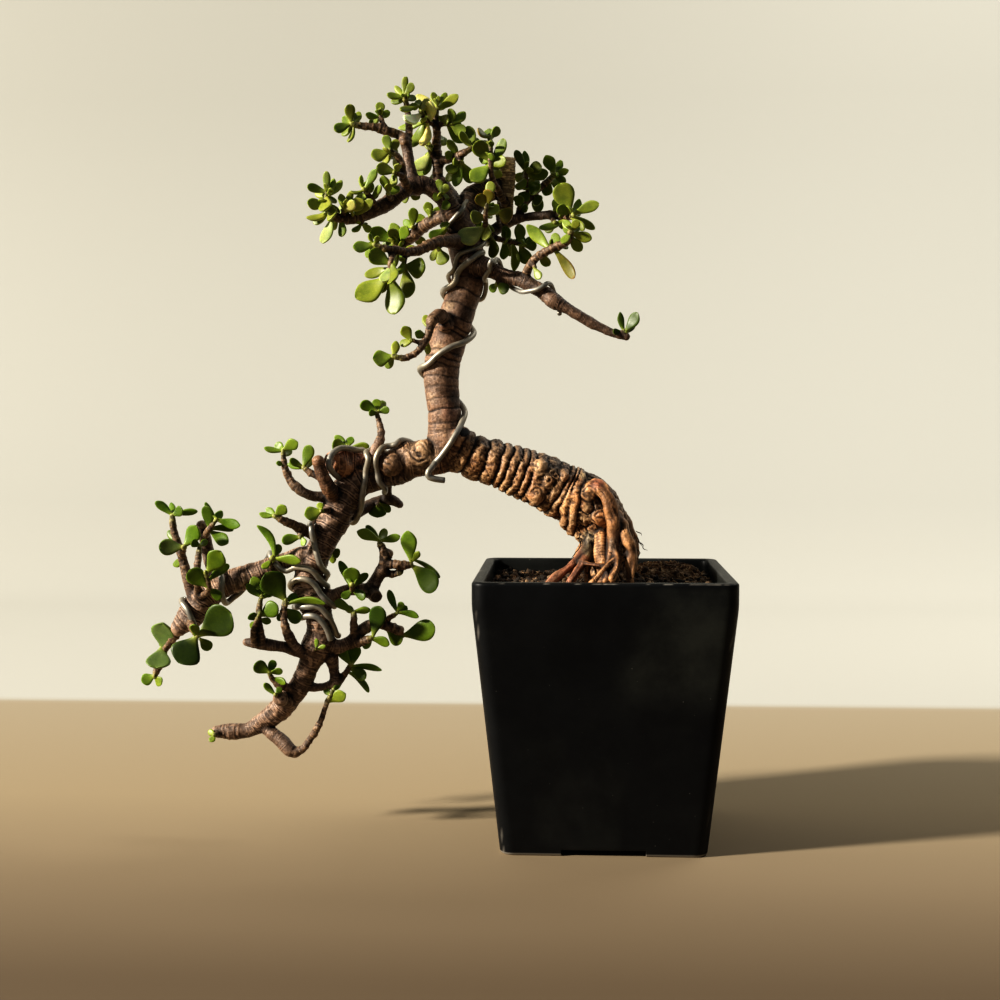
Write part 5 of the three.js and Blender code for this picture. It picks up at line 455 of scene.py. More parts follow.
# Each row is one wire: a name, its radius, then the points of its route.
WIRE_ROWS = """
wire_trunk 1.7, -79.5 -21 181, -83 -22 181.5, -86.5 -23 182.5, -88 -23 184, -85.5 -23 187, -82 -19 192,
-77 -20.5 198.5, -73.5 -18.5 204.5, -70.5 -15 209.5, -69.5 -9 214, -71 -3 217.5, -73.5 0 220,
-79.5 3.5 224.5, -85.5 3.5 229.5, -90 1 232.5, -92 -5 236, -88 -15 239, -83 -16.5 243.5, -76.5 -16 247.5,
-70 -12 250, -66.5 -5 254, -67.5 3.5 258, -72.5 7 263, -77.5 6 268.5, -78.5 1.5 272.5, -77 -8 276.5,
-74.5 -11.5 280, -73.5 -11.5 284.5, -69 -14 289, -64.5 -14 292, -60.5 -10 295
wire_crown 1.3, -21 -23.5 265.5, -23.5 -18 270.5, -25.5 -19 275.5, -28 -23 277.5, -31.5 -26.5 275.5,
-36.5 -25 274.5, -42 -19.5 274.5, -45.5 -14.5 276, -48.5 -10 281, -51.5 -8 286.5, -54 -12.5 290,
-56 -26.5 288.5, -57.5 -17.5 285, -59.5 -5.5 280.5, -62 -2.5 274.5, -68.5 6.5 272.5, -75.5 5.5 276.5,
-77 0 282, -76 -10.5 286.5, -74.5 -10 290.5, -72 -10.5 294, -66.5 -10.5 296, -62 -6.5 298.5,
-63.5 13.5 306.5, -71 14.5 308, -79 13.5 306, -81.5 -3.5 306.5, -78 -9 309, -74 -11 313, -71 -8.5 317,
-69.5 3.5 323
wire_limb_a 1.7, -88 0 185, -93 2 192.5, -97.5 -2 199, -101.5 -8 200.5, -104.5 -15 199, -109 -15 198.5,
-112 -18.5 196, -114 -19.5 191, -113.5 -17 185, -112.5 -16 179.5, -110 -15.5 174.5, -110.5 -7.5 171
wire_limb_b 1.7, -105.5 2 185, -109 -0.5 191.5, -113 -12 196, -116.5 -8.5 196.5, -117.5 -20 192,
-119 -18 186, -120 -18 179, -121.5 -16 172, -126 -7 164, -132.5 2 162.5, -139 -2 163.5, -145 -8.5 164,
-148.5 -13 160.5, -146 -23.5 156, -145 -22 150, -143.5 -23 144, -142 -22 138.5, -142 -13 133,
-143.5 -6.5 127, -151 -5 123.5, -156.5 -8.5 124, -158 -16 127.5, -150.5 -23.5 131.5, -145 -23 129,
-141.5 -21.5 123.5, -140 -13 118.5, -141.5 -7.5 112.5, -148.5 -9 111, -151.5 -16 111, -147.5 -24 113,
-143 -24.5 112, -139 -23.5 107, -137 -21.5 100.5
wire_limb_c 1.7, -133 -16.5 182, -135.5 -21 185, -137 -24.5 189, -136 -21.5 193.5, -133 -17.5 196.5,
-128.5 -13.5 197, -124 -11 196, -121 -0.5 193.5, -116.5 0.5 190, -114 3 183.5
wire_limb_d 1.7, -206.5 -18 105, -207.5 -21 110, -209.5 -21 115, -212 -7 118.5, -207.5 -7.5 124.5,
-203 -3 130.5, -195.5 -13 133.5, -192 -21 130.5, -192.5 -21 125, -192 -13 119, -187.5 -9.5 121,
-181 -5.5 129, -174.5 -6 136, -168 -13 140, -163.5 -21 137.5, -160.5 -20 135, -153.5 -21.5 137,
-146.5 -23 136, -142 -20.5 130.5, -140.5 -13 124.5, -140.5 -8.5 119, -148 -6.5 116.5, -153 -16 118,
-149 -24 117.5, -143 -24 117.5, -138 -22.5 112.5, -135 -19 105, -133 -14.5 99
"""

# Each row is one hair-fine root on the trunk's foot.
HAIR_ROWS = """
17 -9 155.5, 18.5 -9 154.5, 19.5 -9 152.5
17.5 -9 150.5, 19.5 -9 148, 22 -9 145
16.5 -9 152.5, 18.5 -9 150, 19 -9 147.5
-10.5 -9 155.5, -12 -9 152, -11.5 -9 148, -13 -9 144
-10 -9 153, -12 -9 149, -11 -9 144.5
-9.5 -9 148, -13 -9 145, -16 -9 141
-8.5 -9 146, -12 -9 142.5, -14.5 -9 141.5, -17 -9 138.5
16 -9 146.5, 18 -9 144, 17.5 -9 140.5
"""

# Round swellings under the bark: x y z of the middle, then the radius.
BURLS = [
    (-32, -11, 187, 5.5),
    (-33.5, -11, 173, 5.5),
    (-20.5, -10.5, 182.5, 4.5),
    (-6.5, -11.5, 175, 6),
    (-2.5, -11, 162.5, 6),
    (-79, -13, 258.5, 4.5),
    (-142, -25.5, 190.5, 3.4),
    (-162, -23.5, 70.5, 4),
    (-107, -14, 189, 7),
    (-90, -13, 196, 6),
    (-206, -4, 156.5, 3.2),
    (-131, -14, 187, 6),
    (-72.5, -12.5, 201, 8),
]

# Eyes in the bark with rings round them: x y z, reach, how far they rise, and from ring to ring.
ROSETTES = [
    (-31.5, -14, 187.5, 5.8, 0.9, 1.9),
    (-33.5, -14.5, 174, 6.4, 1, 2.1),
    (-20, -13, 182.5, 3.6, 0.8, 1.7),
    (-24, -14.5, 183, 2.6, 0.6, 1.6),
    (-6.5, -15, 175, 6.5, 0.6, 2.6),
    (-1, -14.5, 162.5, 6.5, 0.5, 2.4),
    (-79, -16, 258.5, 4.5, 0.9, 2.2),
    (-161.5, -26, 71, 3.2, 0.6, 1.6),
    (-92, -17, 195, 9.5, 0.6, 2.7),
    (-106.5, -18.5, 189.5, 6.5, 0.3, 2.4),
    (-205.5, -6, 156.5, 2.4, 0.4, 1.3),
    (-27.5, -15.5, 181, 4.2, 0.9, 1.8),
]

# Stained or bare places on the bark, and painted shade and light: x y z of the middle, reach, then the
# colour.
STAINS_AND_PAINTED_SHADING = [
    (-130.5, -18, 188, 6, 0.27, 0.135, 0.06),
    (-126.5, -15, 187, 6, 0.22, 0.115, 0.06),
    (-134, -21.5, 177.5, 5, 0.05, 0.035, 0.025),
    (-106.5, -18.5, 189, 7, 0.13, 0.08, 0.045),
    (-108, -17, 186, 3, 0.02, 0.015, 0.012),
    (-92, -17, 194.5, 11, 0.25, 0.17, 0.1),
    (-100, -17.5, 192, 9, 0.22, 0.145, 0.09),
    (-88.5, -15.5, 197.5, 2.5, 0.07, 0.045, 0.03),
    (-79, -16, 258.5, 4, 0.1, 0.055, 0.035),
    (-3.5, -14.5, 167, 5, 0.1, 0.06, 0.035),
    (-6, -15, 175, 3, 0.08, 0.05, 0.03),
    (-3.5, -16.5, 180, 5, 0.2, 0.075, 0.04),
    (-9, -9, 182, 4, 0.3, 0.22, 0.12),
    (-1, -14.5, 161, 6, 0.28, 0.14, 0.06),
    (-7.5, -11.5, 150.5, 6, 0.15, 0.125, 0.08),
    (-6.5, -13.5, 144.5, 6, 0.16, 0.135, 0.085),
    (6, -20, 149, 5, 0.12, 0.08, 0.05),
    (-32, -14.5, 187, 5, 0.34, 0.22, 0.12),
    (-14.5, -15.5, 171, 6, 0.36, 0.18, 0.08),
    (-18, -15, 168.5, 6, 0.36, 0.2, 0.09),
    (-79.5, -17, 206, 5, 0.24, 0.15, 0.09),
    (-77, -15.5, 215, 6, 0.24, 0.14, 0.095),
    # Painted shade down the right side of the upright trunk, then painted light down its left side.
    (-71.5, -5.5, 234, 6, 0.06, 0.036, 0.024),
    (-74, -12, 222, 6, 0.06, 0.036, 0.024),
    (-69, -11, 265, 6, 0.065, 0.038, 0.025),
    (-74, -12, 245, 4, 0.06, 0.036, 0.026),
    (-83.5, -13.5, 247.5, 4, 0.3, 0.2, 0.12),
    (-78, -11, 268.5, 4, 0.28, 0.19, 0.11),
    (-86.5, -13.5, 222, 4, 0.27, 0.185, 0.12),
]

# Pale chips on the front of the pot's rim: from x to x, and how bare they are.
RIM_CHIPS = [
    (-28.8, -26.5, 0.7),
    (-14.2, -11.9, 0.8),
    (-5.3, -2, 0.9),
    (-1.1, 5.1, 0.9),
    (20.1, 21, 0.6),
    (28, 31.3, 0.8),
    (39.7, 46.3, 0.5),
    (47.2, 54.6, 0.6),
    (55.6, 62.1, 0.5),
    (-49.6, -47.7, 0.5),
]


def rows(text):
    return text.strip().replace(",\n", ",").splitlines()


def named_rows(text):
    return [row.split(" ", 1) for row in rows(text)]


def numbers(text):
    return [[float(word) for word in group.split()] for group in text.split(",")]


WOOD = {name: np.array(numbers(rest)) for name, rest in named_rows(WOOD_ROWS)}

SPRAYS = {}
for head, rest in named_rows(SPRAY_ROWS):
    if head == "spray":
        current = SPRAYS[rest] = {"twigs": [], "leaves": []}
    elif head == "twig":
        current["twigs"].append(np.array(numbers(rest)))
    else:
        current["leaves"] += numbers(rest)

# ---- Numbers and noise --------------------------------------------------------------------------

# Farther than anything that is looked for.
FAR_OFF = 9.0


def unit(v):
    v = np.asarray(v, float)
    return v / np.maximum(np.linalg.norm(v, axis=-1, keepdims=True), 1e-9)


def smoothstep(low, high, x):
    t = np.clip((x - low) / (high - low), 0, 1)
    return t * t * (3 - 2 * t)


def bell(distance, width):
    """1 in the middle, falling to almost nothing at twice the width."""
    return np.exp(-(distance / width) ** 2)


def lattice(ix, iy, iz, seed):
    """A fixed number between -1 and 1 for each point of a lattice."""
    h = (ix * 73856093) ^ (iy * 19349663) ^ (iz * 83492791) ^ (seed * 2654435761)
    h = (h ^ (h >> 13)) * 1274126177 & 0xFFFFFFFF
    h = (h ^ (h >> 16)) & 0xFFFF
    return h / 32767.5 - 1


def lucky(ix, iy, iz, seed, count):
    """Several such numbers for one point, each with a seed of its own."""
    return [lattice(ix, iy, iz, seed + k) for k in range(count)]


def noise(points, size, seed):
    """Smooth noise between -1 and 1 whose bumps are about size across."""
    q = np.asarray(points, float) / size
    cell = np.floor(q).astype(np.int64)
    f = q - cell
    f = f * f * (3 - 2 * f)
    total = 0
    for step in product((0, 1), repeat=3):
        wx, wy, wz = np.where(step, f, 1 - f).T
        total = total + lattice(*(cell + step).T, seed) * wx * wy * wz
    return total


def rough(points, size, seed, octaves=3):
    """Several sizes of noise added up."""
    return sum(0.5 ** i * noise(points, size / 2 ** i, seed + 17 * i) for i in range(octaves))


def plates(points, size, seed):
    """0 on the cracks between plates of dried bark, larger towards the middle of each plate."""
    q = np.asarray(points, float) / size
    cell = np.floor(q).astype(np.int64)
    first, second = np.full((2, len(q)), FAR_OFF)
    for step in product((-1, 0, 1), repeat=3):
        c = cell + step
        heart = c + 0.5 + 0.42 * np.stack(lucky(*c.T, seed, 3), 1)
        gap = np.linalg.norm(q - heart, axis=1)
        second = np.minimum(second, np.maximum(first, gap))
        first = np.minimum(first, gap)
    return second - first


def spline(points, step):
    """Even steps along a centripetal Catmull-Rom curve; columns past the third ride along."""
    points = np.asarray(points, float)
    if len(points) == 2:
        points = np.array([points[0], points.mean(0), points[1]])
    ends = np.vstack([2 * points[0] - points[1], points, 2 * points[-1] - points[-2]])
    dense = []
    for i in range(1, len(ends) - 2):
        four = ends[i - 1:i + 3]
        gaps = [max(np.linalg.norm((b - a)[:3]), 1e-6) ** 0.5 for a, b in zip(four, four[1:])]
        times = [0, *np.cumsum(gaps)]
        t = np.linspace(times[1], times[2], 16, endpoint=False)[:, None]

        def between(j, k, a, b):
            return (times[k] - t) / (times[k] - times[j]) * a + (t - times[j]) / (times[k] - times[j]) * b

        threes = [between(j, j + 1, four[j], four[j + 1]) for j in range(3)]
        twos = [between(j, j + 2, threes[j], threes[j + 1]) for j in range(2)]
        dense.append(between(1, 2, *twos))
    dense = np.vstack(dense + [ends[-2][None]])
    travelled = np.concatenate([[0], np.cumsum(np.linalg.norm(np.diff(dense[:, :3], axis=0), axis=1))])
    count = max(2, round(travelled[-1] / step))
    wanted = np.linspace(0, travelled[-1], count + 1)
    columns = [np.interp(wanted, travelled, dense[:, k]) for k in range(dense.shape[1])]
    return np.stack(columns, 1), wanted


# ---- Meshes -------------------------------------------------------------------------------------


def carried_sides(centres):
    """Directions along a curve, and a side direction carried along it without twisting."""
    along = unit(np.gradient(centres, axis=0))
    side = np.array([0, -1.0, 0]) if abs(along[0][1]) < 0.8 else np.array([0, 0, 1.0])
    sides = []
    for direction in along:
        side = unit(side - direction * np.dot(side, direction))
        sides.append(side)
    return along, np.array(sides)


def circle(count):
    turn = np.linspace(0, 2 * math.pi, count, endpoint=False)
    return np.cos(turn), np.sin(turn)


def rings_round(centres, sizes, side, across, count):
    """A circle of points round each centre of a route."""
    x, y = (v[None, :, None] for v in circle(count))
    rings = centres[:, None] + sizes[:, None, None] * (x * side[:, None] + y * across[:, None])
    return rings.reshape(-1, 3)


def walls(rings, sides):
    """Quads that join rings of points, each listed after the one before."""
    corners = [(i * sides + j, i * sides + (j + 1) % sides) for i in range(rings - 1) for j in range(sides)]
    return [[a, b, b + sides, a + sides] for a, b in corners]


def closed_walls(rings, sides):
    """The same, with a face over each end."""
    last = (rings - 1) * sides
    return walls(rings, sides) + [list(range(sides))[::-1], list(range(last, last + sides))]


def mesh_object(name, vertices, faces, material, smooth=True):
    """An object from points in millimetres round the pot's axis, and lists of the points of each face."""
    mesh = bpy.data.meshes.new(name)
    mesh.from_pydata((np.asarray(vertices) * MM + AXIS).tolist(), [], faces)
    mesh.polygons.foreach_set("use_smooth", [smooth] * len(mesh.polygons))
    mesh.materials.append(material)
    mesh.update()
    piece = bpy.data.objects.new(name, mesh)
    bpy.context.scene.collection.objects.link(piece)
    return piece


def put_values(piece, **attributes):
    """One number or one colour for each vertex, which the piece's material reads."""
    for name, values in attributes.items():
        values = np.asarray(values, np.float32)
        if values.ndim == 1:
            attribute = piece.data.attributes.new(name, "FLOAT", "POINT")
            attribute.data.foreach_set("value", values)
        else:
            attribute = piece.data.attributes.new(name, "FLOAT_COLOR", "POINT")
            colours = np.concatenate([values, np.ones((len(values), 1), np.float32)], 1)
            attribute.data.foreach_set("color", colours.ravel())


def carried(piece, slot, *nodes):
    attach(piece, "root")
    if nodes:
        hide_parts(*nodes)


class Gathered:
    """Small closed meshes put together in one object."""

    def __init__(self):
        self.points, self.faces, self.values, self.count = [], [], {}, 0

    def add(self, points, faces, **values):
        self.points.append(points)
        self.faces += [[v + self.count for v in face] for face in faces]
        self.count += len(points)
        for name, value in values.items():
            self.values.setdefault(name, []).append(value)

    def piece(self, name, material):
        piece = mesh_object(name, np.concatenate(self.points), self.faces, material)
        put_values(piece, **{key: np.concatenate(parts) for key, parts in self.values.items()})
        return piece


def painted(points, colour):
    """One colour or shade for every point."""
    return np.full((len(points), 3), colour)


# ---- Materials ----------------------------------------------------------------------------------


class Nodes:
    """A short way to write a material's node tree."""

    def __init__(self, name):
        self.material = bpy.data.materials.new(name)
        self.material.use_nodes = True
        self.tree = self.material.node_tree
        self.shader = self.tree.nodes["Principled BSDF"]

    def add(self, kind, inputs, **settings):
        node = self.tree.nodes.new(kind)
        for key, value in settings.items():
            setattr(node, key, value)
        for key, value in inputs.items():
            self.feed(node.inputs[key], value)
        return node.outputs

    def feed(self, socket, value):
        if isinstance(value, bpy.types.NodeSocket):
            self.tree.links.new(value, socket)
        else:
            socket.default_value = value

    def surface(self, **inputs):
        for key, value in inputs.items():
            self.feed(self.shader.inputs[key.replace("_", " ")], value)
        return self.material

    def place(self):
        return self.add("ShaderNodeTexCoord", {})["Object"]

    def value(self, name):
        return self.add("ShaderNodeAttribute", {}, attribute_name=name)["Fac"]

    def colour(self, name):
        return self.add("ShaderNodeAttribute", {}, attribute_name=name)["Color"]

    def noise(self, scale, detail, roughness):
        inputs = {"Vector": self.place(), "Scale": scale, "Detail": detail, "Roughness": roughness}
        return self.add("ShaderNodeTexNoise", inputs)["Fac"]

    def cells(self, scale):
        return self.add("ShaderNodeTexVoronoi", {"Vector": self.place(), "Scale": scale})["Distance"]

    def ramp(self, fac, *stops):
        node = self.tree.nodes.new("ShaderNodeValToRGB")
        self.feed(node.inputs["Fac"], fac)
        elements = node.color_ramp.elements
        while len(elements) < len(stops):
            elements.new(0.5)
        for element, (position, colour) in zip(elements, stops):
            element.position = position
            element.color = (*colour, 1) if isinstance(colour, tuple) else (colour, colour, colour, 1)
        return node.outputs["Color"]

    def mix(self, fac, a, b, how="MIX"):
        # Of a mix node's sockets, 6 and 7 are the two colours that go in, and 2 is the one that comes out.
        a, b = ((*v, 1) if isinstance(v, tuple) else v for v in (a, b))
        return self.add("ShaderNodeMix", {0: fac, 6: a, 7: b}, data_type="RGBA", blend_type=how)[2]

    def times(self, a, b):
        return self.mix(1.0, a, b, "MULTIPLY")

    def math(self, how, a, b, c=0.5):
        return self.add("ShaderNodeMath", {0: a, 1: b, 2: c}, operation=how)[0]

    def bump(self, height, strength, distance):
        inputs = {"Height": height, "Strength": strength, "Distance": distance}
        return self.add("ShaderNodeBump", inputs)["Normal"]


def bark_material():
    n = Nodes("bark")
    tint, relief = n.colour("tint"), n.value("relief")
    grain = n.noise(900, 5, 0.65)
    # worn is the painted shade of relief with grain added: grooves and hollows go dark, sharp ridges pale.
    worn = n.math("ADD", relief, n.math("MULTIPLY_ADD", grain, 0.5, -0.25))
    shades = (0.09, 0.072, 0.066), (0.68, 0.62, 0.58), (2.3, 2.25, 2.2)
    dark, mid, pale = (n.times(tint, shade) for shade in shades)
    low = n.mix(n.ramp(worn, (0.10, 0), (0.48, 1)), dark, mid)
    full = n.mix(n.ramp(worn, (0.54, 0), (0.92, 1)), low, pale)
    blotch = n.ramp(n.noise(140, 4, 0.6), (0.4, 0), (0.75, 0.25))
    patched = n.mix(blotch, full, n.times(full, (0.45, 0.42, 0.4)))
    flecks = n.ramp(n.noise(620, 4, 0.7), (0.60, 0), (0.68, 0.55))
    flecked = n.mix(n.math("MULTIPLY", flecks, relief), patched, n.times(tint, (2.3, 2.4, 2.5)))
    return n.surface(Base_Color=flecked, Roughness=n.ramp(worn, (0.2, 0.72), (0.9, 0.38)),
                     Specular_IOR_Level=0.5, Normal=n.bump(grain, 0.75, 0.0006))


def leaf_material():
    n = Nodes("jade_leaf")
    tint = n.colour("tint")
    speckle = n.noise(1700, 3, 0.7)
    cloud = n.noise(150, 4, 0.6)
    varied = n.mix(n.ramp(cloud, (0.32, 0.0), (0.72, 0.7)), tint, n.times(tint, (1.75, 1.5, 1.4)))
    shaded = n.mix(n.ramp(cloud, (0.25, 0.5), (0.45, 0.0)), varied, n.times(tint, (0.55, 0.6, 0.6)))
    dotted = n.mix(n.ramp(speckle, (0.55, 0.0), (0.66, 0.45)), shaded, n.times(shaded, (1.7, 1.55, 1.8)))
    # The paler edge is partly the leaf's own colour and partly painted light shining through the thin rim.
    edged = n.mix(n.ramp(n.value("rim"), (0.45, 0.0), (1.0, 0.75)), dotted, n.colour("edge"))
    return n.surface(Base_Color=edged, Roughness=n.ramp(speckle, (0.3, 0.36), (0.7, 0.5)),
                     Subsurface_Weight=0.3, Subsurface_Radius=(0.0018, 0.0026, 0.0006),
                     Subsurface_Scale=1.0, Specular_IOR_Level=0.3, Coat_Weight=0.05,
                     Coat_Roughness=0.3, Normal=n.bump(n.noise(420, 3, 0.5), 0.25, 0.0003))


def wire_material():
    n = Nodes("aluminium_wire")
    scuffs = n.noise(240, 5, 0.7)
    dust = n.ramp(n.noise(60, 3, 0.5), (0.42, 0), (0.66, 0.65))
    colour = n.ramp(scuffs, (0.25, (0.21, 0.205, 0.19)), (0.55, (0.37, 0.355, 0.315)),
                    (0.8, (0.56, 0.52, 0.44)))
    return n.surface(Base_Color=n.mix(dust, colour, (0.40, 0.34, 0.24)), Metallic=0.65,
                     Roughness=n.ramp(scuffs, (0.3, 0.42), (0.75, 0.62)),
                     Normal=n.bump(scuffs, 0.25, 0.0002))


def glaze_material():
    n = Nodes("black_glaze")
    cloud = n.noise(38, 5, 0.62)
    base = n.mix(n.ramp(cloud, (0.35, 0), (0.75, 1)), (0.0062, 0.0068, 0.0078), (0.0105, 0.0115, 0.0125))
    specks = n.ramp(n.cells(210), (0.0, 1), (0.06, 0))
    gathered = n.ramp(n.noise(75, 3, 0.6), (0.52, 0.06), (0.66, 0.7))
    speckled = n.mix(n.math("MULTIPLY", specks, gathered), base, (0.42, 0.40, 0.35))
    # Real dust and the painted sheen on the front, both in the dust values, mix the glaze towards grey.
    grime_and_sheen = n.math("MULTIPLY", n.ramp(cloud, (0.35, 0.25), (0.7, 1)), n.value("dust"))
    chipped = n.mix(n.value("chip"), n.mix(grime_and_sheen, speckled, (0.13, 0.135, 0.105)), (0.5, 0.46, 0.4))
    return n.surface(Base_Color=chipped, Roughness=n.ramp(n.noise(1400, 3, 0.6), (0.3, 0.36), (0.75, 0.52)),
                     Specular_IOR_Level=0.2, Normal=n.bump(n.noise(260, 4, 0.6), 0.12, 0.0004))


def soil_material():
    n = Nodes("soil")
    crumbs = n.cells(520)
    tone = n.noise(210, 5, 0.7)
    colour = n.ramp(tone, (0.3, (0.020, 0.014, 0.009)), (0.5, (0.054, 0.038, 0.025)),
                    (0.72, (0.100, 0.076, 0.050)))
    shaded = n.mix(n.ramp(crumbs, (0.1, 0.0), (0.6, 0.5)), colour, (0.03, 0.022, 0.016))
    return n.surface(Base_Color=n.times(shaded, n.colour("tint")), Roughness=0.92,
                     Normal=n.bump(n.math("ADD", crumbs, tone), 0.9, 0.0009))


def screen_material():
    n = Nodes("drain_screen")
    scuffs = n.noise(500, 4, 0.6)
    return n.surface(Base_Color=n.ramp(scuffs, (0.3, (0.012, 0.02, 0.014)), (0.75, (0.03, 0.045, 0.034))),
                     Roughness=n.ramp(scuffs, (0.3, 0.5), (0.7, 0.75)), Normal=n.bump(scuffs, 0.3, 0.0002))


# From the front of the table to the top of the wall; the edge between the two is at 0.475.
STAGE_STOPS = [(0.252, (0.135, 0.096, 0.056)), (0.304, (0.25, 0.190, 0.119)), (0.364, (0.335, 0.264, 0.168)),
               (0.472, (0.35, 0.292, 0.206)), (0.478, (0.483, 0.478, 0.438)), (0.66, (0.462, 0.458, 0.420)),
               (0.74, (0.447, 0.444, 0.408)), (0.80, (0.41, 0.407, 0.373)), (0.84, (0.385, 0.383, 0.352)),
               (0.98, (0.362, 0.362, 0.334))]


def stage_material():
    n = Nodes("pale_studio")
    depth = n.add("ShaderNodeSeparateXYZ", {"Vector": n.place()})["Y"]
    share = n.math("MULTIPLY_ADD", depth, 0.4, 0.34)
    return n.surface(Base_Color=n.ramp(share, *STAGE_STOPS), Roughness=0.9)


# ---- Wood: one skin over every branch, then bark pressed into it ----------------------------------

# The skin's grid step, how softly branches run into each other, and from sample to sample along a limb.
CELL = 0.58
BLEND = 0.38
SAMPLE_STEP = 1.2
# A burl's size as a share of its radius, and how far past it the grid is looked at.
BURL_SIZE = 0.9
BURL_PAD = 3
# How far off a limb its bark still counts, the margin of the box that is looked through for it, and how
# many points are looked at in one go.
BARK_REACH = 2.4
BARK_MARGIN = 2.5
CHUNK = 4000
# How far along its own direction the wood goes on past the last point of a sawn stub.
FLAT_ENDS = {"stub_left": 0.0, "stub_r1": 0.0, "stub_cut": 0.25, "stub_spur": 0.3}
# The cascade is left of and below these. The crown's wood is above the first of the next three, or
# right of the second and above the third. Leaves cross each other from the last one up.
CASCADE_RIGHT = -86
CASCADE_TOP = 218.5
CROWN_WOOD = 284.5
RIGHT_OF_NECK = -62
FORK_TOP = 243.5
CROWN_FOOT = 288

TAN = (0.30, 0.205, 0.115)
COPPER = (0.215, 0.110, 0.050)
GREYED = (0.085, 0.062, 0.045)
UMBER = (0.15, 0.082, 0.045)
PINKISH = (0.205, 0.118, 0.068)
BROWN = (0.172, 0.115, 0.080)
# Painted shade: a near-black brown for limbs and twigs that stand in shadow.
PAINTED_SHADE_DARK = (0.072, 0.050, 0.034)
# stub_cut's olive brown, made much paler as painted light, since the stub stands in shade among the leaves.
OLIVE_PAINTED_LIGHT = (0.60, 0.45, 0.25)
# Painted shade: a dark umber for limbs whose shaded sides look near black.
PAINTED_SHADE_UMBER = (0.105, 0.066, 0.043)
ORANGE = (0.36, 0.200, 0.092)
RUDDY = (0.26, 0.115, 0.065)
TWIG_BROWN = (0.14, 0.090, 0.053)
GREEN_STEM = (0.17, 0.2, 0.045)
# Limbs that are darker or redder than the rest: some are their own colour, the darkest are painted shade,
# and stub_cut's paler colour is painted light.
LIMB_COLOURS = {"stub_left": RUDDY, "stub_cut": OLIVE_PAINTED_LIGHT}
for colour, names in (
    (UMBER, "stub_spur junction_left"),
    (PAINTED_SHADE_DARK, "twig_e twig_e_link twig_b_base limb_back_left limb_right_back limb_centre stub_r1"),
    (PAINTED_SHADE_UMBER, "limb_main_right limb_right twig_t_base limb_up limb_left"),
):
    LIMB_COLOURS.update(dict.fromkeys(names.split(), colour))
ROOTS_RUDDY = ("root_left", "root_left_low", "root_bar")
ROOTS_DULL = ("root_left", "root_left_low", "root_centre_left", "root_right_side", "root_back_right",
              "root_back")

# Distance from the trunk's foot to each groove between two rings of the leaning part, and its depth.
GROOVES = np.array([
    (38.5, 0.3), (51.2, 1.0), (55.8, 0.6), (60.2, 1.35), (64.7, 1.2), (70.3, 0.6), (75.6, 0.6),
    (80.5, 1.1), (84.3, 1.1), (88.6, 1.15), (93.5, 1.2), (97.8, 1.3), (105, 1.5), (113.3, 1.5),
    (119.5, 0.7), (127, 0.4),
])
# The same on the upright part, where they are thin lines, and how wide the lines are.
LINES = [
    (131, 0.35), (135.5, 0.3), (141.5, 0.55), (147, 0.25), (153, 0.2), (158, 0.3), (164.5, 0.25),
    (168, 0.45), (171.5, 0.3), (182, 0.5), (184.5, 0.4), (189.5, 0.35), (196, 0.25), (203.5, 0.45),
    (210, 0.2), (217, 0.35),
]
LINE_WIDTH = 0.42
# Below this distance the rings stop following the bend and stay nearly upright.
RING_TURN = 56
UPRIGHT_RINGS = np.array([-0.985, 0, 0.17])
# Where the leaning part goes over into the upright part, and where the cracked foot ends.
LEAN_END = (116, 128)
FOOT_END = (50.4, 51.6)


class Spots:
    """Points on a limb's bark: u along it, angle round it, and the noises that every kind of bark uses."""

    def __init__(self, limb, u, angle, radius, at, upward):
        self.limb, self.u, self.angle, self.radius, self.at, self.upward = limb, u, angle, radius, at, upward
        self.wander = rough(self.unrolled(0.4), 7, limb.seed, 2)
        self.crumb = rough(at, 1.6, 5, 3)
        self.lump = noise(at, 6, 11)

    def unrolled(self, stretch, squeeze=1):
        """Coordinates for noise that is drawn out along the limb or round it."""
        x, y = (turn(self.angle) * self.radius * squeeze for turn in (np.cos, np.sin))
        return np.stack([x, y, self.u * stretch], 1)


def blend_colours(low, high, share):
    return np.asarray(low) + (np.asarray(high) - np.asarray(low)) * np.asarray(share)[:, None]


def groove(gap):
    """A narrow groove with rounded shoulders."""
    return -(0.62 * bell(gap, 1) + 0.38 * bell(gap, 3.2))


def fissures(grained, size, width):
    """1 along thin winding cracks."""
    return smoothstep(width, 0.02, np.abs(noise(grained, size, 21)))


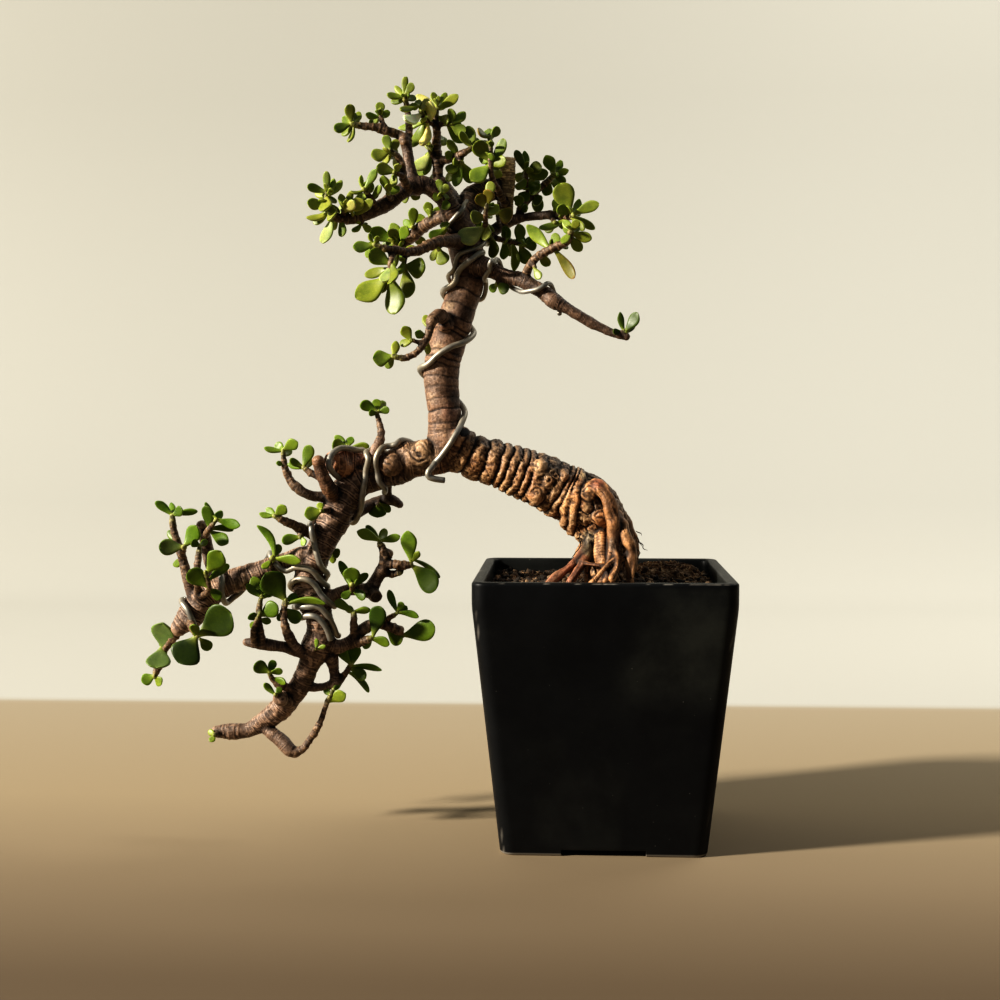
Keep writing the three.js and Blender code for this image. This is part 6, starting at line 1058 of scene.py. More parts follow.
def trunk_bark(s):
    """Swollen rings on the leaning part, thin lines on the upright part and cracked plates at the foot."""
    anchor = s.limb.centres[np.searchsorted(s.limb.travelled, RING_TURN)]
    upright_u = RING_TURN + ((s.at - anchor) * UPRIGHT_RINGS).sum(1)
    bent = s.u + (upright_u - s.u) * smoothstep(RING_TURN + 8, RING_TURN - 2, s.u) + s.wander
    lean = 1 - smoothstep(*LEAN_END, s.u)
    foot = 1 - smoothstep(*FOOT_END, bent)
    after = np.clip(np.searchsorted(GROOVES[:, 0], bent), 1, len(GROOVES) - 1)
    low, high = GROOVES[after - 1], GROOVES[after]
    share = np.clip((bent - low[:, 0]) / (high[:, 0] - low[:, 0]), 0, 1)
    depth = (low[:, 1] * (1 - share) + high[:, 1] * share) * (0.85 + 0.4 * noise(s.at, 9, 3))
    puffed = depth * (0.3 * np.sin(share * math.pi) - np.abs(2 * share - 1) ** 2.8)
    lines = sum(d * groove((bent - place) / LINE_WIDTH) for place, d in LINES)
    flat = np.stack([s.angle * s.radius, s.u * 1.9, 0 * s.u], 1)
    crack = -smoothstep(0.22, 0.03, plates(flat, 4.2, 61))
    net = -smoothstep(0.16, 0.02, plates(flat * [1, 0.5, 1], 6.5, 71)) + 1.4 * noise(s.at, 6.5, 73)
    height = puffed * lean * (1 - foot) + lines + (0.12 * crack * (1 - foot) + 0.6 * net * foot) * lean
    height = height + 0.34 * s.crumb * (0.3 + 0.7 * lean) + 0.55 * s.lump * (0.3 + 0.7 * lean)
    height = height + 0.3 * lean * smoothstep(0.2, 0.6, noise(s.at, 2.4, 23))
    height = height + 0.9 * smoothstep(50.6, 51.8, bent) * smoothstep(61.5, 57, bent)
    upright = blend_colours(BROWN, PINKISH, np.clip(0.65 + 0.5 * s.wander, 0, 1))
    ringed = blend_colours(COPPER, TAN, np.clip(0.5 + 0.6 * s.lump + 0.3 * s.crumb, 0, 1))
    weathered = 0.8 * smoothstep(0.0, 0.85, s.upward + 0.35 * s.lump)
    ringed = ringed + (np.array(GREYED) - ringed) * weathered[:, None]
    return height, upright + (ringed - upright) * lean[:, None]


def root_bark(s):
    """Strands and cracks along the root."""
    name = s.limb.name
    strands = 0.12 * np.sin(s.angle * 4 + 2.2 * s.wander + s.limb.seed)
    hoops = -0.12 * smoothstep(0.4, 1, np.sin(s.u * 4.2 + 1.5 * s.wander)) * (name == "root_centre")
    grained = s.unrolled(0.28)
    cracked = fissures(grained, 1.7, 0.16) * smoothstep(-0.2, 0.3, noise(s.at, 6, 25))
    height = strands + hoops + 0.1 * s.crumb + 0.8 * noise(s.at, 5, 13) + 0.4 * noise(grained, 2.2, 15)
    dull = np.clip(0.35 + 0.7 * s.lump + 0.45 * s.crumb, 0, 1)
    low = RUDDY if name in ROOTS_RUDDY else ORANGE
    return height - 0.35 * cracked, blend_colours(low, UMBER if name in ROOTS_DULL else COPPER, dull)


def ring_pattern(s):
    """For limbs and twigs: 1 on the line between two rings, how strong each is, and a size from 0 to 1."""
    size = np.clip(s.radius / 6, 0.18, 1)
    phase = (s.u + 0.8 * s.wander * size) / (3.1 + 1.6 * size) + s.limb.seed * 0.37
    each = np.stack([np.floor(phase) * 3.1, s.angle * 0.8, s.u * 0], 1)
    uneven = 0.55 + 0.45 * noise(each, 1, s.limb.seed)
    return np.abs((phase % 1) - 0.5) * 2, uneven, size


def twig_bark(s):
    """Raised rings, green towards the tip."""
    ring, uneven, _ = ring_pattern(s)
    height = 0.38 * uneven * smoothstep(0.62, 1.0, ring) * np.clip(s.radius / 1.6, 0.4, 1) + 0.18 * s.crumb
    height = height + 0.3 * smoothstep(0.2, 0.6, noise(s.at, 2.2, 17)) * np.clip(s.radius / 2, 0, 1)
    young = smoothstep(0.72, 1.0, s.u / s.limb.travelled[-1]) * smoothstep(2.0, 1.2, s.radius)
    return height, blend_colours(TWIG_BROWN, GREEN_STEM, 0.75 * young)


def limb_bark(s):
    """Sunk rings, lumps and cracks round the limb."""
    ring, uneven, size = ring_pattern(s)
    height = -0.6 * size * uneven * smoothstep(0.78, 1.0, ring) + 0.22 * size * smoothstep(0.5, 0.75, ring)
    height = height + (0.14 * s.crumb + 0.55 * s.lump) * (0.35 + 0.65 * size)
    cracked = fissures(s.unrolled(1, 0.3), 2.4, 0.14) * smoothstep(-0.1, 0.4, noise(s.at, 7, 25))
    height = height + 0.35 * size * smoothstep(0.25, 0.6, noise(s.at, 3.2, 17)) - 0.16 * size * cracked
    colour = blend_colours(BROWN, LIMB_COLOURS.get(s.limb.name, BROWN), np.clip(0.8 + 0.4 * s.lump, 0, 1))
    return height, colour * (1 + 0.45 * s.wander)[:, None]


class Limb:
    """One length of wood: its samples, and the side directions that angles round it are measured from."""

    def __init__(self, name, points, bark):
        samples, self.travelled = spline(points, SAMPLE_STEP)
        self.name, self.bark = name, bark
        self.centres, self.radii = samples[:, :3], samples[:, 3]
        self.along, self.sides = carried_sides(self.centres)
        self.seed = sum(ord(c) * (i + 3) for i, c in enumerate(name)) % 997


def bark_of(name):
    """The kind of bark, told by the name of the piece of wood."""
    if name == "trunk":
        return trunk_bark
    return root_bark if name.startswith("root") else limb_bark


LIMBS = [Limb(name, points, bark_of(name)) for name, points in WOOD.items()]
for spray_name, spray in SPRAYS.items():
    LIMBS += [Limb(f"{spray_name}_{i}", twig, twig_bark) for i, twig in enumerate(spray["twigs"])]


def span(low, high, origin, first=0):
    """The grid's lines from low to high, counted from the first one."""
    start, stop = (int((end - origin) / CELL) - first for end in (low, high))
    return slice(max(0, start), max(0, stop + 2))


def offsets(axes, box, place):
    """How far the grid's lines in a box are from a place, shaped so that they combine to a block."""
    return np.ix_(*(axis[part] - c for axis, part, c in zip(axes, box, place)))


def limb_field(limb, axes, window, low, reach):
    """Distances from a limb's round cones, each point taking the cone whose middle line is nearest."""
    local = [axis[part] for axis, part in zip(axes, window)]
    field = np.full([len(axis) for axis in local], FAR_OFF, np.float32)
    nearest = np.full(field.shape, np.inf, np.float32)
    for a, b, ra, rb in zip(limb.centres, limb.centres[1:], limb.radii, limb.radii[1:]):
        near = max(ra, rb) + reach
        ends = zip(np.minimum(a, b) - near, np.maximum(a, b) + near, low, window)
        box = tuple(span(start, stop, origin, part.start) for start, stop, origin, part in ends)
        x, y, z = offsets(local, box, a)
        step = b - a
        t = np.clip((x * step[0] + y * step[1] + z * step[2]) / np.dot(step, step), 0, 1)
        gap = np.sqrt((x - t * step[0]) ** 2 + (y - t * step[1]) ** 2 + (z - t * step[2]) ** 2)
        closer = gap < nearest[box]
        field[box][closer] = (gap - (ra + t * (rb - ra)))[closer]
        nearest[box][closer] = gap[closer]
    if limb.name in FLAT_ENDS:
        x, y, z = offsets(local, [slice(None)] * 3, limb.centres[-1])
        dx, dy, dz = limb.along[-1]
        field = np.maximum(field, x * dx + y * dy + z * dz - FLAT_ENDS[limb.name])
    return field


def wood_skin():
    """The union of round cones along every limb, softly blended, as quads."""
    reach = 3 * BLEND + 1.2
    low = np.min([(l.centres - l.radii[:, None]).min(0) for l in LIMBS], 0) - reach - CELL
    high = np.max([(l.centres + l.radii[:, None]).max(0) for l in LIMBS], 0) + reach + CELL
    axes = [np.arange(low[k], high[k], CELL) for k in range(3)]
    total = np.zeros([len(a) for a in axes], np.float32)
    for limb in LIMBS:
        pad = limb.radii.max() + reach
        ends = zip(limb.centres.min(0) - pad, limb.centres.max(0) + pad, low)
        window = tuple(span(*end) for end in ends)
        total[window] += np.exp(-limb_field(limb, axes, window, low, reach) / BLEND)
    for *middle, radius in BURLS:
        starts, stops = ([int((c + way * radius + way * BURL_PAD - k) / CELL) for c, k in zip(middle, low)]
                         for way in (-1, 1))
        window = tuple(map(slice, starts, stops))
        x, y, z = offsets(axes, window, middle)
        total[window] += np.exp(-(np.sqrt(x ** 2 + y ** 2 + z ** 2) - BURL_SIZE * radius) / BLEND)
    distance = -BLEND * np.log(total + 1e-12)
    grid = openvdb.FloatGrid(FAR_OFF)
    grid.copyFromArray(np.clip(distance, -3, 3).astype(np.float32))
    points, quads = grid.convertToQuads(0.0)
    return points * CELL + low, quads.astype(np.int64)


def vertex_normals(points, quads):
    a, b, c, d = (points[quads[:, k]] for k in range(4))
    diagonal = np.cross(c - a, d - b)
    normals = np.zeros_like(points)
    for k in range(4):
        np.add.at(normals, quads[:, k], diagonal)
    return unit(normals)


def smoothed(points, quads, rounds):
    """The points, each moved half way to the mean of its neighbours in every round."""
    ends = np.concatenate([quads[:, [k, (k + 1) % 4]] for k in range(4)])
    here, there = ends.ravel(), ends[:, ::-1].ravel()
    count = np.maximum(np.bincount(here, minlength=len(points)), 1)
    for _ in range(rounds):
        mean = [np.bincount(here, points[there, k], len(points)) / count for k in range(3)]
        points = points + 0.5 * (np.stack(mean, 1) - points)
    return points


def ring_rosettes(points, height):
    """Presses the ringed eyes into the bark's height."""
    for *middle, reach, rise, pitch in ROSETTES:
        offset = points - middle
        gap = np.linalg.norm(offset, axis=1)
        close = gap < reach + 1
        near, gap = points[close], gap[close]
        turn = np.arctan2(offset[close, 2], offset[close, 0])
        gap = gap + 1.2 * noise(near, 3.4, 31) + 0.45 * noise(near, 1.3, 35) + 0.12 * pitch * turn
        share = smoothstep(reach, reach * 0.55, gap)
        waves = np.cos(gap * 2 * math.pi / pitch) * (0.5 + 0.9 * noise(near, 2.2, 33))
        dome = rise * (0.75 - (gap / reach) ** 2) - 0.7 * bell(gap, 0.8)
        height[close] = height[close] * (1 - 0.75 * share) + share * (dome + 0.34 * waves)


def pressed_bark(points):
    """Height, colour and limb radius at each vertex, blended where limbs meet."""
    weight = np.full(len(points), 1e-9)
    sums = np.zeros((len(points), 5))
    for limb in LIMBS:
        margin = limb.radii.max() + BARK_MARGIN
        start, stop = limb.centres.min(0) - margin, limb.centres.max(0) + margin
        chosen = np.nonzero(np.all((points > start) & (points < stop), 1))[0]
        nearest = np.empty(len(chosen), int)
        for start in range(0, len(chosen), CHUNK):
            some = points[chosen[start:start + CHUNK]]
            gaps = np.linalg.norm(some[:, None] - limb.centres[None], axis=2) - limb.radii[None]
            nearest[start:start + CHUNK] = gaps.argmin(1)
        offset = points[chosen] - limb.centres[nearest]
        along = limb.along[nearest]
        shift = np.clip((offset * along).sum(1), -SAMPLE_STEP, SAMPLE_STEP)
        radial = offset - along * shift[:, None]
        gap = np.linalg.norm(radial, axis=1) - limb.radii[nearest]
        close = gap < BARK_REACH
        kept = (v[close] for v in (chosen, nearest, radial, along, gap, shift))
        chosen, nearest, radial, along, gap, shift = kept
        side = limb.sides[nearest]
        angle = np.arctan2((radial * np.cross(along, side)).sum(1), (radial * side).sum(1))
        upward = radial[:, 2] / np.linalg.norm(radial, axis=1)
        u, radius = limb.travelled[nearest] + shift, limb.radii[nearest]
        height, colour = limb.bark(Spots(limb, u, angle, radius, points[chosen], upward))
        share = np.exp(-np.clip(gap, -3, 3) / 0.32)
        weight[chosen] += share
        sums[chosen] += share[:, None] * np.column_stack([height, colour, radius])
    sums /= weight[:, None]
    height, colour, width = sums[:, 0], sums[:, 1:4], sums[:, 4]
    ring_rosettes(points, height)
    # Stains, and the painted shade and light on the upright trunk's sides.
    for *middle, reach, red, green, blue in STAINS_AND_PAINTED_SHADING:
        gap = np.linalg.norm(points - middle, axis=1) + 0.6 * noise(points, 2, 37)
        share = smoothstep(reach, reach * 0.5, gap)
        colour = colour + (np.array([red, green, blue]) - colour) * 0.85 * share[:, None]
    limit = np.clip(width * 0.3, 0.12, 1.7)
    return np.clip(height, -limit, limit), colour, width


def hollow_shading(points, quads, normals, width):
    """Painted shade for the bark: 0 deep in a groove or between two roots, about 0.6 on plain bark, 1 on a
    sharp ridge.
    """
    relief = np.zeros(len(points))
    for rounds, strength in ((3, 2.0), (26, 0.95)):
        sunk = ((smoothed(points, quads, rounds) - points) * normals).sum(1)
        sunk = sunk + np.median(-sunk * width) / width
        relief -= strength * np.clip(sunk, -0.35, 1.2)
    return np.clip(0.62 + relief, 0, 1)


def wood_pieces():
    material = bark_material()
    points, quads = wood_skin()
    points = smoothed(points, quads, 2)
    height, colour, width = pressed_bark(points)
    points = points + vertex_normals(points, quads) * height[:, None]
    normals = vertex_normals(points, quads)
    relief = hollow_shading(points, quads, normals, width)
    x, _, z = points[quads].mean(1).T
    crown = (z > CROWN_WOOD) | ((x > RIGHT_OF_NECK) & (z > FORK_TOP))
    cascade = (x < CASCADE_RIGHT) & (z < CASCADE_TOP)
    shares = {"wood_cascade": cascade, "wood_crown": crown, "wood_trunk": ~(cascade | crown)}
    for name, chosen in shares.items():
        used, local = np.unique(quads[chosen], return_inverse=True)
        piece = mesh_object(name, points[used], local.reshape(-1, 4).tolist(), material)
        piece.data.normals_split_custom_set_from_vertices(normals[used].tolist())
        put_values(piece, tint=colour[used], relief=relief[used])
        carried(piece, "bark", *(["tree_wood"] if name == "wood_trunk" else []))


# ---- Leaves -------------------------------------------------------------------------------------

# Blade colour and edge colour for each tone. Tones 8 and 9 are painted light: very pale blades that stand
# for sunlit leaves at the top of the crown.
LEAF_TONES = np.array([
    ((0.042, 0.070, 0.005), (0.10, 0.14, 0.02)), ((0.108, 0.160, 0.014), (0.20, 0.245, 0.035)),
    ((0.165, 0.220, 0.032), (0.28, 0.32, 0.06)), ((0.205, 0.255, 0.046), (0.32, 0.35, 0.09)),
    ((0.310, 0.365, 0.130), (0.39, 0.43, 0.16)), ((0.150, 0.155, 0.024), (0.32, 0.17, 0.05)),
    ((0.140, 0.170, 0.070), (0.19, 0.24, 0.06)), ((0.420, 0.410, 0.120), (0.46, 0.44, 0.15)),
    ((0.640, 0.690, 0.400), (0.66, 0.70, 0.36)), ((0.700, 0.680, 0.260), (0.66, 0.64, 0.28)),
    ((0.022, 0.036, 0.003), (0.08, 0.115, 0.02)),
])
STALK = np.array([0.30, 0.36, 0.07])
# The leaves of the cascade are a fresher green than those of the crown.
CASCADE_GREEN = np.array([0.79, 0.92, 0.66])
# Rings of points along a leaf, and points in each ring.
LEAF_STATIONS = 15
LEAF_SIDES = 18
HALF_THICKNESS = 1.25
LEAF_CUP = 0.1
# How far along its length a blade is widest, and the share past that.
WIDEST = 0.66
TAPERING = 0.34
# Blades turn a little on their own axes towards the light.
LIGHT = unit(np.array([-0.85, -0.35, 0.4]))
# Blades that are bowed sideways, in shares of their length: the spray's name and the leaf's number in it.
BOWED = {("long_curved", 0): 0.16}
# Leaves stay this far inside the box of the CAD part.
BOX_MARGIN = 0.05


def blade_width(t, petiole, point):
    body = petiole + (1 - petiole) * smoothstep(-0.02, WIDEST, t) ** 0.85
    past = np.clip(t - WIDEST, 0, 1) / TAPERING
    tip = np.clip(1 - past ** (2.1 - 0.6 * point), 0, 1) ** (0.5 + 0.16 * point)
    return np.where(t < WIDEST, body, tip)


def squared(v):
    """A circle's coordinate, pushed out towards a square with round corners."""
    return np.sign(v) * np.abs(v) ** 0.85


def leaf_mesh(row, bow, chance):
    """Points of one fat leaf, with how near the rim each is and how near the tip."""
    base, tip, width, roll = np.array(row[:3]), np.array(row[3:6]), row[6], math.radians(row[7])
    along = tip - base
    length = np.linalg.norm(along)
    along = along / length
    ahead = np.array([0, -1.0, 0]) if abs(along[1]) < 0.9 else np.array([0, 0, 1.0])
    face = unit(ahead - along * np.dot(ahead, along))
    face = face * math.cos(roll) + np.cross(along, face) * math.sin(roll)
    across = np.cross(along, face)
    lean = 0.2 * chance[0] + (0.42 if base[2] > CASCADE_TOP else 0.15) * np.dot(across, LIGHT)
    c, s = math.cos(lean), math.sin(lean)
    face, across = face * c + across * s, across * c - face * s
    rounding = np.sin(np.linspace(0.1, 1, 7) * math.pi / 2)
    t = np.concatenate([[-0.07], np.linspace(0.02, 0.6, 7), WIDEST + 0.335 * rounding])
    petiole = np.clip(1.5 / width, 0.14, 0.32)
    wide = np.maximum(blade_width(t, petiole, np.clip(0.4 + chance[4], 0, 1)) * width / 2, 0.25)
    plump = HALF_THICKNESS * np.clip(width / 8, 0.85, 1.35)
    thick = plump * np.interp(t, [-0.07, 0.25, 0.6, 0.85, 0.97, 1], [0.62, 0.9, 1.0, 0.85, 0.55, 0.2])
    thick = np.minimum(thick, np.maximum(wide, 0.5)) * np.clip(length / 9, 0.7, 1)
    cx, cy = (squared(v)[None] for v in circle(LEAF_SIDES))
    sag = LEAF_CUP * length * 4 * t * (t - 1) * (1 + 0.35 * chance[1])
    aside = (bow + 0.035 * chance[2]) * length * 4 * t * (1 - t)
    blade = smoothstep(0.1, 0.5, t)[:, None]
    dish = 0.06 * width * (cx ** 2 - 0.4) * blade * (1 + 0.6 * chance[3])
    middle = base + along * (t * length)[:, None] + face * sag[:, None] + across * aside[:, None]
    points = (middle[:, None] + across * (wide[:, None] * cx)[..., None]
              + face * (thick[:, None] * cy + dish)[..., None])
    rim = np.maximum(np.abs(cx) ** 3 * blade, smoothstep(0.86, 1, t)[:, None])
    ends = [base - along * 0.08 * length, middle[-1] + along * 0.1]
    t = np.concatenate([np.repeat(t, LEAF_SIDES), [-0.08, 1]])
    return np.concatenate([points.reshape(-1, 3), ends]), np.concatenate([rim.ravel(), [0, 1]]), t


def leaf_faces():
    foot = LEAF_STATIONS * LEAF_SIDES
    top, last = foot + 1, foot - LEAF_SIDES
    faces = walls(LEAF_STATIONS, LEAF_SIDES)
    for j in range(LEAF_SIDES):
        k = (j + 1) % LEAF_SIDES
        faces += [[foot, k, j], [top, last + j, last + k]]
    return faces


def companions(leaves):
    """Smaller leaves that turn away from the front at the same nodes, as the pairs of a jade cross."""
    extra = []
    for index, row in enumerate(leaves):
        base, tip = np.array(row[:3]), np.array(row[3:6])
        length = np.linalg.norm(tip - base)
        if row[2] < CROWN_FOOT or length < 4:
            continue
        luck = lucky(int(row[0] * 2), int(row[2] * 2), index, 50, 4)
        backward = luck[0] > -0.35
        turn = [0.35 * luck[2], 0.9 if backward else -0.9, 0.45 + 0.4 * luck[3]]
        heading = unit((tip - base) / length * (0.25 + 0.5 * luck[1]) + turn)
        size = min(length, 9.5) * (0.8 if backward else 0.6)
        width = min(row[6], 6) * (0.95 if backward else 0.7)
        tone = 1 if backward else max(row[8], 2)
        extra.append([*(base + 0.3 * heading), *(base + heading * size), width, 70 * luck[2], tone])
    return extra


def leaf_pieces():
    material = leaf_material()
    pattern = leaf_faces()
    for name, spray in SPRAYS.items():
        shoot = Gathered()
        for index, row in enumerate(spray["leaves"] + companions(spray["leaves"])):
            chance = lucky(int(abs(row[0]) * 2), int(abs(row[5]) * 2), index, 7, 5)
            points, rim, t = leaf_mesh(row, BOWED.get((name, index), 0), chance)
            blade, edge = LEAF_TONES[int(row[8])]
            blade = blade * (1 + 0.25 * chance[4]) * [1 + 0.12 * chance[0], 1, 1 - 0.1 * chance[0]]
            if row[2] < CASCADE_TOP and row[0] < CASCADE_RIGHT:
                blade, edge = blade * CASCADE_GREEN, edge * CASCADE_GREEN
            share = smoothstep(0.3, -0.02, t)[:, None] * 0.75
            shoot.add(np.clip(points, BOX_LOW + BOX_MARGIN, BOX_HIGH - BOX_MARGIN), pattern,
                      tint=blade * (1 - share) + STALK * share, edge=painted(points, edge), rim=rim)
        carried(shoot.piece("leaves_" + name, material), "leaf", "spray_" + name)


# ---- Wires --------------------------------------------------------------------------------------

WIRE_SIDES = 16
WIRE_STEP = 1.1
WIRE_BEVEL = 0.25
# The round wires are a little thinner than their solids.
WIRE_SHARE = 0.9
# Steps along a route, rounds of pulling, the gap left to the bark, and from how far off a wire is pulled.
SEAT_STEP = 2.8
SEAT_ROUNDS = 6
SEAT_GAP = 0.35
SEAT_REACH = 3
CONES = np.array([pair for points in WOOD.values() for pair in zip(points, points[1:])])
CONE_FROM, CONE_RADII = CONES[:, 0, :3], CONES[:, :, 3]
CONE_SPAN = CONES[:, 1, :3] - CONE_FROM


def padded(rows):
    """The rows, with the first and the last one twice."""
    return np.concatenate([rows[:1], rows, rows[-1:]])


def seated(points, radius):
    """Pulls each point of a wire's route down on to the bark, or out of it."""
    route = spline(points, SEAT_STEP)[0]
    for _ in range(SEAT_ROUNDS):
        pulls = np.zeros_like(route)
        for i, point in enumerate(route):
            t = np.clip(((point - CONE_FROM) * CONE_SPAN).sum(1) / (CONE_SPAN ** 2).sum(1), 0, 1)
            out = point - CONE_FROM - CONE_SPAN * t[:, None]
            gaps = np.linalg.norm(out, axis=1) - (CONE_RADII[:, 0] * (1 - t) + CONE_RADII[:, 1] * t)
            k = gaps.argmin()
            lift = radius + SEAT_GAP - gaps[k]
            if lift > -SEAT_REACH:
                pulls[i] = unit(out[k]) * lift
        around = padded(pulls)
        route = route + 0.5 * pulls + 0.25 * (around[:-2] + around[2:])
    return route


def wire_pieces():
    material = wire_material()
    for name, rest in named_rows(WIRE_ROWS):
        (radius,), *points = numbers(rest)
        radius = radius * WIRE_SHARE
        route = spline(seated(points, radius), WIRE_STEP)[0]
        along, side = carried_sides(route)
        centres, sizes = padded(route), padded(np.full(len(route), radius))
        centres[0] = route[0] - along[0] * WIRE_BEVEL
        centres[-1] = route[-1] + along[-1] * WIRE_BEVEL
        sizes[[0, -1]] = radius - WIRE_BEVEL
        points = rings_round(centres, sizes, padded(side), padded(np.cross(along, side)), WIRE_SIDES)
        piece = mesh_object(name + "_round", points, closed_walls(len(centres), WIRE_SIDES), material)
        carried(piece, "wire", name)


# ---- Pot ----------------------------------------------------------------------------------------

POT_HEIGHT = 134.5
POT_TOP_SIDE = 127
POT_BASE_SIDE = 101
# The sides lean out up to here; above it they are upright.
POT_BAND_FOOT = 122.5
POT_WALL = 5.5
POT_FLOOR_TOP = 9
POT_CORNER = 7
RIM_ROUND = 1.6
FOOT_HEIGHT = 3
FOOT_SIDE = 30
# Longer than the pot's foot is wide.
CUTTER_LENGTH = 150
DRAIN_RADIUS = 7
DRAIN_SIDES = 48
# How finely a ring of the pot is cut round each corner and along each side.
CORNER_STEPS = 8
SIDE_STEPS = 84
# The outside's foot, as heights and insets, and its top, as depths below the rim and insets.
FOOT_ROUNDING = ((0, 1.3), (0.25, 0.6), (0.8, 0.15), (1.6, 0))
BAND_RINGS = ((13, 0.05), (11, 0.05), (8, 0), (6, 0), (4, 0), (3, 0), (2.4, 0), (1.9, 0))


def rounded_square(side, radius, z):
    """A ring of points counter-clockwise: a square with round corners and evenly cut sides."""
    reach = side / 2 - radius

    def corner_middle(corner):
        turn = (corner + 0.5) * math.pi / 2
        return np.array([math.copysign(reach, math.cos(turn)), math.copysign(reach, math.sin(turn))])

    def edge_point(corner, share):
        a = (corner + share) * math.pi / 2
        return radius * np.array([math.cos(a), math.sin(a)])

    ring = []
    for corner in range(4):
        centre = corner_middle(corner)
        ring += [centre + edge_point(corner, i / CORNER_STEPS) for i in range(CORNER_STEPS + 1)]
        start, end = centre + edge_point(corner, 1), corner_middle(corner + 1) + edge_point(corner, 1)
        ring += [start + (end - start) * i / SIDE_STEPS for i in range(1, SIDE_STEPS)]
    return np.column_stack([ring, np.full(len(ring), z)])


def pot_side(z):
    return POT_BASE_SIDE + (POT_TOP_SIDE - POT_BASE_SIDE) * min(1, z / POT_BAND_FOOT)


def pot_rings():
    """Rings from the foot up the outside, over the rim and down the inside to the floor."""
    def outer(z, inset=0.0):
        return rounded_square(pot_side(z) - 2 * inset, POT_CORNER - inset, z)

    def rim(degrees):
        """The height of a point of the rim's rounding, and its inset."""
        a = math.radians(degrees)
        return POT_HEIGHT - RIM_ROUND * (1 - math.sin(a)), RIM_ROUND * (1 - math.cos(a))

    found = [outer(z, inset) for z, inset in FOOT_ROUNDING]
    found += [outer(z) for z in np.linspace(5, POT_BAND_FOOT - 3, 26)]
    found += [outer(POT_HEIGHT - below, inset) for below, inset in BAND_RINGS]
    found += [outer(*rim(degrees)) for degrees in (12, 24, 34, 39, 43, 47, 51, 56, 66, 78, 90)]
    for z, inset in map(rim, (90, 65, 40, 15)):
        found.append(rounded_square(POT_TOP_SIDE - 2 * POT_WALL + 2 * inset, POT_CORNER - 2.5, z))
    for z in (POT_HEIGHT - 4, POT_HEIGHT - 7, POT_BAND_FOOT, 90, 50, POT_FLOOR_TOP + 2):
        found.append(rounded_square(pot_side(z) - 2 * POT_WALL, POT_CORNER - 3, z))
    floor_side = pot_side(POT_FLOOR_TOP) - 2 * POT_WALL - 3
    return found + [rounded_square(floor_side, POT_CORNER - 4, POT_FLOOR_TOP)]


def box_cutter(size_x, size_y, material):
    corners = [(x * size_x / 2, y * size_y / 2, z * FOOT_HEIGHT) for x, y, z in product((-1, 1), repeat=3)]
    sides = [[0, 1, 3, 2], [4, 6, 7, 5], [0, 4, 5, 1], [2, 3, 7, 6], [0, 2, 6, 4], [1, 5, 7, 3]]
    return mesh_object("cutter", corners, sides, material, smooth=False)


def drain_cutter(material):
    ring = np.column_stack([v * DRAIN_RADIUS for v in circle(DRAIN_SIDES)])
    ends = [np.column_stack([ring, np.full(DRAIN_SIDES, z)]) for z in (-5, POT_FLOOR_TOP + 5)]
    return mesh_object("cutter", np.concatenate(ends), closed_walls(2, DRAIN_SIDES), material)


def settle(piece):
    """Applies the piece's modifiers to its mesh."""
    bpy.context.view_layer.update()
    graph = bpy.context.evaluated_depsgraph_get()
    mesh = bpy.data.meshes.new_from_object(piece.evaluated_get(graph))
    piece.modifiers.clear()
    piece.data = mesh


def pot_wear(mm):
    """How dusty and how bare the glaze is at each point, with a painted sheen on the front carried in the
    dust values.
    """
    x, y, z = mm.T
    half = np.interp(z, [0, POT_BAND_FOOT], [POT_BASE_SIDE / 2, POT_TOP_SIDE / 2])
    inside = np.maximum(np.abs(x), np.abs(y)) < half - 2.5
    dust = np.where(inside & (z > 100), 0.1, 0.0)
    dust = np.maximum(dust, 0.05 * smoothstep(POT_HEIGHT - 1.4, POT_HEIGHT, z))
    dust = np.maximum(dust, 0.05 * smoothstep(0.2, 0.9, rough(mm, 26, 9, 3)))
    # Painted sheen: a soft reflection painted on the upper right of the front, which is made greyer than the
    # rest.
    sheen = smoothstep(-6, 12, x - 0.34 * (z - 70)) * smoothstep(66, 92, z) * smoothstep(-40, -50, y)
    dust = np.maximum(dust, 0.17 * sheen * smoothstep(POT_HEIGHT - 1, POT_HEIGHT - 4, z))
    foot_rim = smoothstep(1.4, 0.5, z) * 0.7
    edge = sum(bell(np.hypot(np.abs(v) - half, z - POT_HEIGHT), 1.6) for v in (x, y))
    corner = smoothstep(half - 2.6, half - 1.2, np.minimum(np.abs(x), np.abs(y)))
    worn = 0.5 * np.clip(edge, 0, 1) * smoothstep(0.5, 0.9, noise(mm, 9, 41))
    worn = worn + corner * 0.85 * smoothstep(0.42, 0.75, noise(mm, 5, 43))
    lip = bell(np.hypot(y + half - 0.45, z - POT_HEIGHT + 0.45), 0.26)
    for start, stop, bare in RIM_CHIPS:
        spread = smoothstep(start - 0.6, start + 0.3, x) * smoothstep(stop + 0.6, stop - 0.3, x)
        worn = np.maximum(worn, 0.6 * bare * spread * lip * (0.8 + 0.4 * noise(mm, 1.5, 47)))
    # The dust values hold real dust and the painted sheen.
    return {"dust": np.clip(dust, 0, 1), "chip": np.clip(np.maximum(foot_rim, worn), 0, 1)}


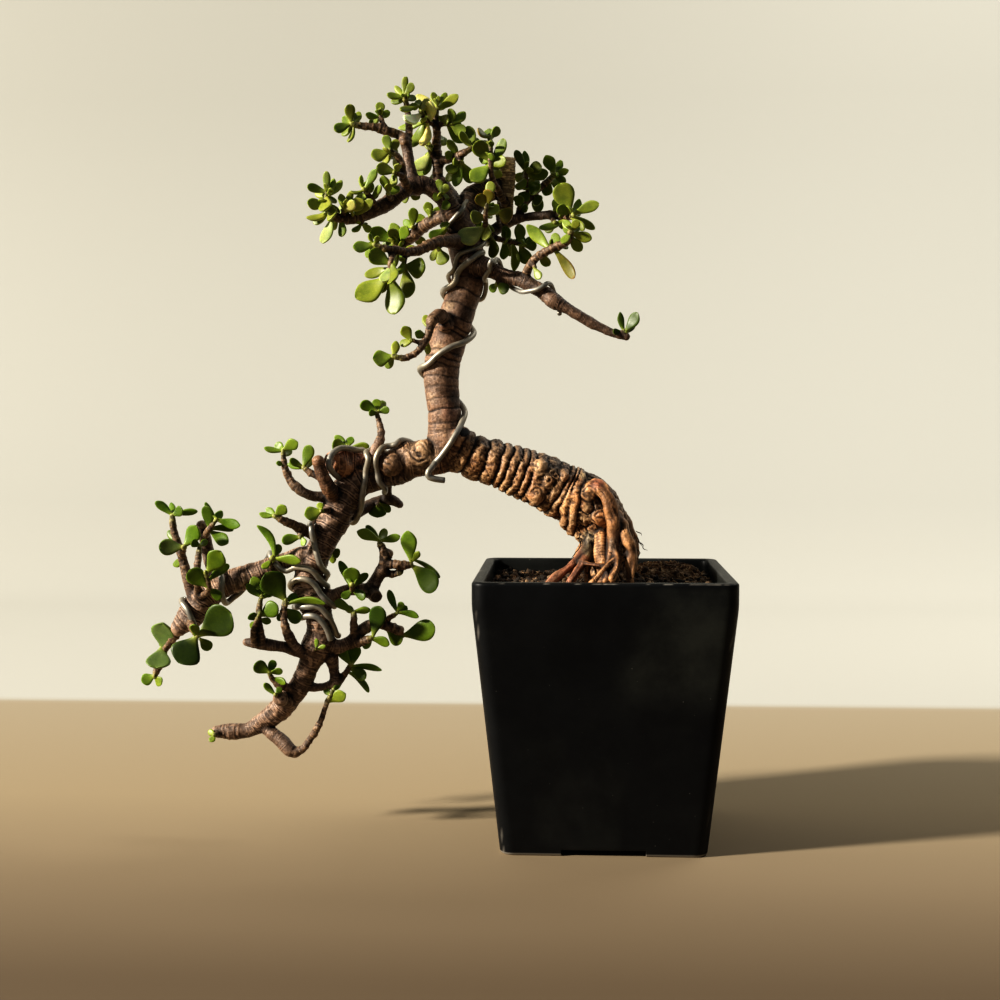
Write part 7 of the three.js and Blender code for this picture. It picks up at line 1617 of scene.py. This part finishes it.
def pot_piece():
    material = glaze_material()
    shape = pot_rings()
    faces = closed_walls(len(shape), len(shape[0]))
    body = mesh_object("pot_glazed", np.concatenate(shape), faces, material)
    between = POT_BASE_SIDE - 2 * FOOT_SIDE
    cutters = [box_cutter(CUTTER_LENGTH, between, material), box_cutter(between, CUTTER_LENGTH, material),
               drain_cutter(material)]
    for tool in cutters:
        cut = body.modifiers.new("cut", "BOOLEAN")
        cut.operation, cut.solver, cut.object = "DIFFERENCE", "EXACT", tool
    settle(body)
    for tool in cutters:
        bpy.data.objects.remove(tool)
    soften = body.modifiers.new("soften", "BEVEL")
    soften.width, soften.segments = 0.6 * MM, 2
    soften.limit_method, soften.angle_limit = "ANGLE", math.radians(50)
    settle(body)
    body.data.polygons.foreach_set("use_smooth", [True] * len(body.data.polygons))
    body.data.set_sharp_from_angle(angle=math.radians(42))
    corners = np.array([v.co for v in body.data.vertices])
    put_values(body, **pot_wear((corners - AXIS) / MM))
    carried(body, "glaze", "pot")


# ---- Soil ---------------------------------------------------------------------------------------

SOIL_TOP = 128.5
SOIL_HALF = (POT_TOP_SIDE - 2 * POT_WALL - 0.7) / 2
SOIL_LINES = 150
# The corners of the sheet: where the rounding starts, and its radius.
SOIL_CORNER = 4
SOIL_ROUND = 3.8
# Each heap: x y of its middle, half its length both ways, and how far it rises.
SOIL_HEAPS = [(4, 2, 34, 30, 2.6), (33, 30, 19, 15, 7), (18, 40, 12, 9, 4)]
# The pale fibrous clod at the back right; its tint is raised further as painted light, since it lies in the
# shade of the trunk and roots.
CLOD_X, CLOD_Y, CLOD_REACH_X, CLOD_REACH_Y = 33, 30, 20, 16
CLOD_TINT = np.array([8.5, 8.0, 7.0])
CRUMBS = 900
FIBRES = 430
FIBRE_STEPS = 7
CRUMB_SHADES = [(0.8, 0.8, 0.8), (2.2, 1.9, 1.5), (5.2, 4.7, 4.0), (1.4, 1.1, 0.9), (8.5, 8.0, 7.0)]
# How often each shade comes up on the clod, and elsewhere.
CLOD_ODDS = [0.1, 0.35, 0.3, 0.1, 0.15]
BED_ODDS = [0.35, 0.3, 0.12, 0.18, 0.05]
FIBRE_SHADES = [(7.0, 6.0, 4.6), (4.0, 3.0, 2.2), (9.0, 8.2, 6.6)]
HAIR_RADIUS = 0.28
HAIR_SHADE = 1.3


def ground_height(x, y):
    """The soil's surface, flat to the wall and heaped in places."""
    height = np.full(np.shape(x), float(SOIL_TOP))
    for cx, cy, half_x, half_y, rise in SOIL_HEAPS:
        reach = ((x - cx) / half_x) ** 2 + ((y - cy) / half_y) ** 2
        height = np.maximum(height, SOIL_TOP + rise * np.sqrt(np.clip(1 - reach, 0, 1)))
    return height


def clod_distance(x, y):
    """Below 1 on the clod."""
    return np.hypot((x - CLOD_X) / CLOD_REACH_X, (y - CLOD_Y) / CLOD_REACH_Y)


def soil_surface():
    """A rough sheet over the whole pot, rounded at the pot's inner corners."""
    line = np.linspace(-SOIL_HALF, SOIL_HALF, SOIL_LINES)
    x, y = (v.ravel() for v in np.meshgrid(line, line, indexing="ij"))
    flat = np.column_stack([x, y, np.zeros_like(x)])
    z = ground_height(x, y) - 1.4 + 0.9 * rough(flat, 9, 3, 2) + 0.9 * rough(flat, 2.2, 13, 3)
    z = z - 1.2 * smoothstep(5, 0, SOIL_HALF - np.maximum(np.abs(x), np.abs(y)))
    straight = SOIL_HALF - SOIL_CORNER
    past_x, past_y = (np.abs(v) - SOIL_HALF + SOIL_CORNER for v in (x, y))
    corner = np.hypot(np.maximum(past_x, 0), np.maximum(past_y, 0))
    pull = np.where(corner > SOIL_ROUND, SOIL_ROUND / np.maximum(corner, 1e-6), 1)
    square = (np.abs(x) > straight) & (np.abs(y) > straight)
    x, y = (np.where(square, np.sign(v) * (straight + past * pull), v)
            for v, past in ((x, past_x), (y, past_y)))
    index = np.arange(SOIL_LINES ** 2).reshape(SOIL_LINES, SOIL_LINES)
    quads = [index[:-1, :-1], index[1:, :-1], index[1:, 1:], index[:-1, 1:]]
    return np.column_stack([x, y, z]), np.stack(quads, -1).reshape(-1, 4).tolist()


def grain_shape():
    """A crumb: an octahedron cut once more, with 18 points."""
    corners = [way * axis for axis in np.eye(3) for way in (1, -1)]
    triangles = [(0, 2, 4), (2, 1, 4), (1, 3, 4), (3, 0, 4), (2, 0, 5), (1, 2, 5), (3, 1, 5), (0, 3, 5)]
    middles, faces = {}, []

    def middle(a, b):
        key = (min(a, b), max(a, b))
        if key not in middles:
            middles[key] = len(corners)
            corners.append(unit(corners[a] + corners[b]))
        return middles[key]

    for a, b, c in triangles:
        ab, bc, ca = middle(a, b), middle(b, c), middle(c, a)
        faces += [[a, ab, ca], [ab, b, bc], [ca, bc, c], [ab, bc, ca]]
    return np.array(corners), faces


def strand(route, radius, sides=5):
    """A thin tapered tube along a few points."""
    along, side = carried_sides(route)
    taper = radius * np.interp(np.linspace(0, 1, len(route)), [0, 0.15, 0.8, 1], [0.5, 1, 0.8, 0.25])
    return rings_round(route, taper, side, np.cross(along, side), sides), closed_walls(len(route), sides)


def fibre(rng):
    """The route of one loose fibre on the soil; most of them lie on the clod."""
    on_clod = rng.random() < 0.7
    if on_clod:
        start = CLOD_X + rng.uniform(-21, 19), CLOD_Y + rng.uniform(-16, 14)
    else:
        start = rng.uniform(-SOIL_HALF + 5, SOIL_HALF - 5, 2)
    length = rng.uniform(3, 11)
    heading = rng.uniform(0, 2 * math.pi)
    bend = rng.uniform(-0.9, 0.9)
    steps = np.linspace(0, 1, FIBRE_STEPS)
    heads = heading + bend * (steps - 0.5) * 2
    path = np.cumsum(np.column_stack([np.cos(heads), np.sin(heads)]) * length / FIBRE_STEPS, 0) + start
    path = np.clip(path, -SOIL_HALF + 1.5, SOIL_HALF - 1.5)
    lift = rng.uniform(0.1, 0.8) + rng.uniform(0, 1.4 if on_clod else 0.5) * np.sin(steps * math.pi)
    return np.column_stack([path, ground_height(path[:, 0], path[:, 1]) - 1.0 + lift])


def soil_piece():
    rng = np.random.default_rng(7)
    bed = Gathered()
    points, faces = soil_surface()
    heap = smoothstep(1.15, 0.8, clod_distance(points[:, 0], points[:, 1]))[:, None]
    bed.add(points, faces, tint=1 + heap * (CLOD_TINT - 1))
    ball, ball_faces = grain_shape()
    for _ in range(CRUMBS):
        x, y = rng.uniform(-SOIL_HALF + 1.5, SOIL_HALF - 1.5, 2)
        size = rng.uniform(0.5, 1.7) ** 1.2
        z = float(ground_height(x, y)) - 0.9 + 0.25 * size
        spin = np.linalg.qr(rng.normal(size=(3, 3)))[0]
        stretch = rng.uniform(0.6, 1.3, 3)
        jitter = 1 + rng.uniform(-0.22, 0.22, (len(ball), 1))
        shade = rng.choice(CRUMB_SHADES, p=CLOD_ODDS if clod_distance(x, y) < 1 else BED_ODDS)
        bed.add((ball * jitter * stretch * size) @ spin + [x, y, z], ball_faces, tint=painted(ball, shade))
    for _ in range(FIBRES):
        points, faces = strand(fibre(rng), rng.uniform(0.14, 0.34))
        bed.add(points, faces, tint=painted(points, FIBRE_SHADES[rng.integers(3)]))
    for row in rows(HAIR_ROWS):
        hair = spline(numbers(row), 1.2)[0]
        points, faces = strand(hair + 0.35 * rng.normal(size=hair.shape), HAIR_RADIUS)
        bed.add(points, faces, tint=painted(points, HAIR_SHADE))
    carried(bed.piece("soil_bed", soil_material()), "soil", "soil")


# ---- Studio and camera, in metres ---------------------------------------------------------------

# The table's front edge, its end where the sweep turns up into the wall, the radius of that turn, half the
# stage's width and the wall's top.
TABLE_FRONT, TABLE_END, TURN, STAGE_HALF, WALL_TOP = -2.6, 0.9, 0.7, 4.5, 3.2
# The camera from the pot's axis in millimetres, how far it looks down and is turned, and its focal
# length in pixels of a frame 1000 wide.
CAMERA_PLACE = (-14.8, -788, 215.5)
CAMERA_DOWN, CAMERA_TURN = 3.3, 2.75
FOCAL_PIXELS = 1543
SENSOR = 36


def studio():
    profile = [(TABLE_FRONT, 0.0), (TABLE_END, 0.0)]
    for a in np.linspace(0.05, math.pi / 2, 16):
        profile.append((TABLE_END + TURN * math.sin(a), TURN * (1 - math.cos(a))))
    profile.append((TABLE_END + TURN, WALL_TOP))
    points = [(x, y, z) for y, z in profile for x in (-STAGE_HALF, STAGE_HALF)]
    faces = [[2 * i, 2 * i + 1, 2 * i + 3, 2 * i + 2] for i in range(len(profile) - 1)]
    mesh_object("studio_sweep", np.array(points) / MM - AXIS / MM, faces, stage_material())


def area_light(name, place, aim, size, power, colour):
    lamp = bpy.data.lights.new(name, "AREA")
    lamp.shape, lamp.size, lamp.energy, lamp.color = "DISK", size, power, colour
    holder = bpy.data.objects.new(name, lamp)
    holder.location = place
    direction = Vector([a - b for a, b in zip(aim, place)])
    holder.rotation_euler = direction.to_track_quat("-Z", "Y").to_euler()
    bpy.context.scene.collection.objects.link(holder)


def lights():
    """A warm lamp far to the left, one that lights the wall, and a weak cool sky."""
    x, y, z = AXIS[0] - 0.06, AXIS[1], 0.2
    area_light("key", (x - 5.2, y - 2.1, z + 2.5), (x, y, z), 0.6, 680, (1.0, 0.93, 0.82))
    area_light("wall", (x + 0.85, 0.6, 1.2), (x + 0.65, 1.5, 0.1), 0.8, 10.5, (1.0, 0.96, 0.9))
    world = bpy.data.worlds.new("studio")
    world.use_nodes = True
    background = world.node_tree.nodes["Background"]
    background.inputs["Color"].default_value = (0.84, 0.94, 1.0, 1)
    background.inputs["Strength"].default_value = 0.125
    bpy.context.scene.world = world


def camera():
    """At the photograph's place."""
    cam = bpy.data.cameras.new("camera")
    cam.sensor_width = SENSOR
    cam.lens = FOCAL_PIXELS / 1000 * SENSOR
    cam.clip_start = 0.05
    holder = bpy.data.objects.new("camera", cam)
    x, y, z = CAMERA_PLACE
    holder.location = (AXIS[0] + x * MM, AXIS[1] + y * MM, z * MM)
    holder.rotation_euler = (math.radians(90 - CAMERA_DOWN), 0, math.radians(CAMERA_TURN))
    bpy.context.scene.collection.objects.link(holder)
    bpy.context.scene.camera = holder


camera()
lights()
studio()
wood_pieces()
leaf_pieces()
wire_pieces()
pot_piece()
soil_piece()
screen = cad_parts["drain_screen"].data.materials
screen.clear()
screen.append(screen_material())
view = bpy.context.scene.view_settings
view.view_transform, view.look = "Standard", "High Contrast"
